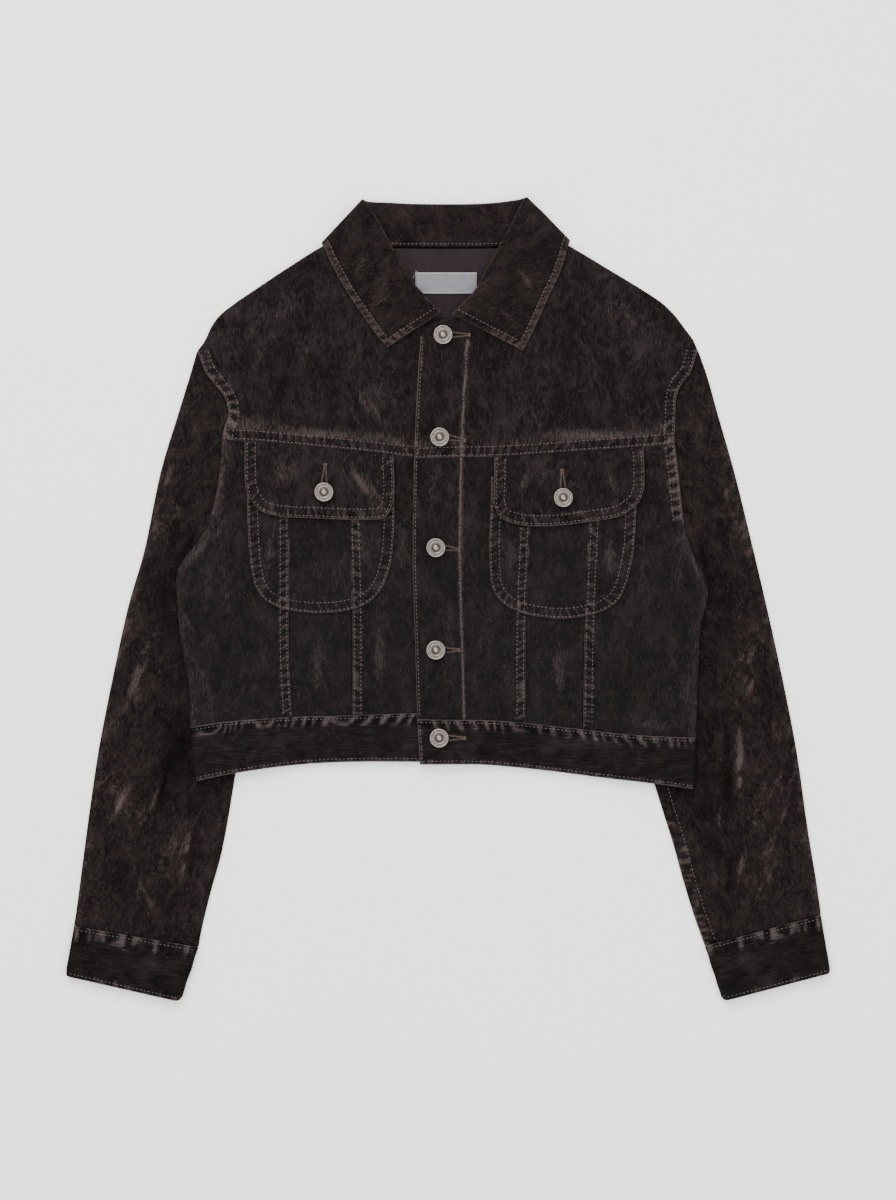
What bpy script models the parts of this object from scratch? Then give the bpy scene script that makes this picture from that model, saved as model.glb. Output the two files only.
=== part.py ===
"""Cropped velvet jacket, buttoned and laid flat, built from the pieces a maker cuts and sews.

The tables give millimetres in the jacket's plan: X towards the wearer's left, Y from hem to
collar, Z up from the surface it lies on. "right" and "left" are the wearer's, so the right
side has negative X. Meshes are made in metres.
"""

import math

import bpy
import numpy as np

MM = 0.001

# Cloth thicknesses
CLOTH = 1.5  # one layer of velvet
DOUBLE = 2.2  # two layers pressed together: collar, cuffs, waistbands, flaps
SATIN = 1.0  # lining and label

# Seams and layers
SEAM_INSET = 0.2  # each piece stops this far short of its seam line
LAYER_GAP = 0.5  # air between one layer and the next
LABEL_GAP = 0.4  # air between the lining and its label
EDGE_AIR = 0.8  # air between back and front at the side seams and shoulders
BODY_AIR = 2.4  # the same in the middle of the body
CURL = 3.2  # width over which a folded edge turns down
EDGE_RISE = 45.0  # width over which the air grows from the edges to the middle
BACK_INSET = 4.2  # the back stops this far inside the front's folded edge
NECK_CORNER = 9.0  # and this far short of the neck point
ARMHOLE_STOP = 9.0  # the back's armhole ends this far below the shoulder point
SLEEVE_SEAM_INSET = 0.7  # the sleeves stop this far short of the armhole seam
ARMHOLE_INSET = 0.5  # and the yokes this far
ARMHOLE_FOLD = 168.0  # below this Y the front's edge is a fold that hides the armhole seam
YOKE_COLUMN = 62.0  # X on the yoke seam beneath the corner of shoulder and neck

# Raised seams
LAP_WIDTH = 10.0  # the lapped seams of the fronts
LAP_RAISE = 1.2
YOKE_BAND = 8.6  # the yoke's turned-in lower edge
YOKE_RAISE = 1.1
LAP_FADE = 16.0  # length over which a lapped seam comes up from the yoke seam
PLACKET_RAISE = 0.7  # the front edge's facing, out to its stitch row
PLACKET_WIDTH = 44.0
STEP = 0.8  # width of the step at the edge of a raised band
RIDGE = (-1.9, 12.7, -1.1, 11.9)  # where the cloth over a lapped seam has its feet and crests

# Where layers lie over others
OVER_SLEEVE = 3.9  # the body's underside over the flattened sleeves
SLEEVE_CLEAR = 3.0  # the body is at that height this far outside the sleeve's folded edge
SLEEVE_RAMP = (46.0, 64.0)  # width over which it comes up there, at the armhole and at the hem
OVER_ARMHOLE = 1.9  # more height where the fronts' edge overhangs the upper sleeve
OVER_COLLAR = 2.7  # the back over the collar's fall at the back of the neck
COLLAR_RAMP = (240.0, 300.0)  # Y over which the back comes up there
COLLAR_REACH = (116.0, 178.0)  # X over which it comes down again beyond the neck
SLEEVE_LOW = 1.9  # the upper sleeve's inside over the under sleeve
SLEEVE_PUFF = 2.6  # how much higher it stands in its middle, where nothing lies on it
SLEEVE_EDGE = 0.3  # its inside at the folded edges
FOLD_EDGE = 0.45  # a folded edge's inside over what it lies on
FRONT_LAP = CLOTH + 0.7  # the left front over the right one
BAND_LAP = DOUBLE + 0.7  # the same for the waistbands
LAP_END = 19.0  # X where the left front starts to come down again
LAP_DOWN = 64.0  # X where it is level with the right front
HIDDEN_RIGHT = (-34.0, -40.0)  # X over which the right yoke's band comes up from beneath it

# Pockets and flaps
POCKET_TOP = 111.0  # Y of the pockets' hidden top edge
WIDEST_SPAN = 17.0  # between a pocket's columns
FLAP_OVER_POCKET = 3.6  # a flap's underside above the panel's outer face
FLAP_TUCKED = 0.4  # the same at the yoke seam
FLAP_TUCK = 14.0  # the length over which it comes down to the yoke seam
FLAP_EDGE = 1.2  # its thickness at the yoke seam

# Sleeves and cuffs
SLEEVE_ROWS = 34
SLEEVE_TIP_INSET = 0.3  # the upper sleeve's tip below the shoulder point
UNDER_NARROWEST = 18.0  # the under sleeve starts where it is this wide
CUFF_THICK = 7.0

# Buttons
BUTTON_BASE = 3.4  # radius of the shank, which stands on the cloth
BUTTON_SIDES = 12
BUTTON_PROFILE = (  # radius, height above the cloth
    (0.0, 5.0),
    (2.4, 4.7),
    (3.2, 3.9),
    (6.2, 3.7),
    (7.2, 4.6),
    (8.1, 4.5),
    (8.6, 3.7),
    (8.2, 2.7),
    (3.4, 2.2),
    (3.2, 0.3),
    (0.0, 0.3),
)

# Outlines: x, y. Shoulders and seams run from the side to the centre, sides from the bottom up.
RIGHT = {
    "name": "right",
    "sign": -1.0,
    "shoulder": (
        (-225.0, 223.5), (-218.0, 233.5), (-213.0, 244.5), (-205.5, 255.0), (-192.0, 266.0),
        (-176.0, 277.0), (-143.5, 298.5), (-112.0, 318.0), (-97.0, 324.0), (-85.5, 327.5),
    ),
    "neck": (
        (-85.5, 327.5), (-81.5, 317.0), (-73.0, 302.0), (-60.0, 281.0), (-44.5, 264.0),
        (-25.0, 252.5), (-9.0, 245.5), (2.0, 241.5), (16.6, 238.0),
    ),
    "front_edge": ((16.6, -160.0), (16.6, 238.0)),
    "armhole": (
        (-203.0, 143.5), (-201.0, 154.5), (-197.0, 167.0), (-200.5, 182.0), (-209.0, 193.0),
        (-218.0, 205.0), (-225.0, 223.5),
    ),
    "side": (
        (-226.5, -163.5), (-228.5, -145.5), (-231.0, -121.0), (-232.0, -104.0), (-231.5, -89.5),
        (-233.5, -72.5), (-238.0, -49.0), (-241.5, -25.0), (-243.5, 0.0), (-243.5, 24.0),
        (-238.0, 36.0), (-228.0, 48.0), (-216.5, 66.0), (-211.0, 84.0), (-205.5, 112.0),
        (-203.0, 143.5),
    ),
    "yoke_seam": (
        (-203.0, 143.5), (-171.5, 142.0), (-116.5, 137.0), (-70.5, 132.5), (-32.0, 128.5),
        (16.6, 128.0),
    ),
    "waist": (
        (-231.0, -114.5), (-194.0, -109.0), (-160.0, -106.5), (-132.5, -105.0), (-86.0, -104.0),
        (-28.5, -102.0), (16.6, -104.0),
    ),
    "hem": (
        (-226.5, -163.5), (-208.5, -159.5), (-187.0, -155.5), (-148.0, -150.0), (-111.0, -147.0),
        (-79.0, -146.0), (-26.5, -146.0), (16.6, -146.0),
    ),
    "outer_lap": ((-139.0, -108.0), (-142.0, -54.0), (-142.3, 25.0), (-142.0, 145.0)),
    "inner_lap": ((-85.8, -108.0), (-86.0, -7.0), (-88.0, 71.0), (-89.9, 145.0)),
    "pocket_left": ((-174.0, 14.0), (-177.5, 32.0), (-180.0, 70.0), (-181.0, POCKET_TOP)),
    "pocket_bottom": (
        (-174.0, 14.0), (-166.5, 1.5), (-154.0, -6.5), (-142.0, -10.0), (-114.0, -12.5),
        (-87.5, -9.5), (-72.5, -4.0), (-63.0, 4.0), (-57.0, 13.0),
    ),
    "pocket_right": ((-57.0, 13.0), (-51.0, 31.0), (-47.8, 60.0), (-47.8, POCKET_TOP)),
    "flap_left": ((-179.5, 93.0), (-182.0, 104.0), (-182.5, 142.2)),
    "flap_bottom": (
        (-179.5, 93.0), (-169.5, 80.5), (-154.0, 75.0), (-116.5, 72.5), (-70.5, 71.5),
        (-56.0, 73.5), (-49.5, 84.0),
    ),
    "flap_right": ((-49.5, 84.0), (-47.5, 95.0), (-48.5, 130.3)),
    "flap_button": (-111.0, 96.5),
    "armhole_hidden": (
        (-242.5, 18.0), (-236.0, 27.0), (-222.0, 43.0), (-207.0, 62.5), (-200.0, 82.0),
        (-196.0, 112.0), (-194.5, 143.5), (-197.0, 167.0), (-200.5, 182.0), (-209.0, 193.0),
        (-218.0, 205.0), (-225.0, 223.5),
    ),
    "sleeve_fold": (
        (-243.5, 18.0), (-232.0, -1.0), (-212.0, -20.0), (-195.0, -46.0), (-186.5, -80.0),
        (-185.0, -118.0), (-191.3, -160.0), (-197.6, -198.5), (-204.0, -231.0), (-213.0, -263.0),
        (-221.0, -296.0), (-224.0, -312.5),
    ),
    "sleeve_outer": (
        (-225.5, 223.0), (-231.8, 201.0), (-241.7, 169.0), (-258.0, 115.0), (-273.0, 43.0),
        (-286.7, -4.0), (-301.0, -69.0), (-313.7, -134.0), (-321.8, -188.0), (-329.0, -242.0),
        (-334.4, -283.0), (-336.2, -293.5),
    ),
    "sleeve_rows": (  # y on the outer edge, y on the inner one
        (223.0, 223.2), (210.0, 203.0), (196.0, 186.0), (178.0, 167.0), (149.0, 138.0),
        (115.0, 102.0), (77.0, 66.0), (39.0, 36.0), (10.5, 14.0), (-20.0, -8.0), (-52.5, -34.0),
        (-88.5, -70.0), (-133.5, -114.0), (-171.5, -160.0), (-211.0, -200.0), (-252.5, -245.0),
        (-277.5, -288.0), (-293.5, -312.5),
    ),
    "cuff": ((-336.6, -294.2), (-224.0, -313.3), (-344.0, -338.5), (-240.5, -362.0)),
}
LEFT = {
    "name": "left",
    "sign": 1.0,
    "shoulder": (
        (225.0, 224.5), (221.0, 233.5), (213.0, 244.5), (205.0, 255.0), (194.0, 266.0),
        (178.0, 277.0), (142.5, 298.5), (109.5, 318.0), (94.0, 325.5), (81.5, 329.0),
    ),
    "neck": (
        (81.5, 329.0), (77.0, 317.0), (67.5, 302.0), (54.5, 280.0), (39.5, 262.0), (22.5, 253.5),
        (6.0, 252.5), (-8.0, 251.0), (-18.5, 245.0), (-24.5, 236.0),
    ),
    "front_edge": (
        (-25.0, -148.5), (-27.5, -107.5), (-29.0, -54.5), (-30.8, 0.0), (-31.5, 30.0),
        (-31.5, 55.5), (-30.2, 128.0), (-27.6, 188.5), (-24.5, 236.0),
    ),
    "armhole": (
        (204.5, 140.0), (204.5, 152.0), (205.0, 167.0), (205.8, 182.0), (210.0, 193.0),
        (218.5, 204.0), (225.0, 224.5),
    ),
    "side": (
        (221.0, -170.5), (223.0, -154.5), (223.5, -124.0), (225.0, -85.0), (226.5, -49.0),
        (228.5, -20.0), (232.5, -8.0), (234.5, 5.0), (231.0, 22.0), (221.0, 41.0), (213.0, 68.0),
        (210.0, 94.0), (206.5, 125.0), (204.5, 140.0),
    ),
    "yoke_seam": (
        (204.5, 140.0), (173.0, 137.0), (110.0, 132.5), (49.0, 128.5), (2.0, 127.6),
        (-30.2, 126.5),
    ),
    "waist": (
        (223.5, -124.0), (204.0, -123.5), (157.0, -120.5), (121.5, -116.5), (72.0, -111.0),
        (41.0, -108.5), (2.0, -108.0), (-27.5, -107.5),
    ),
    "hem": (
        (221.0, -170.5), (180.5, -165.0), (137.0, -160.0), (94.0, -154.5), (51.0, -150.0),
        (29.0, -148.5), (-25.0, -148.5),
    ),
    "outer_lap": ((121.5, -118.0), (123.3, -14.0), (127.0, 66.0), (130.6, 145.0)),
    "inner_lap": ((70.5, -118.0), (71.0, -14.0), (74.2, 64.0), (77.5, 145.0)),
    "pocket_left": ((38.3, 16.0), (37.0, 50.0), (38.6, 84.0), (39.0, POCKET_TOP)),
    "pocket_bottom": (
        (38.3, 16.0), (43.0, 4.0), (53.5, -6.5), (70.5, -13.5), (101.0, -17.5), (124.5, -15.0),
        (142.0, -9.5), (154.5, 0.0), (162.0, 15.5),
    ),
    "pocket_right": ((162.0, 15.5), (167.5, 42.0), (170.0, 80.0), (171.5, POCKET_TOP)),
    "flap_left": ((41.0, 87.0), (41.6, 104.0), (42.0, 128.2)),
    "flap_bottom": (
        (41.0, 87.0), (47.0, 74.0), (64.5, 67.0), (88.0, 65.5), (126.5, 69.5), (157.0, 75.5),
        (171.5, 86.0),
    ),
    "flap_right": ((171.5, 86.0), (176.5, 98.0), (176.5, 137.1)),
    "flap_button": (104.0, 91.5),
    "armhole_hidden": (
        (233.0, 4.0), (226.0, 20.0), (213.0, 40.0), (205.0, 68.0), (202.0, 94.0), (198.0, 125.0),
        (199.0, 146.0), (204.6, 167.0), (205.8, 182.0), (210.0, 193.0), (218.5, 204.0),
        (225.0, 224.5),
    ),
    "sleeve_fold": (
        (234.0, 4.0), (223.0, -14.0), (202.0, -30.0), (183.0, -52.0), (172.0, -84.0),
        (173.0, -122.0), (186.8, -168.0), (193.0, -188.0), (203.0, -220.0), (212.0, -252.5),
        (222.0, -285.0), (231.3, -311.3),
    ),
    "sleeve_outer": (
        (225.5, 224.0), (233.6, 201.0), (242.6, 169.0), (258.0, 115.0), (274.0, 50.0),
        (286.7, -4.0), (301.0, -69.0), (313.7, -134.0), (324.5, -209.0), (331.7, -252.5),
        (336.2, -283.5),
    ),
    "sleeve_rows": (  # y on the outer edge, y on the inner one
        (224.0, 224.2), (208.5, 201.0), (190.5, 179.5), (169.0, 158.0), (143.5, 129.0),
        (111.0, 97.0), (77.0, 63.0), (34.0, 29.0), (4.0, 0.0), (-25.5, -17.0), (-61.5, -42.0),
        (-97.5, -78.0), (-133.5, -118.0), (-173.0, -168.0), (-214.5, -214.5), (-252.5, -262.0),
        (-270.5, -294.0), (-283.5, -311.3),
    ),
    "cuff": ((336.3, -284.3), (231.5, -312.1), (344.8, -336.0), (248.0, -361.5)),
}
SIDES = (RIGHT, LEFT)

BACK_NECK = ((-85.5, 323.0), (-72.0, 318.4), (-45.0, 316.6), (-2.0, 316.2), (40.0, 316.4),
             (64.0, 317.6), (79.5, 322.0))
BACK_WAIST = ((-231.0, -114.5), (-160.0, -106.5), (-86.0, -104.5), (0.0, -105.5),
              (72.0, -111.0), (157.0, -120.5), (223.5, -124.0))
BACK_HEM = ((-226.5, -161.5), (-148.0, -148.5), (-79.0, -144.5), (0.0, -145.0),
            (51.0, -148.5), (137.0, -158.0), (221.0, -168.5))

LINING_TOP = ((-68.0, 315.8), (-45.0, 315.6), (-2.0, 315.2), (40.0, 315.6), (62.0, 315.8))
LINING_SIDES = (((-34.0, 236.0), (-60.0, 262.0), (-68.0, 315.8)),
                ((36.0, 236.0), (56.0, 262.0), (62.0, 315.8)))
LINING_BOTTOM = ((-34.0, 236.0), (36.0, 236.0))
LABEL = {"x": (-29.0, 26.5), "y": (275.0, 294.0)}

# The largest folds of the sleeves: x, y, length, direction in degrees, width, height.
SLEEVE_FOLDS = (
    (-262.0, 66.0, 110.0, 70.0, 13.0, 1.5),
    (-268.0, 10.0, 120.0, 62.0, 12.0, 2.0),
    (-252.0, -66.0, 120.0, 128.0, 12.0, 2.4),
    (-286.0, -92.0, 100.0, 72.0, 11.0, 2.0),
    (-250.0, -146.0, 120.0, 55.0, 12.0, -1.8),
    (-286.0, -188.0, 110.0, 122.0, 12.0, 2.4),
    (-244.0, -226.0, 100.0, 66.0, 11.0, 2.2),
    (-292.0, -250.0, 80.0, 104.0, 11.0, -1.6),
    (262.0, 62.0, 110.0, 112.0, 13.0, 1.4),
    (262.0, -8.0, 110.0, 120.0, 12.0, 1.9),
    (264.0, -62.0, 120.0, 58.0, 12.0, 2.4),
    (292.0, -96.0, 90.0, 108.0, 11.0, -1.6),
    (246.0, -138.0, 120.0, 124.0, 12.0, 2.4),
    (286.0, -180.0, 110.0, 62.0, 12.0, 2.0),
    (240.0, -222.0, 90.0, 116.0, 11.0, -1.6),
    (286.0, -246.0, 80.0, 80.0, 11.0, 2.2),
)

# Collar stations from the right front end round the back of the neck to the left one.
# Each gives the fold's middle, the outer edge's middle and the neck seam's middle: x, y, z.
COLLAR_STATIONS = (
    # fold                    outer edge                neck seam
    ((-6.5, 258.0, 9.2), (-52.0, 227.8, 7.4), (-11.5, 250.5, 5.3)),
    ((-19.5, 271.0, 9.8), (-61.0, 237.5, 7.0), (-24.0, 255.5, 5.4)),
    ((-32.0, 285.0, 10.4), (-73.0, 254.5, 7.2), (-43.0, 267.0, 6.0)),
    ((-43.5, 304.0, 10.4), (-86.0, 273.5, 8.4), (-58.0, 284.0, 7.0)),
    ((-55.5, 325.5, 9.6), (-97.0, 292.5, 8.9), (-69.0, 304.0, 7.3)),
    ((-65.0, 343.0, 8.6), (-105.5, 308.5, 8.6), (-76.0, 317.0, 7.2)),
    ((-71.5, 354.5, 8.3), (-108.5, 316.5, 8.3), (-79.0, 322.3, 7.1)),
    ((-74.6, 358.2, 7.3), (-111.0, 320.2, 6.8), (-80.3, 322.8, 6.5)),
    ((-75.8, 359.3, 5.3), (-111.6, 322.2, 4.6), (-80.8, 323.1, 5.7)),
    ((-74.6, 358.5, 3.4), (-110.4, 321.2, 2.4), (-80.3, 322.9, 4.9)),
    ((-71.0, 357.0, 2.4), (-105.0, 316.5, 1.2), (-78.6, 322.0, 4.4)),
    ((-53.5, 355.8, 2.4), (-86.0, 309.0, 1.1), (-67.0, 319.4, 4.4)),
    ((-34.0, 355.0, 2.4), (-56.0, 307.0, 1.1), (-44.5, 317.5, 4.4)),
    ((-2.0, 354.6, 2.4), (-2.0, 306.5, 1.1), (-2.0, 317.2, 4.4)),
    ((29.0, 355.0, 2.4), (52.0, 307.0, 1.1), (40.0, 317.5, 4.4)),
    ((49.0, 356.6, 2.4), (83.0, 309.5, 1.1), (63.5, 320.4, 4.4)),
    ((66.0, 359.2, 2.4), (101.0, 317.8, 1.2), (74.6, 324.4, 4.4)),
    ((69.6, 360.9, 3.4), (107.4, 323.2, 2.4), (76.3, 325.5, 4.9)),
    ((70.8, 361.5, 5.3), (108.6, 324.4, 4.6), (76.8, 325.7, 5.7)),
    ((69.6, 360.2, 7.3), (107.9, 322.4, 6.8), (76.3, 325.3, 6.5)),
    ((66.5, 355.0, 8.3), (106.0, 317.7, 8.3), (75.2, 324.2, 7.1)),
    ((59.0, 339.0, 8.6), (104.0, 308.5, 8.6), (72.5, 317.0, 7.2)),
    ((48.0, 318.0, 9.6), (97.5, 290.5, 8.9), (63.5, 303.5, 7.0)),
    ((37.5, 300.0, 10.6), (89.5, 274.0, 8.4), (51.0, 282.0, 7.4)),
    ((26.5, 279.0, 11.2), (82.0, 257.0, 7.2), (37.0, 264.5, 7.3)),
    ((16.5, 268.0, 11.2), (73.0, 238.0, 7.0), (22.0, 256.7, 7.7)),
    ((4.5, 256.5, 10.8), (65.5, 224.4, 7.0), (7.5, 254.8, 7.7)),
)
STATION_STEPS = 2  # sections made for each station
FOLD_RADIUS = 1.3  # of the collar's fold, at the middle of its wall
FALL_CROWN = 1.0  # how much the collar's wings bow up between fold and edge
WING_FOLD = 6.0  # a wing's fold is higher than this, the back's is lower
TURN_HEIGHTS = (2.45, 8.25)  # Z of the fold where the collar turns down beside the neck
TURN_WALL = 1.0  # the collar's layers there, pressed thin in the tight turn

BUTTONS = ((-4.0, 238.0), (-7.0, 146.0), (-10.5, 46.5), (-10.5, -45.5), (-7.5, -124.5))

# Colours (linear) and roughness of the finishes
FINISHES = {
    "velvet": ((0.017, 0.012, 0.011), 0.9, 0.0),
    "satin": ((0.045, 0.038, 0.042), 0.45, 0.0),
    "woven": ((0.24, 0.24, 0.24), 0.6, 0.0),
    "metal": ((0.52, 0.49, 0.45), 0.38, 1.0),
}


# ---- curves and distances ----


def smooth(value):
    """0 below 0, 1 above 1 and an even slope between."""
    value = np.clip(value, 0.0, 1.0)
    return value * value * (3.0 - 2.0 * value)


def between(limits, value):
    """0 at the first limit, 1 at the second and an even slope between."""
    return smooth((value - limits[0]) / (limits[1] - limits[0]))


def spline(points, per_span=10):
    """A smooth dense curve through points (centripetal Catmull-Rom)."""
    points = np.asarray(points, dtype=float)
    if len(points) == 2:
        return points[0] + (points[1] - points[0]) * np.linspace(0.0, 1.0, per_span + 1)[:, None]
    before = 2.0 * points[0] - points[1]
    after = 2.0 * points[-1] - points[-2]
    ends = np.vstack([before, points, after])
    knots = np.concatenate([[0.0], np.cumsum(np.linalg.norm(np.diff(ends, axis=0), axis=1) ** 0.5)])
    dense = []
    for i in range(1, len(ends) - 2):
        k0, k1, k2, k3 = knots[i - 1 : i + 3]
        p0, p1, p2, p3 = ends[i - 1 : i + 3]
        t = np.linspace(k1, k2, per_span, endpoint=False)[:, None]
        a1 = (k1 - t) / (k1 - k0) * p0 + (t - k0) / (k1 - k0) * p1
        a2 = (k2 - t) / (k2 - k1) * p1 + (t - k1) / (k2 - k1) * p2
        a3 = (k3 - t) / (k3 - k2) * p2 + (t - k2) / (k3 - k2) * p3
        b1 = (k2 - t) / (k2 - k0) * a1 + (t - k0) / (k2 - k0) * a2
        b2 = (k3 - t) / (k3 - k1) * a2 + (t - k1) / (k3 - k1) * a3
        dense.append((k2 - t) / (k2 - k1) * b1 + (t - k1) / (k2 - k1) * b2)
    return np.vstack(dense + [points[-1:]])


def along(curve):
    """Distance from the start of a dense curve to each of its points."""
    return np.concatenate([[0.0], np.cumsum(np.linalg.norm(np.diff(curve, axis=0), axis=1))])


def at(curve, distances):
    """The points of a dense curve at these distances from its start."""
    run = along(curve)
    return np.stack([np.interp(distances, run, values) for values in curve.T], -1)


def marks(length, start, count, end):
    """Distances: the start marks, count even ones, and the end marks, which count back."""
    middle = np.linspace(start[-1], length - end[0], count + 2)[1:-1]
    return np.concatenate([start, middle, length - np.asarray(end)])


def y_at(curve, x):
    """Y of a curve that is single-valued in x."""
    order = np.argsort(curve[:, 0])
    return np.interp(x, curve[order, 0], curve[order, 1])


def x_at(curve, y):
    """X of a curve that is single-valued in y."""
    order = np.argsort(curve[:, 1])
    return np.interp(y, curve[order, 1], curve[order, 0])


def across(curve, x0, x1, steps=60):
    """The stretch of a mostly level curve from x0 to x1."""
    x = np.linspace(x0, x1, steps)
    return np.stack([x, y_at(curve, x)], -1)


def upright(curve, y0, y1, steps=60):
    """The stretch of a mostly upright curve from y0 to y1."""
    y = np.linspace(y0, y1, steps)
    return np.stack([x_at(curve, y), y], -1)


def meet(level, riser):
    """Where a mostly level curve crosses a mostly upright one."""
    x, y = np.mean(riser, axis=0)
    for _ in range(8):
        y = y_at(level, x)
        x = x_at(riser, y)
    return x, y


def away(curve, x, y):
    """Distance from each point to a dense curve."""
    spots = np.stack([x, y], -1)[..., None, :]
    start, end = curve[:-1], curve[1:]
    run = end - start
    share = np.sum((spots - start) * run, -1) / np.maximum(np.sum(run * run, -1), 1e-9)
    nearest = start + np.clip(share, 0.0, 1.0)[..., None] * run
    return np.sqrt(np.min(np.sum((spots - nearest) ** 2, -1), -1))


# ---- dense outlines ----

OUTLINES = {
    side["name"]: {
        key: spline(points)
        for key, points in side.items()
        if key not in ("name", "sign", "flap_button", "sleeve_rows", "cuff")
    }
    for side in SIDES
}
BACK = {
    "neck": spline(BACK_NECK),
    "waist": spline(BACK_WAIST),
    "hem": spline(BACK_HEM),
}


# ---- heights: the underside of each layer over a point of the plan ----


def past_fold(x, y, side):
    """Distance inside the sleeve from its folded inner edge, negative outside it."""
    fold = OUTLINES[side["name"]]["sleeve_fold"]
    inside = (side["sign"] * (x - x_at(fold, y)) > 0.0) & (y < fold[:, 1].max())
    return np.where(inside, 1.0, -1.0) * away(fold, x, y)


def body_floor(x, y):
    """What the body lies on: the surface, the flattened sleeves and the collar's back fall."""
    level = np.zeros_like(x)
    ramp = SLEEVE_RAMP[0] + (SLEEVE_RAMP[1] - SLEEVE_RAMP[0]) * smooth((10.0 - y) / 60.0)
    for side in SIDES:
        depth = past_fold(x, y, side)
        level = np.maximum(level, OVER_SLEEVE * smooth((depth + SLEEVE_CLEAR) / ramp + 1.0))
    return level + OVER_COLLAR * between(COLLAR_RAMP, y) * between(COLLAR_REACH[::-1], np.abs(x))


def folded_edges(x, y):
    """Distance to the body's side edges and shoulders, where front and back meet."""
    edges = [OUTLINES[side["name"]][key] for side in SIDES for key in ("side", "shoulder")]
    return np.minimum.reduce([away(edge, x, y) for edge in edges])


def front_air(x, y):
    """Air between the back and the fronts."""
    return EDGE_AIR + (BODY_AIR - EDGE_AIR) * smooth(folded_edges(x, y) / EDGE_RISE)


def over_armhole(x, y):
    """Extra height of the fronts where their edge overhangs the upper sleeve."""
    near = np.zeros_like(x)
    for side in SIDES:
        seam = OUTLINES[side["name"]]["armhole_hidden"]
        near = np.maximum(near, between((38.0, 12.0), away(seam, x, y)))
    off_sleeve = 1.0 - smooth(body_floor(x, y) / OVER_SLEEVE)
    return OVER_ARMHOLE * near * between((206.0, 172.0), y) * off_sleeve


def lap_over(x):
    """1 where the left front lies over the right one, 0 clear of it."""
    return between((LAP_DOWN, LAP_END), x)


def front_inside(x, y, side):
    """The underside of a front's panels, before its folded edge turns down."""
    level = body_floor(x, y) + CLOTH + front_air(x, y) + over_armhole(x, y)
    if side is LEFT:
        level = level + FRONT_LAP * lap_over(x)
    return level


def band_inside(x, y, side):
    """The underside of a front waistband."""
    level = body_floor(x, y) + DOUBLE + EDGE_AIR
    if side is LEFT:
        level = level + BAND_LAP * lap_over(x)
    return level


def turned_down(level, low, distance):
    """A height that comes down to low at a folded edge."""
    return low + (level - low) * smooth(distance / CURL)


def edge_level(x, y):
    """Where the fronts' folded edge comes down to: just over the back's floor or the sleeve."""
    sleeve = 0.0
    for side in SIDES:
        seam = OUTLINES[side["name"]]["armhole_hidden"]
        beside = (side["sign"] * x > 0.0) & (y < 172.0) & (y > seam[:, 1].min())
        sleeve = np.where(beside, SLEEVE_LOW + CLOTH, sleeve)
    return np.maximum(body_floor(x, y), sleeve) + FOLD_EDGE


def raised(distance, width, height):
    """Extra thickness of a band that runs along a seam, with a crisp step at its edge."""
    return height * (1.0 - smooth((distance - width) / STEP))


def open_sleeve(x, y, side):
    """1 where the sleeve shows, 0 where the body lies on it."""
    edge = OUTLINES[side["name"]]["side"]
    beside = side["sign"] * (x - x_at(edge, y))
    below = edge[:, 1].min() - y
    return between((2.0, 36.0), np.maximum(beside, below))


def sleeve_folds(x, y):
    """Height of the sleeves' largest folds."""
    height = np.zeros_like(x)
    for fold_x, fold_y, length, degrees, width, rise in SLEEVE_FOLDS:
        turn = math.radians(degrees)
        run = (x - fold_x) * math.cos(turn) + (y - fold_y) * math.sin(turn)
        side = -(x - fold_x) * math.sin(turn) + (y - fold_y) * math.cos(turn)
        shape = np.exp(-((side / width) ** 2)) * (1.0 - smooth(np.abs(run) / (length / 2.0)))
        height = height + rise * shape
    return height


def sleeve_inside(x, y, side):
    """The underside of the upper sleeve."""
    lines = OUTLINES[side["name"]]
    seam = lines["armhole_hidden"]
    folds = np.minimum(away(lines["sleeve_outer"], x, y), away(lines["sleeve_fold"], x, y))
    shows = open_sleeve(x, y, side) * smooth(away(seam, x, y) / 60.0)
    puff = SLEEVE_PUFF * smooth(folds / 30.0) + sleeve_folds(x, y) * smooth(folds / 16.0)
    level = SLEEVE_LOW + np.maximum(puff, 0.0) * shows
    top = lines["sleeve_fold"][:, 1].max()
    underarm = between((top - 40.0, top - 16.0), y)
    underarm = underarm * (away(lines["sleeve_fold"], x, y) < away(lines["sleeve_outer"], x, y))
    edge = SLEEVE_EDGE + (SLEEVE_LOW - SLEEVE_EDGE) * underarm
    return turned_down(level, edge, folds)


# ---- grids ----


def grid(bottom, top, left, right, start, count, end, fade=1.12):
    """Columns from the bottom points to the top points, bent to the left and right curves.

    start and end are distances from the bottom and from the top that get rows of their own.
    A border's bend dies out at 1 / fade of the way to the far border.
    """
    across_count = len(bottom)
    share = (along(bottom) / along(bottom)[-1] + along(top) / along(top)[-1]) / 2.0
    left_run = along(left) / along(left)[-1]
    right_run = along(right) / along(right)[-1]
    rows = []
    for i in range(across_count):
        length = np.linalg.norm(top[i] - bottom[i])
        squeeze = min(1.0, length / (3.0 * max(start[-1] + end[0], 1.0)))
        t = marks(length, np.asarray(start) * squeeze, count, np.asarray(end) * squeeze) / length
        straight = bottom[i] + (top[i] - bottom[i]) * t[:, None]
        bend = np.zeros_like(straight)
        for curve, run, base, tip, weight in (
            (left, left_run, bottom[0], top[0], 1.0 - smooth(fade * share[i])),
            (right, right_run, bottom[-1], top[-1], 1.0 - smooth(fade * (1.0 - share[i]))),
        ):
            on_curve = np.stack([np.interp(t, run, curve[:, k]) for k in (0, 1)], -1)
            bend += weight * (on_curve - (base + (tip - base) * t[:, None]))
        rows.append(straight + bend)
    return np.array(rows)


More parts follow.
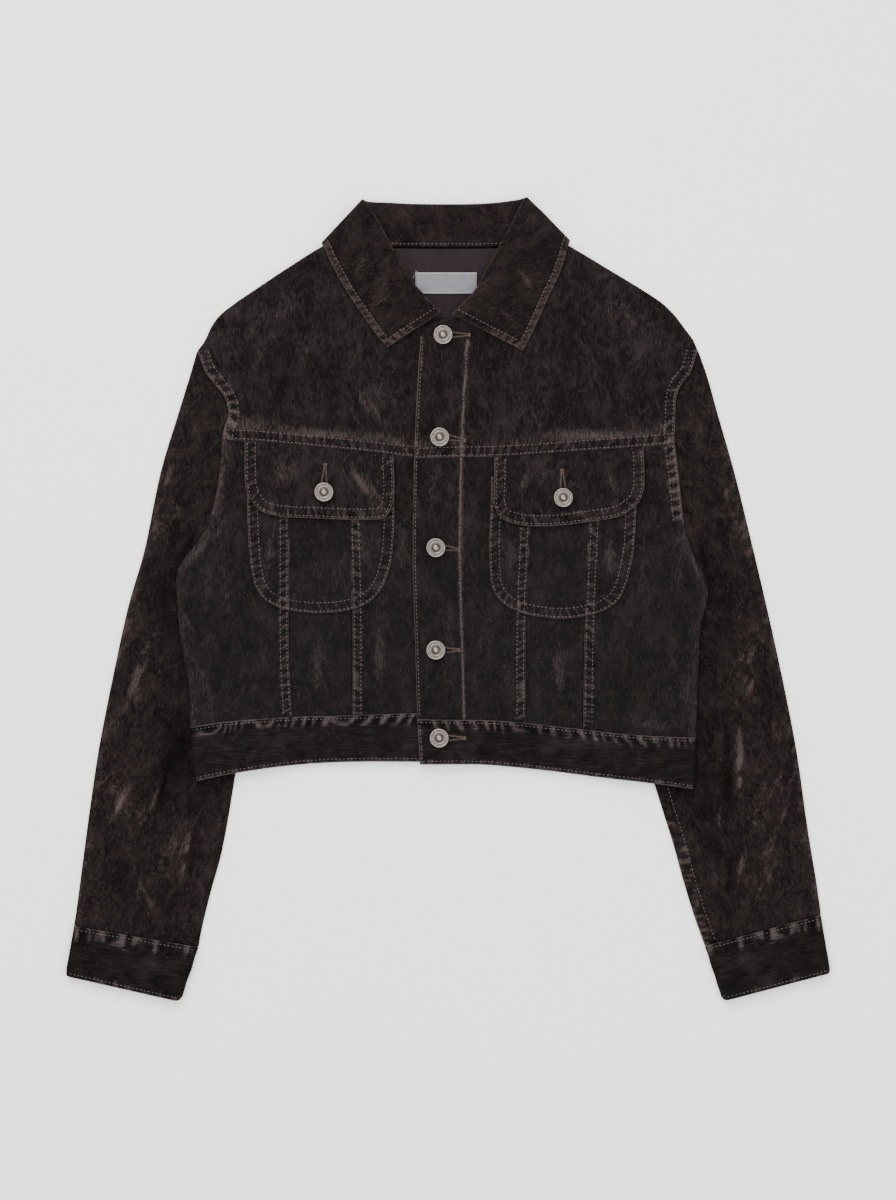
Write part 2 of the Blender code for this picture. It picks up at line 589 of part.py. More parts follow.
def even_grid(bottom, top, left, right, columns, count, end=(0.0,)):
    """A grid with evenly spaced columns."""
    columns_low = at(bottom, np.linspace(0.0, along(bottom)[-1], columns))
    columns_high = at(top, np.linspace(0.0, along(top)[-1], columns))
    return grid(columns_low, columns_high, left, right, (0.0,), count, end)


def pulled_in(plan, left=SEAM_INSET, right=SEAM_INSET, bottom=SEAM_INSET, top=SEAM_INSET):
    """The same grid with each border moved inwards, square to itself."""
    moved = plan.copy()
    for border, inner, amount in (
        (np.s_[0], np.s_[1], left),
        (np.s_[-1], np.s_[-2], right),
        (np.s_[:, 0], np.s_[:, 1], bottom),
        (np.s_[:, -1], np.s_[:, -2], top),
    ):
        moved[border] += inward_normals(plan[border], plan[inner]) * amount
    return moved


def inward_normals(line, target):
    """Unit vectors square to a line of points, on the side where the target is."""
    run = np.gradient(line, axis=0)
    normal = np.stack([-run[:, 1], run[:, 0]], -1)
    normal /= np.maximum(np.linalg.norm(normal, axis=1), 1e-9)[:, None]
    wrong_way = np.sum(normal * (target - line), 1) < 0.0
    return normal * np.where(wrong_way, -1.0, 1.0)[:, None]


# ---- objects ----


def finish(name):
    """The Principled material of one finish."""
    if name in bpy.data.materials:
        return bpy.data.materials[name]
    colour, roughness, metallic = FINISHES[name]
    material = bpy.data.materials.new(name)
    material.use_nodes = True
    shader = material.node_tree.nodes["Principled BSDF"]
    shader.inputs["Base Color"].default_value = (*colour, 1.0)
    shader.inputs["Roughness"].default_value = roughness
    shader.inputs["Metallic"].default_value = metallic
    material.diffuse_color = (*colour, 1.0)
    return material


def add_mesh(name, points, faces, material, collection):
    """A smooth-shaded mesh object from points in millimetres."""
    mesh = bpy.data.meshes.new(name)
    mesh.from_pydata([tuple(point * MM) for point in points], [], faces)
    mesh.update()
    mesh.shade_smooth()
    mesh.materials.append(finish(material))
    piece = bpy.data.objects.new(name, mesh)
    collection.objects.link(piece)
    return piece


def grid_faces(columns, rows, closed=False):
    """Quads of a grid of points stored column by column."""
    faces = []
    for i in range(columns if closed else columns - 1):
        nearby = (i + 1) % columns
        for j in range(rows - 1):
            faces.append((i * rows + j, nearby * rows + j, nearby * rows + j + 1, i * rows + j + 1))
    return faces


def thicken(piece, thickness, offset):
    """Solidify with a thickness for each point."""
    largest = float(np.max(thickness))
    group = piece.vertex_groups.new(name="thickness")
    for index, value in enumerate(np.ravel(thickness)):
        group.add([index], float(value) / largest, "REPLACE")
    shell = piece.modifiers.new("Cloth", "SOLIDIFY")
    shell.thickness = largest * MM
    shell.offset = offset
    shell.vertex_group = group.name
    return shell


def sheet(name, plan, height, thickness, material, collection):
    """A cloth panel: its underside at height over the plan, its thickness upwards."""
    columns, rows = plan.shape[:2]
    points = np.concatenate([plan, height[..., None]], -1).reshape(-1, 3)
    faces = grid_faces(columns, rows)
    first = [plan[0, 0], plan[1, 0], plan[1, 1]]
    turn = np.cross(first[1] - first[0], first[2] - first[0])
    if turn < 0.0:
        faces = [face[::-1] for face in faces]
    piece = add_mesh(name, points, faces, material, collection)
    thicken(piece, np.broadcast_to(thickness, height.shape), 1.0)
    return piece


# ---- the body ----


def set_in(curve, amount):
    """A dense curve moved square to itself, towards the middle of the body."""
    return curve + inward_normals(curve, np.array([0.0, 80.0])) * amount


def back_side(side):
    """The back panel's side seam and armhole, from the waist up to the shoulder."""
    lines = OUTLINES[side["name"]]
    hidden = set_in(lines["armhole_hidden"], 0.8)
    hidden = hidden[hidden[:, 1] < lines["shoulder"][0, 1] - ARMHOLE_STOP]
    seam = set_in(upright(lines["side"], side["waist"][0][1], hidden[0, 1] - 6.0), BACK_INSET)
    return np.vstack([seam, hidden[4:]])


def add_back(collection):
    """The back panel, whose top follows both shoulders and the neck."""
    left, right = (back_side(side) for side in SIDES)
    columns = 9
    bottom = across(BACK["waist"], left[0][0], right[0][0])
    shoulders = []
    for side, edge in ((RIGHT, left), (LEFT, right)):
        line = set_in(OUTLINES[side["name"]]["shoulder"], BACK_INSET)
        line[0] = edge[-1]
        shoulders.append(at(line, np.linspace(0.0, along(line)[-1] - NECK_CORNER, columns)))
    neck = BACK["neck"].copy()
    neck[0] = shoulders[0][-1]
    neck[-1] = shoulders[1][-1]
    across_neck = at(neck, np.linspace(0.0, along(neck)[-1], columns))
    top = np.vstack([shoulders[0], across_neck[1:-1], shoulders[1][::-1]])
    share = along(bottom)[-1] * np.linspace(0.0, 1.0, len(top))
    plan = grid(at(bottom, share), top, left, right, (0.0,), 20, (0.0,))
    plan = pulled_in(plan, left=0.0, right=0.0, top=0.8)
    height = body_floor(plan[..., 0], plan[..., 1])
    sheet("back_panel", plan, height, CLOTH, "velvet", collection)


def add_back_waistband(collection):
    """The back's hem band, behind the front bands."""
    left = upright(OUTLINES["right"]["side"], BACK_HEM[0][1], BACK_WAIST[0][1])
    right = upright(OUTLINES["left"]["side"], BACK_HEM[-1][1], BACK_WAIST[-1][1])
    left = left + np.array([BACK_INSET, 0.0])
    right = right - np.array([BACK_INSET, 0.0])
    bottom = across(BACK["hem"], left[0][0], right[0][0])
    top = across(BACK["waist"], left[-1][0], right[-1][0])
    plan = even_grid(bottom, top, left, right, 30, 2)
    plan = pulled_in(plan)
    height = body_floor(plan[..., 0], plan[..., 1])
    sheet("back_waistband", plan, height, DOUBLE, "velvet", collection)


def add_lining(collection):
    """The lining at the inside back neck, as much of it as shows between the wings."""
    top = spline(LINING_TOP)
    bottom = spline(LINING_BOTTOM)
    left, right = (spline(points) for points in LINING_SIDES)
    plan = even_grid(bottom, top, left, right, 11, 7)
    height = body_floor(plan[..., 0], plan[..., 1]) + CLOTH + LAYER_GAP
    sheet("neck_lining", plan, height, SATIN, "satin", collection)


def add_label(collection):
    """The woven label on the lining."""
    x = np.linspace(*LABEL["x"], 7)
    y = np.linspace(*LABEL["y"], 4)
    plan = np.stack(np.meshgrid(x, y, indexing="ij"), -1)
    height = body_floor(plan[..., 0], plan[..., 1]) + CLOTH + LAYER_GAP + SATIN + LABEL_GAP
    sheet("neck_label", plan, height, SATIN, "woven", collection)


# ---- the fronts ----


def yoke_border(by_shoulder, by_neck):
    """Points of the yoke's top or bottom: a stretch at the shoulder and one at the neck."""
    outer = marks(along(by_shoulder)[-1], (0.0, CURL), 10, (0.0,))
    inner = np.linspace(0.0, along(by_neck)[-1], 8)
    return np.vstack([at(by_shoulder, outer), at(by_neck, inner)[1:]])


def add_yoke(side, collection):
    """The front from shoulder and neck down to the yoke seam, with its turned-in lower edge."""
    lines = OUTLINES[side["name"]]
    shoulder, neck, seam = lines["shoulder"], lines["neck"], lines["yoke_seam"]
    parted = side["sign"] * YOKE_COLUMN
    top = yoke_border(shoulder, neck)
    bottom = yoke_border(across(seam, seam[0][0], parted), across(seam, parted, seam[-1][0]))
    outer = lines["armhole"]
    inner = upright(lines["front_edge"], seam[-1][1], neck[-1][1])
    plan = grid(bottom, top, outer, inner, (0.0, YOKE_BAND, YOKE_BAND + STEP), 7, (CURL, 0.0))
    plan = pulled_in(plan, left=ARMHOLE_INSET, right=0.0)
    x, y = plan[..., 0], plan[..., 1]
    level = front_inside(x, y, side)
    folded = np.minimum(away(shoulder, x, y), np.where(y < ARMHOLE_FOLD, away(outer, x, y), np.inf))
    height = turned_down(level, edge_level(x, y), folded)
    thickness = CLOTH + shown(x, side) * raised(away(seam, x, y), YOKE_BAND, YOKE_RAISE)
    sheet("front_yoke_" + side["name"], plan, height, thickness, "velvet", collection)


def shown(x, side):
    """0 where the right front is hidden beneath the left one."""
    if side is LEFT:
        return np.ones_like(x)
    return between(HIDDEN_RIGHT, x)


def panel_corners(side, riser):
    """A lap seam or edge between the waist seam and the yoke seam."""
    lines = OUTLINES[side["name"]]
    low = meet(lines["waist"], riser)
    high = meet(lines["yoke_seam"], riser)
    return low, high


def add_panel(name, side, outer, inner, start, columns, end, rows, collection):
    """A front panel between the waist seam and the yoke seam.

    start and end are distances from the outer and from the inner border that get columns of
    their own.
    """
    lines = OUTLINES[side["name"]]
    outer_low, outer_high = panel_corners(side, outer)
    inner_low, inner_high = panel_corners(side, inner)
    bottom = across(lines["waist"], outer_low[0], inner_low[0])
    top = across(lines["yoke_seam"], outer_high[0], inner_high[0])
    plan = grid(
        at(bottom, marks(along(bottom)[-1], start, columns, end)),
        at(top, marks(along(top)[-1], start, columns, end)),
        upright(outer, outer_low[1], outer_high[1]),
        upright(inner, inner_low[1], inner_high[1]),
        (0.0,), rows, (0.0,),
    )
    plan = pulled_in(plan)
    x, y = plan[..., 0], plan[..., 1]
    height = front_inside(x, y, side)
    if outer is lines["side"]:
        height = turned_down(height, edge_level(x, y), away(outer, x, y))
    thickness = CLOTH + lap_raise(x, y, side, name)
    sheet(name + "_" + side["name"], plan, height, thickness, "velvet", collection)


def lap_raise(x, y, side, name):
    """The lapped seam's raised edge, on the panel that lies over its neighbour."""
    lines = OUTLINES[side["name"]]
    clear = smooth(away(lines["yoke_seam"], x, y) / LAP_FADE)
    if name == "front_side":
        return clear * raised(away(lines["outer_lap"], x, y), LAP_WIDTH, LAP_RAISE)
    if name == "front_center":
        lap = clear * raised(away(lines["inner_lap"], x, y), LAP_WIDTH, LAP_RAISE)
        return lap + placket(x, y, side)
    return np.zeros_like(x)


def placket(x, y, side):
    """The thicker facing along the left front's edge."""
    if side is RIGHT:
        return np.zeros_like(x)
    return raised(away(OUTLINES["left"]["front_edge"], x, y), PLACKET_WIDTH, PLACKET_RAISE)


def add_panels(side, collection):
    """The three panels of one front, each lapped seam's band with columns of its own."""
    lines = OUTLINES[side["name"]]
    edge, outer, inner = lines["side"], lines["outer_lap"], lines["inner_lap"]
    lap_end = (LAP_WIDTH + STEP, LAP_WIDTH, 0.0)
    lap_start = lap_end[::-1]
    add_panel("front_side", side, edge, outer, (0.0, CURL), 5, lap_end, 18, collection)
    add_panel("front_middle", side, outer, inner, (0.0,), 3, (0.0,), 14, collection)
    if side is LEFT:
        columns, end = 3, (PLACKET_WIDTH + STEP, PLACKET_WIDTH, PLACKET_WIDTH / 2.0, 0.0)
    else:
        columns, end = 6, (0.0,)
    add_panel(
        "front_center", side, inner, lines["front_edge"], lap_start, columns, end, 12, collection,
    )


def add_waistband(side, collection):
    """A front's hem band."""
    lines = OUTLINES[side["name"]]
    low = meet(lines["hem"], lines["side"])
    high = meet(lines["waist"], lines["side"])
    front = lines["front_edge"]
    bottom = across(lines["hem"], side["hem"][0][0], lines["hem"][-1][0])
    top = across(lines["waist"], high[0], lines["waist"][-1][0])
    plan = grid(
        at(bottom, marks(along(bottom)[-1], (0.0, CURL), 17, (0.0,))),
        at(top, marks(along(top)[-1], (0.0, CURL), 17, (0.0,))),
        upright(lines["side"], low[1], high[1]),
        upright(front, lines["hem"][-1][1], lines["waist"][-1][1]),
        (0.0, DOUBLE), 2, (DOUBLE, 0.0),
    )
    plan = pulled_in(plan)
    x, y = plan[..., 0], plan[..., 1]
    level = band_inside(x, y, side)
    height = turned_down(level, body_floor(x, y) + FOLD_EDGE, away(lines["side"], x, y))
    sheet("waistband_" + side["name"], plan, height, DOUBLE, "velvet", collection)


# ---- pockets and flaps ----


def laps(side):
    """The two lapped seams of a front, each with the way its raised band lies in X."""
    lines = OUTLINES[side["name"]]
    return (lines["outer_lap"], side["sign"]), (lines["inner_lap"], -side["sign"])


def lap_ridges(x, y, side):
    """How far the lapped seams push up the cloth that lies on them."""
    ridge = np.zeros_like(x)
    for seam, towards in laps(side):
        into_band = (x - x_at(seam, y)) * towards
        near, far, near_crest, far_crest = RIDGE
        rise = between((near, near_crest), into_band) * between((far, far_crest), into_band)
        ridge = np.maximum(ridge, rise)
    return LAP_RAISE * ridge


def ridge_marks(curve, y, side):
    """Distances along a curve at the foot and the crest of each ridge that crosses it."""
    spots = [x_at(seam, y) + towards * offset for seam, towards in laps(side) for offset in RIDGE]
    order = np.argsort(curve[:, 0])
    return np.sort(np.interp(spots, curve[order, 0], along(curve)[order]))


def matched_marks(low, low_length, high, high_length, widest):
    """Both lists of distances with even ones added, alike, so that no span is over widest."""
    low_ends = np.concatenate([[0.0], low, [low_length]])
    high_ends = np.concatenate([[0.0], high, [high_length]])
    filled = [[0.0], [0.0]]
    for i in range(len(low_ends) - 1):
        spans = ((low_ends[i], low_ends[i + 1]), (high_ends[i], high_ends[i + 1]))
        steps = max(1, math.ceil(max(end - start for start, end in spans) / widest))
        for made, (start, end) in zip(filled, spans):
            made.extend(np.linspace(start, end, steps + 1)[1:])
    return np.array(filled[0]), np.array(filled[1])


def add_pocket(side, collection):
    """A U-shaped patch pocket over the lapped seams, its top hidden by the flap."""
    lines = OUTLINES[side["name"]]
    left, right, bottom = lines["pocket_left"], lines["pocket_right"], lines["pocket_bottom"]
    top = spline((left[-1], right[-1]), 40)
    low, high = matched_marks(
        ridge_marks(bottom, float(np.mean(bottom[:, 1])), side), along(bottom)[-1],
        ridge_marks(top, POCKET_TOP, side), along(top)[-1], WIDEST_SPAN,
    )
    plan = grid(at(bottom, low), at(top, high), left, right, (0.0,), 7, (0.0,), fade=6.0)
    x, y = plan[..., 0], plan[..., 1]
    height = front_inside(x, y, side) + CLOTH + LAYER_GAP + lap_ridges(x, y, side)
    sheet("pocket_" + side["name"], plan, height, CLOTH, "velvet", collection)


def flap_inside(x, y, side):
    """A flap's underside: over the pocket, and tucked down to the yoke seam at its top."""
    seam = away(OUTLINES[side["name"]]["yoke_seam"], x, y)
    rise = FLAP_TUCKED + (FLAP_OVER_POCKET - FLAP_TUCKED) * smooth(seam / FLAP_TUCK)
    return front_inside(x, y, side) + CLOTH + rise


def add_flap(side, collection):
    """A pocket flap, its top edge in the yoke seam."""
    lines = OUTLINES[side["name"]]
    left, right, bottom = lines["flap_left"], lines["flap_right"], lines["flap_bottom"]
    top = across(lines["yoke_seam"], left[-1][0], right[-1][0])
    left = np.vstack([left[:-1], top[:1]])
    right = np.vstack([right[:-1], top[-1:]])
    plan = even_grid(bottom, top, left, right, 15, 2, (FLAP_TUCK, FLAP_TUCK / 2.0, 0.0))
    plan = pulled_in(plan, left=0.0, right=0.0, bottom=0.0, top=0.3)
    x, y = plan[..., 0], plan[..., 1]
    height = flap_inside(x, y, side)
    seam = away(lines["yoke_seam"], x, y)
    thickness = FLAP_EDGE + (DOUBLE - FLAP_EDGE) * smooth(seam / FLAP_TUCK)
    sheet("pocket_flap_" + side["name"], plan, height, thickness, "velvet", collection)


# ---- the sleeves ----


def sleeve_strip(side, outer_inset, inner_inset, columns, narrowest):
    """Cross rows from the sleeve's outer edge to its armhole and inner edge."""
    lines = OUTLINES[side["name"]]
    inner_line = np.vstack([lines["sleeve_fold"][::-1][:-1], lines["armhole_hidden"]])
    table = np.array(side["sleeve_rows"])
    numbers = np.linspace(0.0, len(table) - 1, 2 * len(table) - 1)
    row_y = [np.interp(numbers, np.arange(len(table)), table[:, k]) for k in (0, 1)]
    outer = np.stack([x_at(lines["sleeve_outer"], row_y[0]), row_y[0]], -1)
    inner = np.stack([x_at(inner_line, row_y[1]), row_y[1]], -1)
    underarm = lines["sleeve_fold"][:, 1].max() + 30.0
    rows = []
    for start, end in zip(outer, inner):
        width = np.linalg.norm(end - start)
        if width < narrowest:
            continue
        if end[1] > underarm:
            tail = SLEEVE_SEAM_INSET
        elif end[1] > underarm - 100.0:
            tail = 1.6 * inner_inset
        else:
            tail = inner_inset
        squeeze = min(1.0, width / 40.0)
        first = outer_inset + np.array([0.0, CURL]) * squeeze
        last = tail + np.array([CURL, 0.0]) * squeeze
        t = marks(width, first, columns - 4, last) / width
        rows.append(start + (end - start) * t[:, None])
    return np.stack(rows, 1)


def add_sleeve_top(side, collection):
    """The upper sleeve, folded down to the surface along both its edges."""
    plan = refined_rows(sleeve_strip(side, 0.0, 0.0, 15, 0.0), SLEEVE_ROWS)
    plan = pulled_in(plan, left=0.0, right=0.0, bottom=SLEEVE_TIP_INSET, top=SEAM_INSET)
    x, y = plan[..., 0], plan[..., 1]
    height = sleeve_inside(x, y, side)
    sheet("sleeve_top_" + side["name"], plan, height, CLOTH, "velvet", collection)


def refined_rows(plan, rows):
    """The strip with evenly spaced rows along its length."""
    middle = plan[plan.shape[0] // 2]
    run = along(middle)
    spots = np.linspace(0.0, run[-1], rows)
    spaced = [[np.interp(spots, run, column[:, axis]) for axis in (0, 1)] for column in plan]
    return np.moveaxis(np.array(spaced), 1, 2)


def add_sleeve_under(side, collection):
    """The under sleeve, flat on the surface inside the upper one's folds."""
    plan = refined_rows(sleeve_strip(side, BACK_INSET, BACK_INSET, 8, UNDER_NARROWEST), 18)
    plan = pulled_in(plan, left=0.0, right=0.0, bottom=0.0, top=SEAM_INSET)
    height = np.zeros(plan.shape[:2])
    sheet("sleeve_under_" + side["name"], plan, height, CLOTH, "velvet", collection)


# ---- cuffs, collar and buttons ----


def ring_section(start, end, thick, wall, flat_points, turn_points):
    """A flattened ring across a cuff, from its outer to its inner end, at mid-wall."""
    radius = (thick - wall) / 2.0
    width = np.linalg.norm(end - start)
    direction = (end - start) / width
    middle = thick / 2.0
    far = width - middle
    half_turn = np.radians(np.linspace(90.0, -90.0, turn_points + 2)[1:-1])
    points = [(t, thick - wall / 2.0) for t in np.linspace(middle, far, flat_points)]
    points += [(far + radius * math.cos(a), middle + radius * math.sin(a)) for a in half_turn]
    points += [(t, wall / 2.0) for t in np.linspace(far, middle, flat_points)]
    points += [(middle - radius * math.cos(a), middle - radius * math.sin(a)) for a in half_turn]
    return np.array([(*(start + direction * t), z) for t, z in points])


def add_cuff(side, collection):
    """A cuff: a closed band, flattened."""
    top_outer, top_inner, low_outer, low_inner = (np.array(point) for point in side["cuff"])
    rows = []
    for share in np.linspace(0.0, 1.0, 4):
        start = top_outer + (low_outer - top_outer) * share
        end = top_inner + (low_inner - top_inner) * share
        rows.append(ring_section(start, end, CUFF_THICK, DOUBLE, 8, 3))
    rings = np.stack(rows, 1)
    columns, count = rings.shape[:2]
    faces = grid_faces(columns, count, closed=True)
    if side is LEFT:
        faces = [face[::-1] for face in faces]
    piece = add_mesh("cuff_" + side["name"], rings.reshape(-1, 3), faces, "velvet", collection)
    thicken(piece, np.full(columns * count, DOUBLE), 0.0)


def collar_section(fold, edge, seam, fold_line):
    """The collar's wall across one station: stand, fold and fall, at mid-wall."""
    to_seam = (seam - fold) / np.linalg.norm(seam - fold)
    to_edge = (edge - fold) / np.linalg.norm(edge - fold)
    inwards = to_seam + to_edge
    inwards /= np.linalg.norm(inwards)
    apart = np.cross(inwards, fold_line)
    apart /= np.linalg.norm(apart)
    middle = fold + inwards * FOLD_RADIUS
    turn = [
        middle + FOLD_RADIUS * (apart * math.sin(angle) - inwards * math.cos(angle))
        for angle in np.radians((90.0, 45.0, 0.0, -45.0, -90.0))
    ]
    stand = [seam + (turn[0] - seam) * share for share in (0.0, 0.45)]
    crown = FALL_CROWN if fold[2] > WING_FOLD else 0.0
    fall = []
    for share in (0.33, 0.67, 1.0):
        point = turn[-1] + (edge - turn[-1]) * share
        point[2] += crown * math.sin(math.pi * share)
        fall.append(point)
    return np.array(stand + turn + fall)


def add_collar(collection):
    """The collar, one wall from the right front end round the neck to the left one."""
    stations = spline(np.reshape(COLLAR_STATIONS, (-1, 9)), STATION_STEPS)
    fold_lines = np.gradient(stations[:, :3], axis=0)
    wall = np.array(
        [
            collar_section(row[:3], row[3:6], row[6:], fold_line)
            for row, fold_line in zip(stations, fold_lines)
        ]
    )
    columns, rows = wall.shape[:2]
    piece = add_mesh("collar", wall.reshape(-1, 3), grid_faces(columns, rows), "velvet", collection)
    turning = between(TURN_HEIGHTS, stations[:, 2])
    thickness = np.where((turning > 0.0) & (turning < 1.0), TURN_WALL, DOUBLE)
    thicken(piece, np.repeat(thickness, rows), 0.0)


def add_button(name, x, y, level, collection):
    """A turned metal button with its base on the cloth."""
    mesh = bpy.data.meshes.new(name)
    points = [(radius * MM, 0.0, height * MM) for radius, height in BUTTON_PROFILE]
    mesh.from_pydata(points, [(i, i + 1) for i in range(len(points) - 1)], [])
    mesh.materials.append(finish("metal"))
    piece = bpy.data.objects.new(name, mesh)
    piece.location = (x * MM, y * MM, level * MM)
    turned = piece.modifiers.new("Turned", "SCREW")
    turned.steps = BUTTON_SIDES
    turned.render_steps = BUTTON_SIDES
    turned.use_merge_vertices = True
    turned.merge_threshold = 0.00005
    collection.objects.link(piece)


def under_button(x, y):
    """The middle and the rim of the spot a button stands on."""
    angles = np.linspace(0.0, 2.0 * math.pi, 12, endpoint=False)
    ring_x = np.concatenate([[x], x + BUTTON_BASE * np.cos(angles)])
    ring_y = np.concatenate([[y], y + BUTTON_BASE * np.sin(angles)])
    return ring_x, ring_y


def front_outside(x, y):
    """The outer face of the left front by its edge."""
    panel = front_inside(x, y, LEFT) + CLOTH + PLACKET_RAISE
    band = band_inside(x, y, LEFT) + DOUBLE
    on_yoke_band = away(OUTLINES["left"]["yoke_seam"], x, y) < YOKE_BAND + STEP
    level = np.where(y < y_at(OUTLINES["left"]["waist"], x), band, panel)
    return level + np.where(on_yoke_band, YOKE_RAISE, 0.0)


def add_buttons(collection):
    """The front buttons from top to bottom, and one on each flap."""
    for number, (x, y) in enumerate(BUTTONS, 1):
        level = float(np.max(front_outside(*under_button(x, y))))
        add_button(f"button_{number}", x, y, level, collection)
    for side in SIDES:
        x, y = side["flap_button"]
        level = float(np.max(flap_inside(*under_button(x, y), side))) + DOUBLE
        add_button("flap_button_" + side["name"], x, y, level, collection)


def build():
    """The whole jacket in a collection of its own."""
    for old in list(bpy.data.objects):
        bpy.data.objects.remove(old)
    jacket = bpy.data.collections.new("velvet_jacket")
    bpy.context.scene.collection.children.link(jacket)
    add_back(jacket)
    add_back_waistband(jacket)
    add_lining(jacket)
    add_label(jacket)
    for side in SIDES:
        add_yoke(side, jacket)
        add_panels(side, jacket)
        add_waistband(side, jacket)
        add_pocket(side, jacket)
        add_flap(side, jacket)
        add_sleeve_top(side, jacket)
        add_sleeve_under(side, jacket)
        add_cuff(side, jacket)
    add_collar(jacket)
    add_buttons(jacket)


build()
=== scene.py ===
"""Cropped velvet jacket, buttoned and laid flat: cloth, stitching, buttons and stage.

The frame is the jacket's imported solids. Every cloth solid is replaced by a finer shell on the same
form, made from the same outlines, with the seams, puckers and creases of worn velvet. Tables are
in millimetres in the jacket's plan: X towards the wearer's left, Y from hem to collar, Z up from
the surface it lies on.
"""

import math

import bpy
import numpy as np
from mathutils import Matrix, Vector
from mathutils.bvhtree import BVHTree


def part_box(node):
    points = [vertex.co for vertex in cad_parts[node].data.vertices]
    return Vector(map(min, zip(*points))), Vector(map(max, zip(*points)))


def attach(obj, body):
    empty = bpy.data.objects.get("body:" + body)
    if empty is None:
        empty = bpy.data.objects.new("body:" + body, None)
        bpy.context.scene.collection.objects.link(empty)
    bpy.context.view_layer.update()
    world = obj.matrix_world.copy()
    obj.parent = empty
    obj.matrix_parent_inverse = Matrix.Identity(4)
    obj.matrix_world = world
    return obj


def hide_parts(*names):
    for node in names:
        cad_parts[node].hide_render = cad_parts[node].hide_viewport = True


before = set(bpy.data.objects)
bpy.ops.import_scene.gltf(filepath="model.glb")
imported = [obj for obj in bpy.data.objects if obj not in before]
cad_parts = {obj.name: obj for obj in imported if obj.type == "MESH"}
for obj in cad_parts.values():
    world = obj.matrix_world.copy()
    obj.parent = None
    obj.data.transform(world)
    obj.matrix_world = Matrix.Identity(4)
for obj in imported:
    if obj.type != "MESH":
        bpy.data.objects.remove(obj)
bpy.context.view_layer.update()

bl_info = {
    "name": "Velvet jacket, laid flat",
    "version": (1, 0, 0),
    "blender": (4, 5, 0),
    "location": "3D View > Sidebar > Jacket",
    "description": "Cloth shells, top-stitching, buttons and stage of a cropped velvet jacket",
    "category": "Object",
}

MM = 0.001

# Cloth thicknesses, as in the solids
CLOTH = 1.5
DOUBLE = 2.2
SATIN = 1.0

# Seams and layers
SEAM_INSET = 0.2
LAYER_GAP = 0.5
LABEL_GAP = 0.4
EDGE_AIR = 0.8
BODY_AIR = 2.4
EDGE_RISE = 45.0
CURL = 3.2
BACK_INSET = 4.2
NECK_CORNER = 9.0
ARMHOLE_STOP = 9.0
SLEEVE_SEAM_INSET = 0.7
ARMHOLE_INSET = 0.05
ARMHOLE_FOLD = 168.0
YOKE_COLUMN = 62.0
LAP_WIDTH = 10.0
LAP_RAISE = 1.2
LAP_FADE = 16.0
YOKE_BAND = 9.8
YOKE_RAISE = 1.1
PLACKET_WIDTH = 44.0
PLACKET_RAISE = 0.7
STEP = 0.8
RIDGE = (-1.9, 12.7, -1.1, 11.9)

# Where layers lie over others
OVER_SLEEVE = 3.9
SLEEVE_CLEAR = 3.0
SLEEVE_RAMP = (46.0, 64.0)
OVER_ARMHOLE = 1.9
ARMHOLE_NEAR = (38.0, 12.0)  # distances from the seam where this starts and is full
ARMHOLE_FADE = (206.0, 172.0)  # Y where it starts and is full
OVER_COLLAR = 2.7
COLLAR_RAMP = (240.0, 300.0)
COLLAR_REACH = (116.0, 178.0)
SLEEVE_LOW = 1.9
SLEEVE_PUFF = 2.6
SLEEVE_EDGE = 0.3
FOLD_EDGE = 0.45
FRONT_LAP = CLOTH + 0.7
BAND_LAP = DOUBLE + 0.7
LAP_END = 19.0
LAP_DOWN = 64.0
HIDDEN_RIGHT = (-34.0, -40.0)  # X where the right front goes out of sight
UNDER_LEFT = (-27.0, -38.0)  # X where it is pressed flat
INTO_LEFT = (300.0, 0.0)  # a point on the left front's side of its edge
INTO_BODY = (0.0, 80.0)  # a point inside the back
COOL_FADE = (130.0, 20.0)  # Y where the lower fronts turn cooler

# Pockets, flaps, sleeves, cuffs
POCKET_TOP = 111.0
FLAP_OVER_POCKET = 3.6
FLAP_TUCKED = 0.4
FLAP_TUCK = 14.0
FLAP_EDGE = 1.2
SLEEVE_TIP_INSET = 0.3
UNDER_NARROWEST = 18.0
CUFF_THICK = 7.0
CUFF_CORNER = 5.0  # radius of the cuffs' lower corners
CUFF_FLAT_POINTS = 66  # across one flat side of a cuff
CUFF_TURN_POINTS = 9  # round one of its folds
CUFF_REACH = 0.65  # how far a cuff closes up to its sleeve

# Marks of the rows and columns by an edge, so that it comes out round
EDGE = (0.0, 0.12, 0.4, 0.8, 1.4)
SOFT_EDGE = (0.0, 0.15, 0.45, 0.95, 1.6)

# Top-stitching: distance of each row from its edge
YOKE_ROWS = (2.0, 9.2)
LAP_ROWS = (2.2, 8.0)
POCKET_ROWS = (2.0, 9.4)
FLAP_ROWS = (2.6, 9.8)
ARMHOLE_ROWS = (2.2, 9.0)
WAIST_ROW = 3.0
HEM_ROW = 3.0
FRONT_ROW = 2.6
FACING_ROW = 42.6
CUFF_ROWS = (2.4, 3.0)
COLLAR_ROW = 6.4
STAND_ROW = 2.6
SLEEVE_ROW = 10.5
LAP_ROW_SPAN = (-104.0, 127.0)  # Y where these rows start and end
SIDE_ROW_SPAN = (71.0, 139.0)
SLEEVE_ROW_SPAN = (-310.0, -168.0)

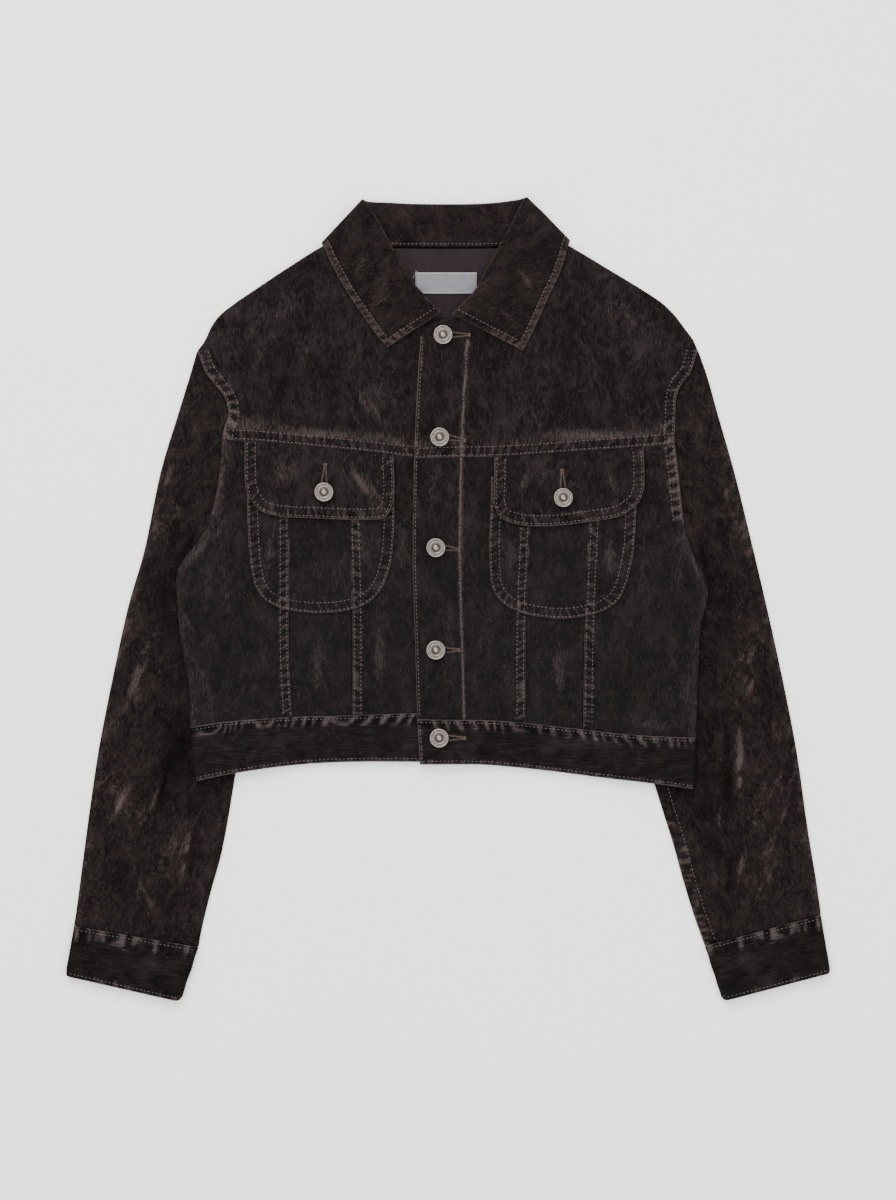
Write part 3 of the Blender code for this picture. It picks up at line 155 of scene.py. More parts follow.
# Outlines: x, y. Shoulders and seams run from the side to the centre, sides from the bottom up.
RIGHT = {
    "name": "right",
    "sign": -1,
    "shoulder": (
        (-225, 223.5), (-218, 233.5), (-213, 244.5), (-205.5, 255), (-192, 266), (-176, 277),
        (-143.5, 298.5), (-112, 318), (-97, 324), (-85.5, 327.5),
    ),
    "neck": (
        (-85.5, 327.5), (-81.5, 317), (-73, 302), (-60, 281), (-44.5, 264), (-25, 252.5),
        (-9, 245.5), (2, 241.5), (16.6, 238),
    ),
    "front_edge": ((16.6, -160), (16.6, 238)),
    "armhole": (
        (-203, 143.5), (-201, 154.5), (-197, 167), (-200.5, 182), (-209, 193), (-218, 205),
        (-225, 223.5),
    ),
    "side": (
        (-226.5, -163.5), (-228.5, -145.5), (-231, -121), (-232, -104), (-231.5, -89.5),
        (-233.5, -72.5), (-238, -49), (-241.5, -25), (-243.5, 0), (-243.5, 24), (-238, 36),
        (-228, 48), (-216.5, 66), (-211, 84), (-205.5, 112), (-203, 143.5),
    ),
    "yoke_seam": (
        (-203, 143.5), (-171.5, 142), (-116.5, 137), (-70.5, 132.5), (-32, 128.5), (16.6, 128),
    ),
    "waist": (
        (-231, -114.5), (-194, -109), (-160, -106.5), (-132.5, -105), (-86, -104), (-28.5, -102),
        (16.6, -104),
    ),
    "hem": (
        (-226.5, -163.5), (-208.5, -159.5), (-187, -155.5), (-148, -150), (-111, -147),
        (-79, -146), (-26.5, -146), (16.6, -146),
    ),
    "outer_lap": ((-139, -108), (-142, -54), (-142.3, 25), (-142, 145)),
    "inner_lap": ((-85.8, -108), (-86, -7), (-88, 71), (-89.9, 145)),
    "pocket_left": ((-174, 14), (-177.5, 32), (-180, 70), (-181, POCKET_TOP)),
    "pocket_bottom": (
        (-174, 14), (-166.5, 1.5), (-154, -6.5), (-142, -10), (-114, -12.5), (-87.5, -9.5),
        (-72.5, -4), (-63, 4), (-57, 13),
    ),
    "pocket_right": ((-57, 13), (-51, 31), (-47.8, 60), (-47.8, POCKET_TOP)),
    "flap_left": ((-179.5, 93), (-182, 104), (-182.5, 142.2)),
    "flap_bottom": (
        (-179.5, 93), (-169.5, 80.5), (-154, 75), (-116.5, 72.5), (-70.5, 71.5), (-56, 73.5),
        (-49.5, 84),
    ),
    "flap_right": ((-49.5, 84), (-47.5, 95), (-48.5, 130.3)),
    "flap_button": (-111, 96.5),
    "armhole_hidden": (
        (-242.5, 18), (-236, 27), (-222, 43), (-207, 62.5), (-200, 82), (-196, 112),
        (-194.5, 143.5), (-197, 167), (-200.5, 182), (-209, 193), (-218, 205), (-225, 223.5),
    ),
    "sleeve_fold": (
        (-243.5, 18), (-232, -1), (-212, -20), (-195, -46), (-186.5, -80), (-185, -118),
        (-191.3, -160), (-197.6, -198.5), (-204, -231), (-213, -263), (-221, -296), (-224, -312.5),
    ),
    "sleeve_outer": (
        (-225.5, 223), (-231.8, 201), (-241.7, 169), (-258, 115), (-273, 43), (-286.7, -4),
        (-301, -69), (-313.7, -134), (-321.8, -188), (-329, -242), (-334.4, -283),
        (-336.2, -293.5),
    ),
    "sleeve_rows": (  # y on the outer edge, y on the inner one
        (223, 223.2), (210, 203), (196, 186), (178, 167), (149, 138), (115, 102), (77, 66),
        (39, 36), (10.5, 14), (-20, -8), (-52.5, -34), (-88.5, -70), (-133.5, -114),
        (-171.5, -160), (-211, -200), (-252.5, -245), (-277.5, -288), (-293.5, -312.5),
    ),
    "cuff": ((-336.6, -294.2), (-224, -313.3), (-344, -338.5), (-240.5, -362)),
}
LEFT = {
    "name": "left",
    "sign": 1,
    "shoulder": (
        (225, 224.5), (221, 233.5), (213, 244.5), (205, 255), (194, 266), (178, 277),
        (142.5, 298.5), (109.5, 318), (94, 325.5), (81.5, 329),
    ),
    "neck": (
        (81.5, 329), (77, 317), (67.5, 302), (54.5, 280), (39.5, 262), (22.5, 253.5), (6, 252.5),
        (-8, 251), (-18.5, 245), (-24.5, 236),
    ),
    "front_edge": (
        (-25, -148.5), (-27.5, -107.5), (-29, -54.5), (-30.8, 0), (-31.5, 30), (-31.5, 55.5),
        (-30.2, 128), (-27.6, 188.5), (-24.5, 236),
    ),
    "armhole": (
        (204.5, 140), (204.5, 152), (205, 167), (205.8, 182), (210, 193), (218.5, 204),
        (225, 224.5),
    ),
    "side": (
        (221, -170.5), (223, -154.5), (223.5, -124), (225, -85), (226.5, -49), (228.5, -20),
        (232.5, -8), (234.5, 5), (231, 22), (221, 41), (213, 68), (210, 94), (206.5, 125),
        (204.5, 140),
    ),
    "yoke_seam": (
        (204.5, 140), (173, 137), (110, 132.5), (49, 128.5), (2, 127.6), (-30.2, 126.5),
    ),
    "waist": (
        (223.5, -124), (204, -123.5), (157, -120.5), (121.5, -116.5), (72, -111), (41, -108.5),
        (2, -108), (-27.5, -107.5),
    ),
    "hem": (
        (221, -170.5), (180.5, -165), (137, -160), (94, -154.5), (51, -150), (29, -148.5),
        (-25, -148.5),
    ),
    "outer_lap": ((121.5, -118), (123.3, -14), (127, 66), (130.6, 145)),
    "inner_lap": ((70.5, -118), (71, -14), (74.2, 64), (77.5, 145)),
    "pocket_left": ((38.3, 16), (37, 50), (38.6, 84), (39, POCKET_TOP)),
    "pocket_bottom": (
        (38.3, 16), (43, 4), (53.5, -6.5), (70.5, -13.5), (101, -17.5), (124.5, -15), (142, -9.5),
        (154.5, 0), (162, 15.5),
    ),
    "pocket_right": ((162, 15.5), (167.5, 42), (170, 80), (171.5, POCKET_TOP)),
    "flap_left": ((41, 87), (41.6, 104), (42, 128.2)),
    "flap_bottom": (
        (41, 87), (47, 74), (64.5, 67), (88, 65.5), (126.5, 69.5), (157, 75.5), (171.5, 86),
    ),
    "flap_right": ((171.5, 86), (176.5, 98), (176.5, 137.1)),
    "flap_button": (104, 91.5),
    "armhole_hidden": (
        (233, 4), (226, 20), (213, 40), (205, 68), (202, 94), (198, 125), (199, 146), (204.6, 167),
        (205.8, 182), (210, 193), (218.5, 204), (225, 224.5),
    ),
    "sleeve_fold": (
        (234, 4), (223, -14), (202, -30), (183, -52), (172, -84), (173, -122), (186.8, -168),
        (193, -188), (203, -220), (212, -252.5), (222, -285), (231.3, -311.3),
    ),
    "sleeve_outer": (
        (225.5, 224), (233.6, 201), (242.6, 169), (258, 115), (274, 50), (286.7, -4), (301, -69),
        (313.7, -134), (324.5, -209), (331.7, -252.5), (336.2, -283.5),
    ),
    "sleeve_rows": (  # y on the outer edge, y on the inner one
        (224, 224.2), (208.5, 201), (190.5, 179.5), (169, 158), (143.5, 129), (111, 97), (77, 63),
        (34, 29), (4, 0), (-25.5, -17), (-61.5, -42), (-97.5, -78), (-133.5, -118), (-173, -168),
        (-214.5, -214.5), (-252.5, -262), (-270.5, -294), (-283.5, -311.3),
    ),
    "cuff": ((336.3, -284.3), (231.5, -312.1), (344.8, -336), (248, -361.5)),
}
SIDES = (RIGHT, LEFT)

BACK_NECK = ((-85.5, 323), (-72, 318.4), (-45, 316.6), (-2, 316.2), (40, 316.4),
             (64, 317.6), (79.5, 322))
BACK_WAIST = ((-231, -114.5), (-160, -106.5), (-86, -104.5), (0, -105.5),
              (72, -111), (157, -120.5), (223.5, -124))
BACK_HEM = ((-226.5, -161.5), (-148, -148.5), (-79, -144.5), (0, -145),
            (51, -148.5), (137, -158), (221, -168.5))

LINING_TOP = ((-68, 315.8), (-45, 315.6), (-2, 315.2), (40, 315.6), (62, 315.8))
LINING_SIDES = (((-34, 236), (-60, 262), (-68, 315.8)), ((36, 236), (56, 262), (62, 315.8)))
LINING_BOTTOM = ((-34, 236), (36, 236))
LABEL = {"x": (-29, 26.5), "y": (275, 294)}

# The largest folds of the sleeves: x, y, length, direction in degrees, width, height.
SLEEVE_FOLDS = (
    (-262, 66, 110, 70, 13, 1.5), (-268, 10, 120, 62, 12, 2), (-252, -66, 120, 128, 12, 2.4),
    (-286, -92, 100, 72, 11, 2), (-250, -146, 120, 55, 12, -1.8), (-286, -188, 110, 122, 12, 2.4),
    (-244, -226, 100, 66, 11, 2.2), (-292, -250, 80, 104, 11, -1.6), (262, 62, 110, 112, 13, 1.4),
    (262, -8, 110, 120, 12, 1.9), (264, -62, 120, 58, 12, 2.4), (292, -96, 90, 108, 11, -1.6),
    (246, -138, 120, 124, 12, 2.4), (286, -180, 110, 62, 12, 2), (240, -222, 90, 116, 11, -1.6),
    (286, -246, 80, 80, 11, 2.2),
)

# Collar stations from the right front end round the back of the neck to the left one.
# Each gives the fold's middle, the outer edge's middle and the neck seam's middle: x, y, z.
COLLAR_STATIONS = (
    # fold                    outer edge                neck seam
    ((-6.5, 258, 9.2), (-52, 227.8, 7.4), (-11.5, 250.5, 5.3)),
    ((-19.5, 271, 9.8), (-61, 237.5, 7), (-24, 255.5, 5.4)),
    ((-32, 285, 10.4), (-73, 254.5, 7.2), (-43, 267, 6)),
    ((-43.5, 304, 10.4), (-86, 273.5, 8.4), (-58, 284, 7)),
    ((-55.5, 325.5, 9.6), (-97, 292.5, 8.9), (-69, 304, 7.3)),
    ((-65, 343, 8.6), (-105.5, 308.5, 8.6), (-76, 317, 7.2)),
    ((-71.5, 354.5, 8.3), (-108.5, 316.5, 8.3), (-79, 322.3, 7.1)),
    ((-74.6, 358.2, 7.3), (-111, 320.2, 6.8), (-80.3, 322.8, 6.5)),
    ((-75.8, 359.3, 5.3), (-111.6, 322.2, 4.6), (-80.8, 323.1, 5.7)),
    ((-74.6, 358.5, 3.4), (-110.4, 321.2, 2.4), (-80.3, 322.9, 4.9)),
    ((-71, 357, 2.4), (-105, 316.5, 1.2), (-78.6, 322, 4.4)),
    ((-53.5, 355.8, 2.4), (-86, 309, 1.1), (-67, 319.4, 4.4)),
    ((-34, 355, 2.4), (-56, 307, 1.1), (-44.5, 317.5, 4.4)),
    ((-2, 354.6, 2.4), (-2, 306.5, 1.1), (-2, 317.2, 4.4)),
    ((29, 355, 2.4), (52, 307, 1.1), (40, 317.5, 4.4)),
    ((49, 356.6, 2.4), (83, 309.5, 1.1), (63.5, 320.4, 4.4)),
    ((66, 359.2, 2.4), (101, 317.8, 1.2), (74.6, 324.4, 4.4)),
    ((69.6, 360.9, 3.4), (107.4, 323.2, 2.4), (76.3, 325.5, 4.9)),
    ((70.8, 361.5, 5.3), (108.6, 324.4, 4.6), (76.8, 325.7, 5.7)),
    ((69.6, 360.2, 7.3), (107.9, 322.4, 6.8), (76.3, 325.3, 6.5)),
    ((66.5, 355, 8.3), (106, 317.7, 8.3), (75.2, 324.2, 7.1)),
    ((59, 339, 8.6), (104, 308.5, 8.6), (72.5, 317, 7.2)),
    ((48, 318, 9.6), (97.5, 290.5, 8.9), (63.5, 303.5, 7)),
    ((37.5, 300, 10.6), (89.5, 274, 8.4), (51, 282, 7.4)),
    ((26.5, 279, 11.2), (82, 257, 7.2), (37, 264.5, 7.3)),
    ((16.5, 268, 11.2), (73, 238, 7), (22, 256.7, 7.7)),
    ((4.5, 256.5, 10.8), (65.5, 224.4, 7), (7.5, 254.8, 7.7)),
)
FOLD_RADIUS = 1.3  # of the collar's fold, at the middle of its wall
COLLAR_ROLL = 2.3  # how far the soft rolled edge stands out
FALL_CROWN = 1.0  # how much the collar's wings bow up between fold and edge
WING_FOLD = 6.0  # a wing's fold is higher than this, the back's is lower
WING_LEVEL = 5.4  # Z that only the wings reach with their edges
FALL_COLUMNS = 40  # columns of the collar's net, counted from its edge, that are its fall
STAND_SHOWN = (68.0, 262.0, 6.3)  # X to each side, least Y, most Z of the stand's stitches
TURN_WALL = 1.0  # the collar's layers there, pressed thin in the tight turn

BUTTONS = ((-4, 238), (-7, 146), (-10.5, 46.5), (-10.5, -45.5), (-7.5, -124.5))

# Marks with the band between two rows of stitches
BAND_MARKS = EDGE + (2.2, 3.2, 4.4, 5.8, 7.2, 8.1, 9, 9.9, 10.8)
HEM_MARKS = EDGE + (2.2, 3, 3.8, 5)
WAIST_MARKS = EDGE + (2.2, 3, 3.8, 5.2, 6.8, 8.4, 10, 11.5)
CUFF_MARKS = EDGE + (2, 2.6, 3.4, 4.6)
COLLAR_MARKS = EDGE + (2.4, 3.6, 4.8, 5.8, 6.4, 7.1, 8.2)
STAND_MARKS = EDGE + (2, 2.6, 3.3, 4.4)

# Relief of the cloth
DRIFT = 0.42  # height of the slow unevenness of the panels
PUCKER_PITCH = 7.0  # usual spacing of the small blocks between rows of stitches
WIDE_PUCKER_PITCH = 12.5  # under the waist seam
GROOVE_DEPTH = 0.3  # of a row of stitches
GROOVE_WIDTH = 0.75
EDGE_WEAR = 1.25  # how far in the pile is rubbed off a piece's edge
THINNEST = 0.12  # half the cloth's thickness at its very edge
BLOCK = 4000  # points worked on at once

# Buttons
BUTTON_RADIUS = 8.6
BUTTON_TOP = 5
BUTTON_TURNS = 144  # points round a button
TICKS = (6, 7.05)
BUTTON_FACE = (  # radius, height over the cloth, polish; from the middle out and round the rim
    (0.05, 5.05, 0.9), (0.6, 5.02, 0.95), (1.2, 4.94, 0.85), (1.8, 4.78, 0.6), (2.3, 4.52, 0.35),
    (2.7, 4.16, 0.2), (3, 3.86, 0.05), (3.3, 3.66, 0), (3.7, 3.58, 0.1), (4.2, 3.6, 0.2),
    (4.6, 3.74, 0.5), (4.85, 4.05, 0.85), (5.1, 4.12, 0.9), (5.4, 4, 0.5), (5.7, 3.8, 0.15),
    (6.05, 3.74, 0.05), (6.3, 3.74, 0.1), (6.55, 3.74, 0.1), (6.8, 3.74, 0.1), (7, 3.76, 0.1),
    (7.2, 3.95, 0.3), (7.4, 4.4, 0.7), (7.7, 4.66, 0.95), (8, 4.68, 1), (8.3, 4.5, 0.8),
    (8.55, 4.1, 0.5), (8.6, 3.7, 0.3), (8.5, 3.2, 0.1), (8.2, 2.75, 0), (6, 2.45, 0),
    (3.4, 2.2, 0), (3.2, 0.3, 0), (0.05, 0.3, 0),
)

# Buttonholes
BUTTONHOLE_START = 6  # from a button's middle
FLAP_HOLE_END = 25
HOLE_PITCH = 0.7  # between the turns of thread along a buttonhole
HOLE_THREAD = 0.6
SLIT_STEPS = 13
# How far each front buttonhole's bar tack lies beside and below its button
BUTTONHOLE_ENDS = ((24, 0), (22.8, 3), (20.8, 1.6), (21.2, 0), (23.2, 0))

# Velvets: tint, length of the pile's streaks in millimetres, strength of the crush strokes
# and of the brushed patches
BODY_VELVET = "Velvet, cotton pile, body"
VELVETS = {
    BODY_VELVET: ((1.04, 1, 1), 9, 0.2, 0.17),
    "Velvet, bands": ((1, 0.97, 1), 20, 0.1, 0.05),
    "Velvet, sleeves": ((1.06, 0.98, 0.96), 6, 0.28, 0.19),
    "Velvet, collar": ((1.1, 1, 0.98), 4, 0.25, 0.12),
}
# Painted shade: near black laid into crease troughs, between pucker blocks, by stitch rows and
# beside the body's side edge
PAINTED_SHADE_COLOUR = "#030202"
COOL_SHADE = "#121213"
SHEEN = 0.06

# Stage
FLOOR_LEVEL = -0.3
FLOOR_HALF = 2.5  # metres
FLOOR_STEPS = 8
CAMERA_PLACE = (0.00045, -0.00045, 6.0)  # metres

# Creases given one by one: x, y, length, direction in degrees, width, height, bend
YOKE_CREASES = {
    "right": (
        (-188, 177, 36, 61, 1.5, 0.9, 1), (-196, 196, 58, 91, 1.3, 0.8, 1.2),
        (-170, 215, 60, 72, 5, 0.7, 3), (-150, 190, 80, 84, 7, -0.6, -4),
        (-128, 222, 70, 78, 6, 0.6, 3), (-104, 185, 80, 92, 7, -0.6, 4),
        (-84, 215, 60, 66, 5, 0.6, 2), (-60, 180, 80, 96, 7, 0.6, -3),
        (-36, 200, 60, 100, 6, -0.5, 2), (-140, 262, 60, 38, 6, 0.6, 2),
        (-180, 244, 46, 48, 5, -0.5, 1),
    ),
    "left": (
        (190, 158, 20, 135, 1.5, 0.9, 0.5), (186, 190, 64, 104, 1.4, 0.9, 1.4),
        (166, 214, 60, 104, 5, 0.7, -3), (148, 186, 80, 96, 7, -0.6, 4),
        (124, 222, 70, 108, 6, 0.6, -3), (100, 182, 80, 88, 7, -0.5, -4),
        (84, 216, 60, 112, 5, 0.6, 2), (62, 178, 70, 92, 7, 0.5, 3), (40, 206, 60, 84, 6, -0.5, 2),
        (140, 260, 60, 142, 6, 0.6, 2), (178, 244, 46, 132, 5, -0.5, 1),
    ),
}
FRONT_CREASES = {
    "right": (
        (-215, 20, 90, 92, 6, 0.7, 4), (-226, 40, 60, 54, 3, 0.8, 1.5),
        (-220, 34, 60, 58, 3, -0.8, 1.5), (-205, 62, 50, 66, 3, 0.7, 1),
        (-232, -22, 40, 118, 2.4, 0.8, 1), (-200, -50, 90, 80, 6, -0.7, 3),
        (-220, -70, 60, 104, 5, 0.7, 3), (-165, -50, 70, 94, 6, 0.6, -3),
        (-116, -60, 70, 86, 7, 0.6, 4), (-100, -40, 60, 98, 6, -0.5, 2),
        (-62, -50, 90, 92, 7, 0.6, 4), (-40, 30, 110, 88, 6, 0.5, 3),
        (-205, 100, 60, 84, 5, 0.5, 2),
    ),
    "left": (
        (208, 20, 90, 88, 6, 0.7, -4), (223, 28, 40, 104, 2.6, 0.9, 1),
        (215, 24, 44, 98, 3, -0.9, 1), (204, 46, 44, 62, 3, 0.7, 1),
        (192, 60, 50, 30, 3.5, -0.6, 1), (196, -50, 90, 98, 6, -0.7, 3),
        (214, -80, 60, 80, 5, 0.7, 3), (160, -60, 80, 88, 6, 0.6, 3),
        (100, -64, 80, 94, 7, 0.6, -4), (52, -60, 90, 90, 7, 0.5, 3), (24, 20, 120, 92, 6, 0.4, 3),
        (198, 100, 60, 96, 5, 0.5, 2),
    ),
}
POCKET_CREASES = {
    "right": (
        (-160, 40, 60, 84, 6, 0.5, 3), (-118, 30, 60, 96, 7, 0.5, 3),
        (-68, 40, 56, 92, 6, 0.5, -3),
    ),
    "left": (
        (56, 36, 60, 88, 6, 0.5, 3), (102, 30, 60, 94, 7, 0.5, -3), (146, 40, 56, 86, 6, 0.5, 3),
    ),
}
FLAP_CREASES = {
    "right": (
        (-150, 110, 34, 70, 5, 0.5, 1), (-80, 106, 40, 125, 5, 0.5, 1),
        (-112, 84, 60, 8, 4, 0.4, 2),
    ),
    "left": (
        (70, 104, 36, 68, 5, 0.5, 1), (146, 108, 40, 112, 5, 0.5, 1), (104, 78, 60, 4, 4, 0.4, 2),
    ),
}
BAND_CREASES = {
    "right": (
        (-190, -134, 50, 6, 3, 0.4, 1), (-130, -130, 60, 2, 3, -0.4, 1),
        (-70, -126, 50, 0, 3, 0.4, 1),
    ),
    "left": (
        (180, -146, 50, 174, 3, 0.4, 1), (120, -138, 60, 177, 3, -0.4, 1),
        (60, -130, 50, 179, 3, 0.4, 1),
    ),
}
SLEEVE_CREASES = {
    "right": (
        (-242, 80, 30, 112, 1.7, 0.9, 2), (-252, 110, 80, 76, 5, 0.5, 4),
        (-232, 52, 70, 62, 4, -0.9, 3), (-265, -31, 26, 4, 1.6, 0.8, 1),
        (-248, -36, 22, 12, 1.6, 0.7, -1), (-276, -60, 90, 72, 4, 0.6, 3),
        (-224, -60, 80, 100, 4, -1, -3), (-262, -176, 46, 71, 2, 1.1, 1.5),
        (-256, -170, 60, 74, 3, -1, 1.5), (-246, -120, 80, 122, 3, -0.8, 4),
        (-296, -186, 60, 62, 2.4, 0.8, -2), (-284, -232, 60, 104, 2.4, 0.8, 2),
        (-236, -236, 80, 78, 3, 0.9, 3), (-228, -232, 80, 80, 3.5, -1, 3),
        (-270, -268, 50, 118, 2.2, 0.7, 2),
    ),
    "left": (
        (250, 96, 90, 104, 4, 0.5, -4), (230, 40, 70, 100, 4, -0.9, 3),
        (273, -72, 64, 94, 5, 0.6, 3), (263, -148, 130, 90, 3, 1.1, 3.5),
        (252, -150, 130, 90, 4.5, -1.2, 3.5), (244, -193, 64, 94, 2, 1, 1.5),
        (237, -190, 60, 94, 3, -0.8, 1.5), (262, -250, 54, 82, 2.8, 1, 2),
        (254, -246, 60, 82, 3, -0.9, 2), (291, -244, 26, 62, 2.4, 0.8, 1),
        (296, -120, 80, 100, 4, 0.5, -3), (284, -160, 50, 58, 2.4, -0.7, 2),
        (300, -200, 44, 70, 2.2, 0.7, 2), (222, -262, 60, 108, 2.6, 0.7, 2),
    ),
}
BACK_CREASES = (
    (-150, 120, 160, 84, 12, 1.1, 8), (-60, 40, 180, 94, 12, 1, 8),
    (40, 130, 170, 88, 12, 1.1, -8), (130, 20, 160, 98, 12, 1, 8), (90, 220, 90, 130, 9, 0.8, 4),
    (-110, 230, 90, 50, 9, 0.8, 4),
)
LINING_CREASES = (
    (-46, 290, 50, 70, 3, 0.35, 2), (40, 292, 50, 112, 3, 0.35, 2), (6, 262, 60, 6, 3.5, 0.3, 2),
)
COLLAR_CREASES = (
    (-78, 300, 40, 60, 3.5, 0.8, 2), (-60, 268, 40, 35, 3.5, 0.7, 2),
    (-92, 322, 30, 70, 3, -0.6, 1), (-40, 250, 34, 30, 3, 0.6, 1), (70, 288, 46, 126, 3.5, 0.8, 2),
    (52, 256, 44, 140, 3.5, 0.7, 2), (88, 318, 30, 110, 3, -0.6, 1),
)

# Worn places: x, y, length, direction in degrees, width, strength
WORN = {
    "right": (
        (-76, 178, 40, 118, 3, 0.55), (-66, 172, 34, 114, 2.4, 0.5),
        (-84, 166, 26, 120, 2.2, 0.45), (-78, 106, 42, 122, 4, 0.6), (-66, 98, 30, 120, 3, 0.5),
        (-150, 120, 30, 60, 7, 0.35), (-140, 112, 26, 80, 5, 0.35), (-120, 150, 60, 2, 4, 0.25),
        (-60, -30, 90, 88, 6, 0.3), (-118, -60, 60, 92, 8, 0.28), (-200, 10, 90, 96, 7, 0.3),
        (-212, -96, 40, 100, 5, 0.35), (-160, 44, 44, 80, 6, 0.3), (-76, 50, 44, 96, 7, 0.35),
        (-98, 22, 40, 84, 7, 0.3), (-40, 60, 60, 80, 5, 0.25), (-170, 250, 80, 36, 12, 0.25),
        (-180, 160, 60, 0, 7, 0.3),
    ),
    "left": (
        (84, 172, 30, 60, 4, 0.25), (120, 148, 70, -2, 4, 0.3), (70, 110, 36, 70, 5, 0.25),
        (150, 104, 30, 110, 5, 0.25), (14, 60, 90, 90, 4, 0.3), (100, -60, 60, 90, 8, 0.25),
        (182, -112, 48, -6, 5, 0.45), (176, 20, 90, 92, 9, 0.3), (198, -60, 80, 84, 7, 0.3),
        (58, 36, 40, 84, 6, 0.3), (146, 36, 44, 96, 7, 0.35), (0, -40, 80, 90, 7, 0.3),
        (-14, 100, 50, 90, 6, 0.25), (170, 250, 80, 144, 12, 0.25),
    ),
}
LABEL_LOOP = (  # x, y, height over the cloth
    (-27.8, 292.6, 0.2), (-28.9, 294, 0.5), (-28.2, 295.2, 0.8), (-27, 294.6, 0.6),
    (-28, 293, 0.3), (-30.2, 291, 0.2), (-31, 288.6, 0.2),
)
SURFACES = {}  # the outer face of every cloth piece, as a net
COLLAR_LINES = {}  # distances on the collar's net from its edge, its seam and its front ends


# ---- curves and distances ----


def smooth(value):
    """0 below 0, 1 above 1 and an even slope between."""
    value = np.clip(value, 0.0, 1.0)
    return value * value * (3.0 - 2.0 * value)


def between(limits, value):
    """0 at the first limit, 1 at the second and an even slope between."""
    return smooth((value - limits[0]) / (limits[1] - limits[0]))


def bell(distance, width):
    """1 at no distance, dying away over this width."""
    return np.exp(-((distance / width) ** 2))


def turned(x, y, degrees):
    """Distances along a direction and square to it."""
    turn = math.radians(degrees)
    run = x * math.cos(turn) + y * math.sin(turn)
    return run, -x * math.sin(turn) + y * math.cos(turn)


def long_bump(run, off, length, width):
    """A soft bump along a line: 1 on its crest, 0 beside it and past its ends."""
    return bell(off, width) * (1.0 - smooth(np.abs(run) / (length / 2.0)))


def spline(points, per_span=10):
    """A smooth dense curve through points (centripetal Catmull-Rom)."""
    points = np.asarray(points, dtype=float)
    if len(points) == 2:
        return points[0] + (points[1] - points[0]) * np.linspace(0.0, 1.0, per_span + 1)[:, None]
    before = 2.0 * points[0] - points[1]
    after = 2.0 * points[-1] - points[-2]
    ends = np.vstack([before, points, after])
    spans = np.linalg.norm(np.diff(ends, axis=0), axis=1)
    knots = np.concatenate([[0.0], np.cumsum(spans**0.5)])
    dense = []
    for i in range(1, len(ends) - 2):
        k0, k1, k2, k3 = knots[i - 1 : i + 3]
        p0, p1, p2, p3 = ends[i - 1 : i + 3]
        t = np.linspace(k1, k2, per_span, endpoint=False)[:, None]
        a1 = (k1 - t) / (k1 - k0) * p0 + (t - k0) / (k1 - k0) * p1
        a2 = (k2 - t) / (k2 - k1) * p1 + (t - k1) / (k2 - k1) * p2
        a3 = (k3 - t) / (k3 - k2) * p2 + (t - k2) / (k3 - k2) * p3
        b1 = (k2 - t) / (k2 - k0) * a1 + (t - k0) / (k2 - k0) * a2
        b2 = (k3 - t) / (k3 - k1) * a2 + (t - k1) / (k3 - k1) * a3
        dense.append((k2 - t) / (k2 - k1) * b1 + (t - k1) / (k2 - k1) * b2)
    return np.vstack(dense + [points[-1:]])


def along(curve):
    """Distance from the start of a dense curve to each of its points."""
    return np.concatenate([[0.0], np.cumsum(np.linalg.norm(np.diff(curve, axis=0), axis=1))])


def at(curve, distances):
    """The points of a dense curve at these distances from its start."""
    run = along(curve)
    return np.stack([np.interp(distances, run, values) for values in curve.T], -1)


def marks(length, start, count, end):
    """Distances: the start marks, count even ones, and the end marks, which count back."""
    middle = np.linspace(start[-1], length - end[0], count + 2)[1:-1]
    return np.concatenate([start, middle, length - np.asarray(end)])


def y_at(curve, x):
    """Y of a curve that is single-valued in x."""
    order = np.argsort(curve[:, 0])
    return np.interp(x, curve[order, 0], curve[order, 1])


def x_at(curve, y):
    """X of a curve that is single-valued in y."""
    order = np.argsort(curve[:, 1])
    return np.interp(y, curve[order, 1], curve[order, 0])


def across(curve, x0, x1, steps=60):
    """The stretch of a mostly level curve from x0 to x1."""
    x = np.linspace(x0, x1, steps)
    return np.stack([x, y_at(curve, x)], -1)


def upright(curve, y0, y1, steps=60):
    """The stretch of a mostly upright curve from y0 to y1."""
    y = np.linspace(y0, y1, steps)
    return np.stack([x_at(curve, y), y], -1)


def meet(level, riser):
    """Where a mostly level curve crosses a mostly upright one."""
    x, y = np.mean(riser, axis=0)
    for _ in range(8):
        y = y_at(level, x)
        x = x_at(riser, y)
    return x, y


def away(curve, x, y):
    """Distance from each point to a dense curve."""
    return nearest(curve, x, y)[0]


# ---- dense outlines ----

OUTLINES = {
    side["name"]: {
        key: spline(points)
        for key, points in side.items()
        if key not in ("name", "sign", "flap_button", "sleeve_rows", "cuff")
    }
    for side in SIDES
}
BACK = {"neck": spline(BACK_NECK), "waist": spline(BACK_WAIST), "hem": spline(BACK_HEM)}


# ---- heights: the underside of each layer over a point of the plan ----


def past_fold(x, y, side):
    """Distance inside the sleeve from its folded inner edge, negative outside it."""
    fold = OUTLINES[side["name"]]["sleeve_fold"]
    inside = (side["sign"] * (x - x_at(fold, y)) > 0.0) & (y < fold[:, 1].max())
    return np.where(inside, 1.0, -1.0) * away(fold, x, y)


def body_floor(x, y):
    """What the body lies on: the surface, the flattened sleeves and the collar's back fall."""
    level = np.zeros_like(x)
    ramp = SLEEVE_RAMP[0] + (SLEEVE_RAMP[1] - SLEEVE_RAMP[0]) * smooth((10.0 - y) / 60.0)
    for side in SIDES:
        depth = past_fold(x, y, side)
        level = np.maximum(level, OVER_SLEEVE * smooth((depth + SLEEVE_CLEAR) / ramp + 1.0))
    return level + OVER_COLLAR * between(COLLAR_RAMP, y) * between(COLLAR_REACH[::-1], np.abs(x))


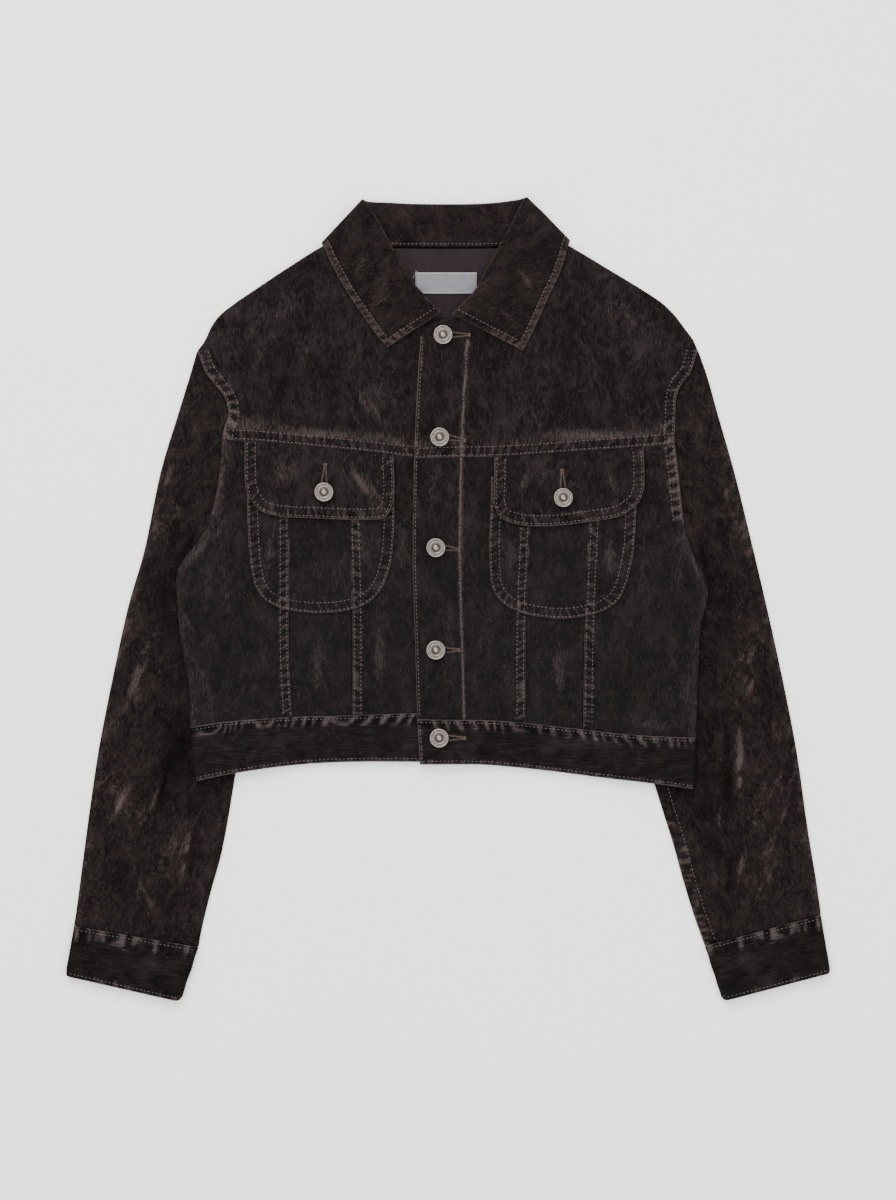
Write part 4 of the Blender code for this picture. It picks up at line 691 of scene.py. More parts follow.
def folded_edges(x, y):
    """Distance to the body's side edges and shoulders, where front and back meet."""
    edges = [OUTLINES[side["name"]][key] for side in SIDES for key in ("side", "shoulder")]
    return np.minimum.reduce([away(edge, x, y) for edge in edges])


def front_air(x, y):
    """Air between the back and the fronts."""
    return EDGE_AIR + (BODY_AIR - EDGE_AIR) * smooth(folded_edges(x, y) / EDGE_RISE)


def over_armhole(x, y):
    """Extra height of the fronts where their edge overhangs the upper sleeve."""
    seams = [OUTLINES[side["name"]]["armhole_hidden"] for side in SIDES]
    near = np.maximum.reduce([between(ARMHOLE_NEAR, away(seam, x, y)) for seam in seams])
    off_sleeve = 1.0 - smooth(body_floor(x, y) / OVER_SLEEVE)
    return OVER_ARMHOLE * near * between(ARMHOLE_FADE, y) * off_sleeve


def lap_over(x):
    """1 where the left front lies over the right one, 0 clear of it."""
    return between((LAP_DOWN, LAP_END), x)


def front_inside(x, y, side):
    """The underside of a front's panels, before its folded edge turns down."""
    level = body_floor(x, y) + CLOTH + front_air(x, y) + over_armhole(x, y)
    if side is LEFT:
        level = level + FRONT_LAP * lap_over(x)
    return level


def band_inside(x, y, side):
    """The underside of a front waistband."""
    level = body_floor(x, y) + DOUBLE + EDGE_AIR
    if side is LEFT:
        level = level + BAND_LAP * lap_over(x)
    return level


def turned_down(level, low, distance):
    """A height that comes down to low at a folded edge."""
    return low + (level - low) * smooth(distance / CURL)


def edge_level(x, y):
    """Where the fronts' folded edge comes down to: just over the back's floor or the sleeve."""
    sleeve = 0.0
    for side in SIDES:
        seam = OUTLINES[side["name"]]["armhole_hidden"]
        by_seam = (side["sign"] * x > 0.0) & (y < ARMHOLE_FADE[1]) & (y > seam[:, 1].min())
        sleeve = np.where(by_seam, SLEEVE_LOW + CLOTH, sleeve)
    return np.maximum(body_floor(x, y), sleeve) + FOLD_EDGE


def raised(distance, width, height):
    """Extra thickness of a band that runs along a seam, with a crisp step at its edge."""
    return height * (1.0 - smooth((distance - width) / STEP))


def open_sleeve(x, y, side):
    """1 where the sleeve shows, 0 where the body lies on it."""
    edge = OUTLINES[side["name"]]["side"]
    outside = side["sign"] * (x - x_at(edge, y))
    return between((2.0, 36.0), np.maximum(outside, edge[:, 1].min() - y))


def sleeve_folds(x, y):
    """Height of the sleeves' largest folds."""
    height = np.zeros_like(x)
    for fold_x, fold_y, length, degrees, width, rise in SLEEVE_FOLDS:
        run, off = turned(x - fold_x, y - fold_y, degrees)
        height = height + rise * long_bump(run, off, length, width)
    return height


def sleeve_inside(x, y, side):
    """The underside of the upper sleeve."""
    lines = OUTLINES[side["name"]]
    seam = lines["armhole_hidden"]
    folds = np.minimum(away(lines["sleeve_outer"], x, y), away(lines["sleeve_fold"], x, y))
    shows = open_sleeve(x, y, side) * smooth(away(seam, x, y) / 60.0)
    puff = SLEEVE_PUFF * smooth(folds / 30.0) + sleeve_folds(x, y) * smooth(folds / 16.0)
    level = SLEEVE_LOW + np.maximum(puff, 0.0) * shows
    top = lines["sleeve_fold"][:, 1].max()
    underarm = between((top - 40.0, top - 16.0), y)
    underarm = underarm * (away(lines["sleeve_fold"], x, y) < away(lines["sleeve_outer"], x, y))
    edge = SLEEVE_EDGE + (SLEEVE_LOW - SLEEVE_EDGE) * underarm
    return turned_down(level, edge, folds)


# ---- nets: fine grids of points inside the outlines ----


def nearest(curve, x, y):
    """Distance from each point to a dense curve, and how far along the curve that is."""
    flat_x, flat_y = np.ravel(x), np.ravel(y)
    start, run = curve[:-1], np.diff(curve, axis=0)
    size = np.maximum(np.sum(run * run, 1), 1e-9)
    begun = along(curve)[:-1]
    distance, where = np.empty(len(flat_x)), np.empty(len(flat_x))
    for first in range(0, len(flat_x), BLOCK):
        part = slice(first, first + BLOCK)
        off_x = flat_x[part, None] - start[:, 0]
        off_y = flat_y[part, None] - start[:, 1]
        share = np.clip((off_x * run[:, 0] + off_y * run[:, 1]) / size, 0.0, 1.0)
        gap = (off_x - share * run[:, 0]) ** 2 + (off_y - share * run[:, 1]) ** 2
        pick = np.argmin(gap, 1)
        rows = np.arange(len(pick))
        distance[part] = np.sqrt(gap[rows, pick])
        where[part] = begun[pick] + share[rows, pick] * np.sqrt(size[pick])
    return distance.reshape(np.shape(x)), where.reshape(np.shape(x))


def inward_normals(line, target):
    """Unit vectors square to a line of points, on the side where the target is."""
    run = np.gradient(line, axis=0)
    normal = np.stack([-run[:, 1], run[:, 0]], -1)
    normal /= np.maximum(np.linalg.norm(normal, axis=1), 1e-9)[:, None]
    wrong_way = np.sum(normal * (target - line), 1) < 0.0
    return normal * np.where(wrong_way, -1.0, 1.0)[:, None]


def beside(curve, amount, target):
    """A curve moved square to itself, towards the target."""
    return curve + inward_normals(curve, np.asarray(target, dtype=float)) * amount


def grid(bottom, top, left, right, start, count, end, fade=1.12):
    """Columns from the bottom points to the top points, bent to the left and right curves."""
    share = (along(bottom) / along(bottom)[-1] + along(top) / along(top)[-1]) / 2.0
    left_run = along(left) / along(left)[-1]
    right_run = along(right) / along(right)[-1]
    rows = []
    for i in range(len(bottom)):
        length = np.linalg.norm(top[i] - bottom[i])
        squeeze = min(1.0, length / (3.0 * max(start[-1] + end[0], 1.0)))
        t = marks(length, np.asarray(start) * squeeze, count, np.asarray(end) * squeeze) / length
        straight = bottom[i] + (top[i] - bottom[i]) * t[:, None]
        bend = np.zeros_like(straight)
        for curve, run, base, tip, weight in (
            (left, left_run, bottom[0], top[0], 1.0 - smooth(fade * share[i])),
            (right, right_run, bottom[-1], top[-1], 1.0 - smooth(fade * (1.0 - share[i]))),
        ):
            on_curve = np.stack([np.interp(t, run, curve[:, k]) for k in (0, 1)], -1)
            bend += weight * (on_curve - (base + (tip - base) * t[:, None]))
        rows.append(straight + bend)
    return np.array(rows)


def fine_net(bottom, top, left, right, step, borders=(EDGE, EDGE, EDGE, EDGE), inset=SEAM_INSET):
    """A net of points inside four border curves, with marks of their own along each border.

    step is the spacing across and along, borders are the left, right, bottom and top marks.
    """
    centre = np.mean([bottom.mean(0), top.mean(0), left.mean(0), right.mean(0)], axis=0)
    bottom, top, left, right = (beside(line, inset, centre) for line in (bottom, top, left, right))
    from_left, from_right, from_bottom, from_top = borders
    widest = max(along(bottom)[-1], along(top)[-1]) - from_left[-1] - from_right[-1]
    tallest = max(along(left)[-1], along(right)[-1]) - from_bottom[-1] - from_top[-1]
    columns = max(2, int(widest / step[0]))
    rows = max(2, int(tallest / step[1]))
    low = at(bottom, marks(along(bottom)[-1], from_left, columns, from_right[::-1]))
    high = at(top, marks(along(top)[-1], from_left, columns, from_right[::-1]))
    return grid(low, high, left, right, from_bottom, rows, from_top[::-1])


def border_distances(net):
    """Distance of each point of a net from its four borders: left, right, bottom and top."""
    across_steps = np.linalg.norm(np.diff(net, axis=0), axis=-1)
    along_steps = np.linalg.norm(np.diff(net, axis=1), axis=-1)
    from_left = np.pad(np.cumsum(across_steps, 0), ((1, 0), (0, 0)))
    from_bottom = np.pad(np.cumsum(along_steps, 1), ((0, 0), (1, 0)))
    return (from_left, from_left[-1:] - from_left, from_bottom, from_bottom[:, -1:] - from_bottom)


# ---- relief, wear with painted highlights, and painted shade ----


def noise(u, v, seed):
    """Smooth noise from -1 to 1 whose features are about one unit across."""
    table = np.random.default_rng(seed).uniform(-1.0, 1.0, (64, 64))
    i, j = np.floor(u).astype(int), np.floor(v).astype(int)
    right, up = smooth(u - i), smooth(v - j)
    low = table[i % 64, j % 64] * (1.0 - right) + table[(i + 1) % 64, j % 64] * right
    high = table[i % 64, (j + 1) % 64] * (1.0 - right) + table[(i + 1) % 64, (j + 1) % 64] * right
    return low * (1.0 - up) + high * up


def turned_noise(x, y, degrees, across_size, along_size, seed):
    """Noise with its features drawn out along a direction; sizes in millimetres."""
    run, off = turned(x, y, degrees)
    return noise(run / along_size + 17.3, off / across_size + 5.9, seed)


def creases(x, y, table):
    """Height of listed creases: soft ridges, or troughs where the height is negative."""
    height = np.zeros_like(x)
    for crease_x, crease_y, length, degrees, width, rise, bend in table:
        run, off = turned(x - crease_x, y - crease_y, degrees)
        off = off - bend * (run / (length / 2.0)) ** 2
        width = width * (0.75 + 0.25 * np.cos(run / length * 7.0 + crease_x))
        height = height + rise * long_bump(run, off, length, width)
    return height


def puckers(distance, run, width, seed, wide=False):
    """The ladder of small blocks beside a seam's stitches: about -1 to 1.

    Under the waist seam they are wider and die away softly.
    """
    pitch, solid, end = PUCKER_PITCH, width - 0.6, width + 1.6
    if wide:
        pitch, solid, end = WIDE_PUCKER_PITCH, 0.6 * width, 1.4 * width
    shift = 1.5 * noise(run / 24.0, distance / 40.0, seed) + 0.05 * distance
    strength = 0.5 + 0.5 * np.abs(noise(run / 13.0, distance / 30.0, seed + 1))
    blocks = strength * np.sin(2.0 * math.pi * (run / pitch + shift))
    blocks = blocks + 0.35 * noise(run / 2.6, distance / 6.0, seed + 2)
    inside = between((end, solid), distance) * smooth(distance / 1.5)
    return blocks * inside, inside


def groove(distance):
    """The groove that a row of stitches pulls into the cloth."""
    return -GROOVE_DEPTH * bell(distance, GROOVE_WIDTH)


def worked_cloth(x, y, bands=(), table=(), calm=1.0, seed=0):
    """Relief of a panel in millimetres, with the wear and painted highlight of its high places and
    the painted shade of its low places.

    bands are (curve, rows of stitches, width, height) and where one side only counts, its mask;
    table holds creases; calm fades the drifting unevenness.
    """
    relief = calm * DRIFT * (
        turned_noise(x, y, 86.0, 17.0, 60.0, seed + 3)
        + 0.6 * turned_noise(x, y, 60.0, 11.0, 30.0, seed + 4)
        + 0.35 * turned_noise(x, y, 110.0, 6.0, 13.0, seed + 5)
    )
    placed = creases(x, y, table) if len(table) else np.zeros_like(x)
    # Painted highlight on the crests of the creases and painted shade in their troughs
    wear_and_highlight = np.clip(placed, 0.0, 1.0) * 0.45
    painted_shade = np.clip(-placed, 0.0, 1.0) * 0.7
    relief = relief + placed
    for number, (curve, rows, width, height, *open_side) in enumerate(bands):
        distance, run = nearest(curve, x, y)
        blocks, inside = puckers(
            distance, run, width, seed + 11 + 2 * number, wide=rows == (WAIST_ROW,)
        )
        for mask in open_side:
            blocks, inside, distance = blocks * mask, inside * mask, distance + 9.0 * (1.0 - mask)
        relief = relief * (1.0 - 0.7 * inside) + height * blocks
        for row in rows:
            relief = relief + groove(distance - row)
        # Pucker blocks: lighter crests, partly rubbed pile and partly painted highlight, and painted
        # shade between them; the seam's rubbed edge is real wear
        wear_and_highlight = wear_and_highlight + inside * np.clip(0.12 + 2.1 * height * blocks, 0.0, 0.95)
        wear_and_highlight = wear_and_highlight + bell(distance, EDGE_WEAR)
        painted_shade = painted_shade + inside * np.clip(-2.4 * height * blocks - 0.1, 0.0, 1.0)
    return relief, np.clip(wear_and_highlight, 0.0, 1.0), np.clip(painted_shade, 0.0, 1.0)


# ---- objects ----


def add_object(name, data):
    """An object with this data, in the scene."""
    made = bpy.data.objects.new(name, data)
    bpy.context.scene.collection.objects.link(made)
    return made


def add_mesh(name, points, faces, uv, looks, material):
    """A smooth-shaded mesh from points in millimetres, quads, a map in metres and attributes."""
    mesh = bpy.data.meshes.new(name)
    faces = np.asarray(faces, dtype=np.int32)
    mesh.vertices.add(len(points))
    mesh.vertices.foreach_set("co", np.ravel(np.asarray(points) * MM).astype(np.float32))
    mesh.loops.add(faces.size)
    mesh.loops.foreach_set("vertex_index", np.ravel(faces))
    mesh.polygons.add(len(faces))
    starts = np.arange(len(faces), dtype=np.int32) * faces.shape[1]
    mesh.polygons.foreach_set("loop_start", starts)
    mesh.update(calc_edges=True)
    mesh.shade_smooth()
    corners = np.asarray(uv)[np.ravel(faces)] * MM
    mesh.uv_layers.new(name="UVMap").data.foreach_set("uv", np.ravel(corners).astype(np.float32))
    for key, values in looks.items():
        attribute = mesh.attributes.new(key, "FLOAT", "POINT")
        attribute.data.foreach_set("value", np.ravel(values).astype(np.float32))
    mesh.validate()
    mesh.materials.append(material)
    return add_object(name, mesh)


def shell_faces(columns, rows, closed):
    """Quads of both sides of a shell and of its rims; the far side's points come second."""
    step = np.arange(columns if closed else columns - 1)
    level = np.arange(rows - 1)
    i, j = (np.ravel(index) for index in np.meshgrid(step, level, indexing="ij"))
    here, there = i * rows + j, (i + 1) % columns * rows + j
    near = np.stack([here, there, there + 1, here + 1], -1)
    base, last, end = columns * rows, rows - 1, (columns - 1) * rows
    here, there = step * rows, (step + 1) % columns * rows
    rims = [(there, here), (here + last, there + last)]
    if not closed:
        rims += [(level, level + 1), (end + level + 1, end + level)]
    edges = [np.stack([a, b, b + base, a + base], -1) for a, b in rims]
    return np.vstack([near, near[:, ::-1] + base, *edges])


def add_shell(name, middle, outward, relief, uv, looks, material, closed=False, rounding=None):
    """A wall of cloth: middle and outward are nets, outward reaches from mid-wall to the face."""
    columns, rows = middle.shape[:2]
    from_left, from_right, from_bottom, from_top = border_distances(middle)
    ends = np.minimum(from_bottom, from_top)
    edge = ends if closed else np.minimum(ends, np.minimum(from_left, from_right))
    half = np.linalg.norm(outward, axis=-1)
    radius = half if rounding is None else np.minimum(half, rounding)
    inside = np.clip(1.0 - edge / np.maximum(radius, 1e-6), 0.0, 1.0)
    profile = np.sqrt(np.maximum(1.0 - inside**2, 0.0))
    profile = np.maximum(profile, THINNEST / np.maximum(half, 1e-6))
    unit = outward / np.maximum(half, 1e-6)[..., None]
    lift = relief * smooth(edge / 1.5)
    face = middle + outward * profile[..., None] + unit * lift[..., None]
    back = middle - outward * profile[..., None]
    faces = shell_faces(columns, rows, closed)
    across_line = np.roll(face, -1, axis=0)[:-1, :-1] - face[:-1, :-1]
    along_line = face[:-1, 1:] - face[:-1, :-1]
    if np.sum(np.cross(across_line, along_line) * outward[:-1, :-1]) < 0.0:
        faces = faces[:, ::-1]
    points = np.vstack([face.reshape(-1, 3), back.reshape(-1, 3)])
    both = {key: np.concatenate([np.ravel(value)] * 2) for key, value in looks.items()}
    uv = np.vstack([uv.reshape(-1, 2)] * 2)
    piece = add_mesh(name, points, faces, uv, both, material)
    SURFACES[name] = face
    return piece


def level_wall(plan, height, half):
    """A wall over its plan: its middle at this height, and half of it towards the outer face."""
    middle = np.concatenate([plan, height[..., None]], -1)
    outward = np.zeros_like(middle)
    outward[..., 2] = half
    return middle, outward


def lay(name, plan, height, wall, relief, uv, looks, material):
    """A cloth panel over its plan, with its underside at this height."""
    middle, outward = level_wall(plan, height + wall / 2.0, wall / 2.0)
    return add_shell(name, middle, outward, relief, uv, looks, material)


def dress(piece, node):
    """The piece rides on the body and stands for its node."""
    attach(piece, "root")
    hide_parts(node)
    areas = np.zeros(len(piece.data.polygons))
    piece.data.polygons.foreach_get("area", areas)


# ---- the back and the neck ----


def looks_of(wear_and_highlight, painted_shade, cool=0.0):
    """The attributes that the velvet reads."""
    return {"wear_and_highlight": wear_and_highlight, "painted_shade": painted_shade, "cool": np.zeros_like(wear_and_highlight) + cool}


def back_side(side):
    """The back panel's side seam and armhole, from the waist up to the shoulder."""
    lines = OUTLINES[side["name"]]
    hidden = beside(lines["armhole_hidden"], 0.8, INTO_BODY)
    hidden = hidden[hidden[:, 1] < lines["shoulder"][0, 1] - ARMHOLE_STOP]
    seam = upright(lines["side"], side["waist"][0][1], hidden[0, 1] - 6.0)
    return np.vstack([beside(seam, BACK_INSET, INTO_BODY), hidden[4:]])


def make_back():
    """The back panel and the back's hem band."""
    left, right = (back_side(side) for side in SIDES)
    bottom = across(BACK["waist"], left[0][0], right[0][0])
    shoulders = []
    for side, edge in ((RIGHT, left), (LEFT, right)):
        line = beside(OUTLINES[side["name"]]["shoulder"], BACK_INSET, INTO_BODY)
        line[0] = edge[-1]
        shoulders.append(at(line, np.linspace(0.0, along(line)[-1] - NECK_CORNER, 30)))
    neck = BACK["neck"].copy()
    neck[0], neck[-1] = shoulders[0][-1], shoulders[1][-1]
    across_neck = at(neck, np.linspace(0.0, along(neck)[-1], 30))
    top = np.vstack([shoulders[0], across_neck[1:-1], shoulders[1][::-1]])
    share = along(bottom)[-1] * np.linspace(0.0, 1.0, len(top))
    plan = grid(at(bottom, share), top, left, right, (0.0, 0.4, 1.2), 110, (1.6, 1.2, 0.8))
    x, y = plan[..., 0], plan[..., 1]
    height = body_floor(x, y)
    relief, wear_and_highlight, painted_shade = worked_cloth(x, y, table=BACK_CREASES, seed=40)
    middle, outward = level_wall(plan, height + CLOTH / 2.0, -CLOTH / 2.0)
    middle[..., 2] += np.clip(relief, 0.0, 1.2) * smooth(height / 0.5 + 1.0)
    piece = add_shell("back_body", middle, outward, np.zeros_like(x), plan,
                      looks_of(wear_and_highlight, painted_shade), velvet(BODY_VELVET))
    dress(piece, "back_panel")

    left, right = (
        upright(OUTLINES[side["name"]]["side"], BACK_HEM[end][1], BACK_WAIST[end][1])
        - np.array([side["sign"] * BACK_INSET, 0.0]) for side, end in ((RIGHT, 0), (LEFT, -1))
    )
    low = across(BACK["hem"], left[0][0], right[0][0])
    high = across(BACK["waist"], left[-1][0], right[-1][0])
    plan = fine_net(low, high, left, right, (3.0, 3.0), (EDGE, EDGE, HEM_MARKS, WAIST_MARKS))
    x, y = plan[..., 0], plan[..., 1]
    bands = ((high, (WAIST_ROW,), 11.0, 0.4), (low, (HEM_ROW,), 6.0, 0.3))
    relief, wear_and_highlight, painted_shade = worked_cloth(x, y, bands, seed=50)
    middle, outward = level_wall(plan, body_floor(x, y) + DOUBLE / 2.0, -DOUBLE / 2.0)
    piece = add_shell("back_hem_band", middle, outward, np.minimum(relief, 0.0) * 0.5,
                      plan[..., ::-1], looks_of(wear_and_highlight, painted_shade), velvet("Velvet, bands"))
    dress(piece, "back_waistband")


def make_neck():
    """The satin lining inside the back neck and the blank woven label on it."""
    top, bottom = spline(LINING_TOP), spline(LINING_BOTTOM)
    left, right = (spline(points) for points in LINING_SIDES)
    plan = fine_net(bottom, top, left, right, (1.6, 1.6))
    x, y = plan[..., 0], plan[..., 1]
    height = body_floor(x, y) + CLOTH + LAYER_GAP
    relief = 0.25 * turned_noise(x, y, 80.0, 9.0, 34.0, 61) * between((318.0, 300.0), y)
    relief = relief + creases(x, y, LINING_CREASES)
    label_x, label_y = LABEL["x"], LABEL["y"]
    outside = np.maximum(
        np.abs(x - sum(label_x) / 2.0) - (label_x[1] - label_x[0]) / 2.0,
        np.abs(y - sum(label_y) / 2.0) - (label_y[1] - label_y[0]) / 2.0,
    )
    relief = relief * smooth(outside / 6.0)
    zero = np.zeros_like(x)
    piece = lay("satin_back_neck", plan, height, SATIN, relief, plan, looks_of(zero, zero),
                satin())
    dress(piece, "neck_lining")

    low = np.stack([np.linspace(*label_x, 40), np.full(40, label_y[0])], -1)
    high = low + np.array([0.0, label_y[1] - label_y[0]])
    left, right = (np.array([low[end], high[end]]) for end in (0, -1))
    plan = fine_net(low, high, left, right, (0.9, 0.9), inset=0.1)
    x, y = plan[..., 0], plan[..., 1]
    height = body_floor(x, y) + CLOTH + LAYER_GAP + SATIN + LABEL_GAP
    folds = np.minimum(y - label_y[0], label_y[1] - y)
    relief = -0.28 * smooth((folds - 2.6) / 0.5) + 0.12 * noise(x / 14.0, y / 9.0, 63)
    wear_and_highlight = 1.0 - smooth((folds - 0.7) / 0.5)
    piece = lay("woven_label", plan, height, SATIN, relief, plan,
                looks_of(wear_and_highlight, np.zeros_like(x)), woven_label())
    dress(piece, "neck_label")


# ---- the fronts ----


def shown(x, side):
    """0 where the right front is hidden beneath the left one."""
    if side is LEFT:
        return np.ones_like(x)
    return between(HIDDEN_RIGHT, x)


def panel_corners(side, riser):
    """A lap seam or edge between the waist seam and the yoke seam."""
    lines = OUTLINES[side["name"]]
    return meet(lines["waist"], riser), meet(lines["yoke_seam"], riser)


def placket(x, y, side):
    """The thicker facing along the left front's edge."""
    if side is RIGHT:
        return np.zeros_like(x)
    return raised(away(OUTLINES["left"]["front_edge"], x, y), PLACKET_WIDTH, PLACKET_RAISE)


def lap_raise(x, y, side, name):
    """The lapped seam's raised edge, on the panel that lies over its neighbour."""
    lines = OUTLINES[side["name"]]
    clear = smooth(away(lines["yoke_seam"], x, y) / LAP_FADE)
    if name == "side":
        return clear * raised(away(lines["outer_lap"], x, y), LAP_WIDTH, LAP_RAISE)
    if name == "center":
        lap = clear * raised(away(lines["inner_lap"], x, y), LAP_WIDTH, LAP_RAISE)
        return lap + placket(x, y, side)
    return np.zeros_like(x)


def under_pocket(x, y, side):
    """1 in the open, 0 where a pocket lies on the cloth, which is flat there."""
    lines = OUTLINES[side["name"]]
    left = x_at(lines["pocket_left"], y)
    right = x_at(lines["pocket_right"], y)
    bottom = y_at(lines["pocket_bottom"], x)
    inside = np.minimum(np.minimum(x - left, right - x), np.minimum(y - bottom, 150.0 - y))
    return between((2.0, -5.0), inside)


def under_lap(x, side):
    """1 in the open, 0 where the left front lies on the right one."""
    if side is LEFT:
        return np.ones_like(x)
    return between(UNDER_LEFT, x)


def front_bands(edge):
    """The worked bands by the left front's edge and by the inner edge of its facing."""
    facing = beside(edge, FACING_ROW, INTO_LEFT)
    return [(edge, (FRONT_ROW,), 4.0, 0.15), (facing, (0.8,), 2.2, 0.06)]


def make_yoke(side):
    """A front yoke from shoulder and neck down to its rubbed lower band."""
    lines = OUTLINES[side["name"]]
    shoulder, neck, seam = lines["shoulder"], lines["neck"], lines["yoke_seam"]
    parted = side["sign"] * YOKE_COLUMN
    outer = lines["armhole"]
    inner = upright(lines["front_edge"], seam[-1][1], neck[-1][1])
    low_outer = across(seam, seam[0][0], parted)
    low_inner = across(seam, parted, seam[-1][0])
    inner_marks = BAND_MARKS if side is LEFT else EDGE
    low, high = (
        np.vstack([
            at(first, marks(along(first)[-1], BAND_MARKS, 74, (0.0,))),
            at(second, marks(along(second)[-1], (0.0,), 40, inner_marks[::-1]))[1:],
        ])
        for first, second in ((low_outer, low_inner), (shoulder, neck))
    )
    centre = np.array([side["sign"] * 100.0, 200.0])
    plan = grid(
        beside(low, SEAM_INSET, centre), beside(high, SEAM_INSET, centre),
        beside(outer, ARMHOLE_INSET, centre), beside(inner, SEAM_INSET, centre),
        BAND_MARKS, 62, EDGE[::-1],
    )
    x, y = plan[..., 0], plan[..., 1]
    level = front_inside(x, y, side)
    side_fold = np.where(y < ARMHOLE_FOLD, away(outer, x, y), np.inf)
    folded = np.minimum(away(shoulder, x, y), side_fold)
    height = turned_down(level, edge_level(x, y), folded)
    seam_away = away(seam, x, y)
    extra = shown(x, side) * raised(seam_away, YOKE_BAND, YOKE_RAISE)
    bands = [(seam, YOKE_ROWS, 10.0, 0.2), (outer, ARMHOLE_ROWS, 10.0, 0.3)]
    if side is LEFT:
        bands += front_bands(inner)
    relief, wear_and_highlight, painted_shade = worked_cloth(
        x, y, bands, YOKE_CREASES[side["name"]], seed=70 + side["sign"]
    )
    rubbed = between((26.0, 12.0), seam_away) * between((8.6, 11.0), seam_away) * shown(x, side)
    rubbed = rubbed * (0.75 + 0.5 * turned_noise(x, y, 0.0, 20.0, 34.0, 66))
    wear_and_highlight = np.clip(wear_and_highlight + 0.5 * rubbed + patches(x, y, side), 0.0, 1.0)
    relief = relief * (0.25 + 0.75 * under_lap(x, side)) * (0.3 + 0.7 * smooth(folded / 8.0))
    piece = lay("yoke_" + side["name"], plan, height, CLOTH, relief + extra, plan,
                looks_of(wear_and_highlight, painted_shade), velvet(BODY_VELVET))
    dress(piece, "front_yoke_" + side["name"])


def make_panel(side, name, outer, inner, borders, bands, seed):
    """A front panel between the waist seam and the yoke seam."""
    lines = OUTLINES[side["name"]]
    outer_low, outer_high = panel_corners(side, outer)
    inner_low, inner_high = panel_corners(side, inner)
    plan = fine_net(
        across(lines["waist"], outer_low[0], inner_low[0]),
        across(lines["yoke_seam"], outer_high[0], inner_high[0]),
        upright(outer, outer_low[1], outer_high[1]), upright(inner, inner_low[1], inner_high[1]),
        (1.7, 2.3), borders,
    )
    x, y = plan[..., 0], plan[..., 1]
    height = front_inside(x, y, side)
    relief, wear_and_highlight, painted_shade = worked_cloth(x, y, bands, FRONT_CREASES[side["name"]], seed=seed)
    if name == "side":
        edge = away(outer, x, y)
        height = turned_down(height, edge_level(x, y), edge)
        # The folded side edge lighter: rubbed pile and painted highlight on the fold
        wear_and_highlight = wear_and_highlight + 0.4 * bell(edge, 9.0)
    relief = relief * under_pocket(x, y, side) * (0.25 + 0.75 * under_lap(x, side))
    wear_and_highlight = np.clip(wear_and_highlight + patches(x, y, side), 0.0, 1.0)
    piece = lay(name + "_panel_" + side["name"], plan, height, CLOTH,
                relief + lap_raise(x, y, side, name), plan,
                looks_of(wear_and_highlight, painted_shade, between(COOL_FADE, y)), velvet(BODY_VELVET))
    dress(piece, f"front_{name}_" + side["name"])


def make_fronts():
    """Yokes and the three panels of each front."""
    for side in SIDES:
        lines = OUTLINES[side["name"]]
        edge, outer, inner = lines["side"], lines["outer_lap"], lines["inner_lap"]
        front = lines["front_edge"]
        side_bands = [(outer, LAP_ROWS, 10.0, 0.42)]
        centre_bands = [(inner, LAP_ROWS, 10.0, 0.42)]
        front_marks = EDGE
        if side is LEFT:
            side_bands.append((upright(edge, 70.0, 140.0), ARMHOLE_ROWS, 10.0, 0.35))
            centre_bands += front_bands(front)
            front_marks = BAND_MARKS
        make_yoke(side)
        for name, left, right, left_marks, right_marks, bands, seed in (
            ("side", edge, outer, BAND_MARKS, BAND_MARKS, side_bands, 80),
            ("middle", outer, inner, EDGE, EDGE, (), 85),
            ("center", inner, front, BAND_MARKS, front_marks, centre_bands, 90),
        ):
            make_panel(side, name, left, right, (left_marks, right_marks, EDGE, EDGE), bands, seed)


def patches(x, y, side):
    """Listed worn places, as streaks of thin pile."""
    worn = np.zeros_like(x)
    for spot_x, spot_y, length, degrees, width, strength in WORN[side["name"]]:
        run, off = turned(x - spot_x, y - spot_y, degrees)
        worn = worn + strength * bell(off, width) * bell(2.0 * run, length)
    return worn


# ---- pockets, flaps and bands ----


def laps(side):
    """The two lapped seams of a front, each with the way its raised band lies in X."""
    lines = OUTLINES[side["name"]]
    return (lines["outer_lap"], side["sign"]), (lines["inner_lap"], -side["sign"])


def lap_ridges(x, y, side):
    """How far the lapped seams push up the cloth that lies on them."""
    ridge = np.zeros_like(x)
    near, far, near_crest, far_crest = RIDGE
    for seam, towards in laps(side):
        into_band = (x - x_at(seam, y)) * towards
        rise = between((near, near_crest), into_band) * between((far, far_crest), into_band)
        ridge = np.maximum(ridge, rise)
    return LAP_RAISE * ridge


def round_border(left, bottom, right):
    """One curve down a left border, along a bottom and up a right border."""
    return np.vstack([left[::-1][:-1], bottom[:-1], right])


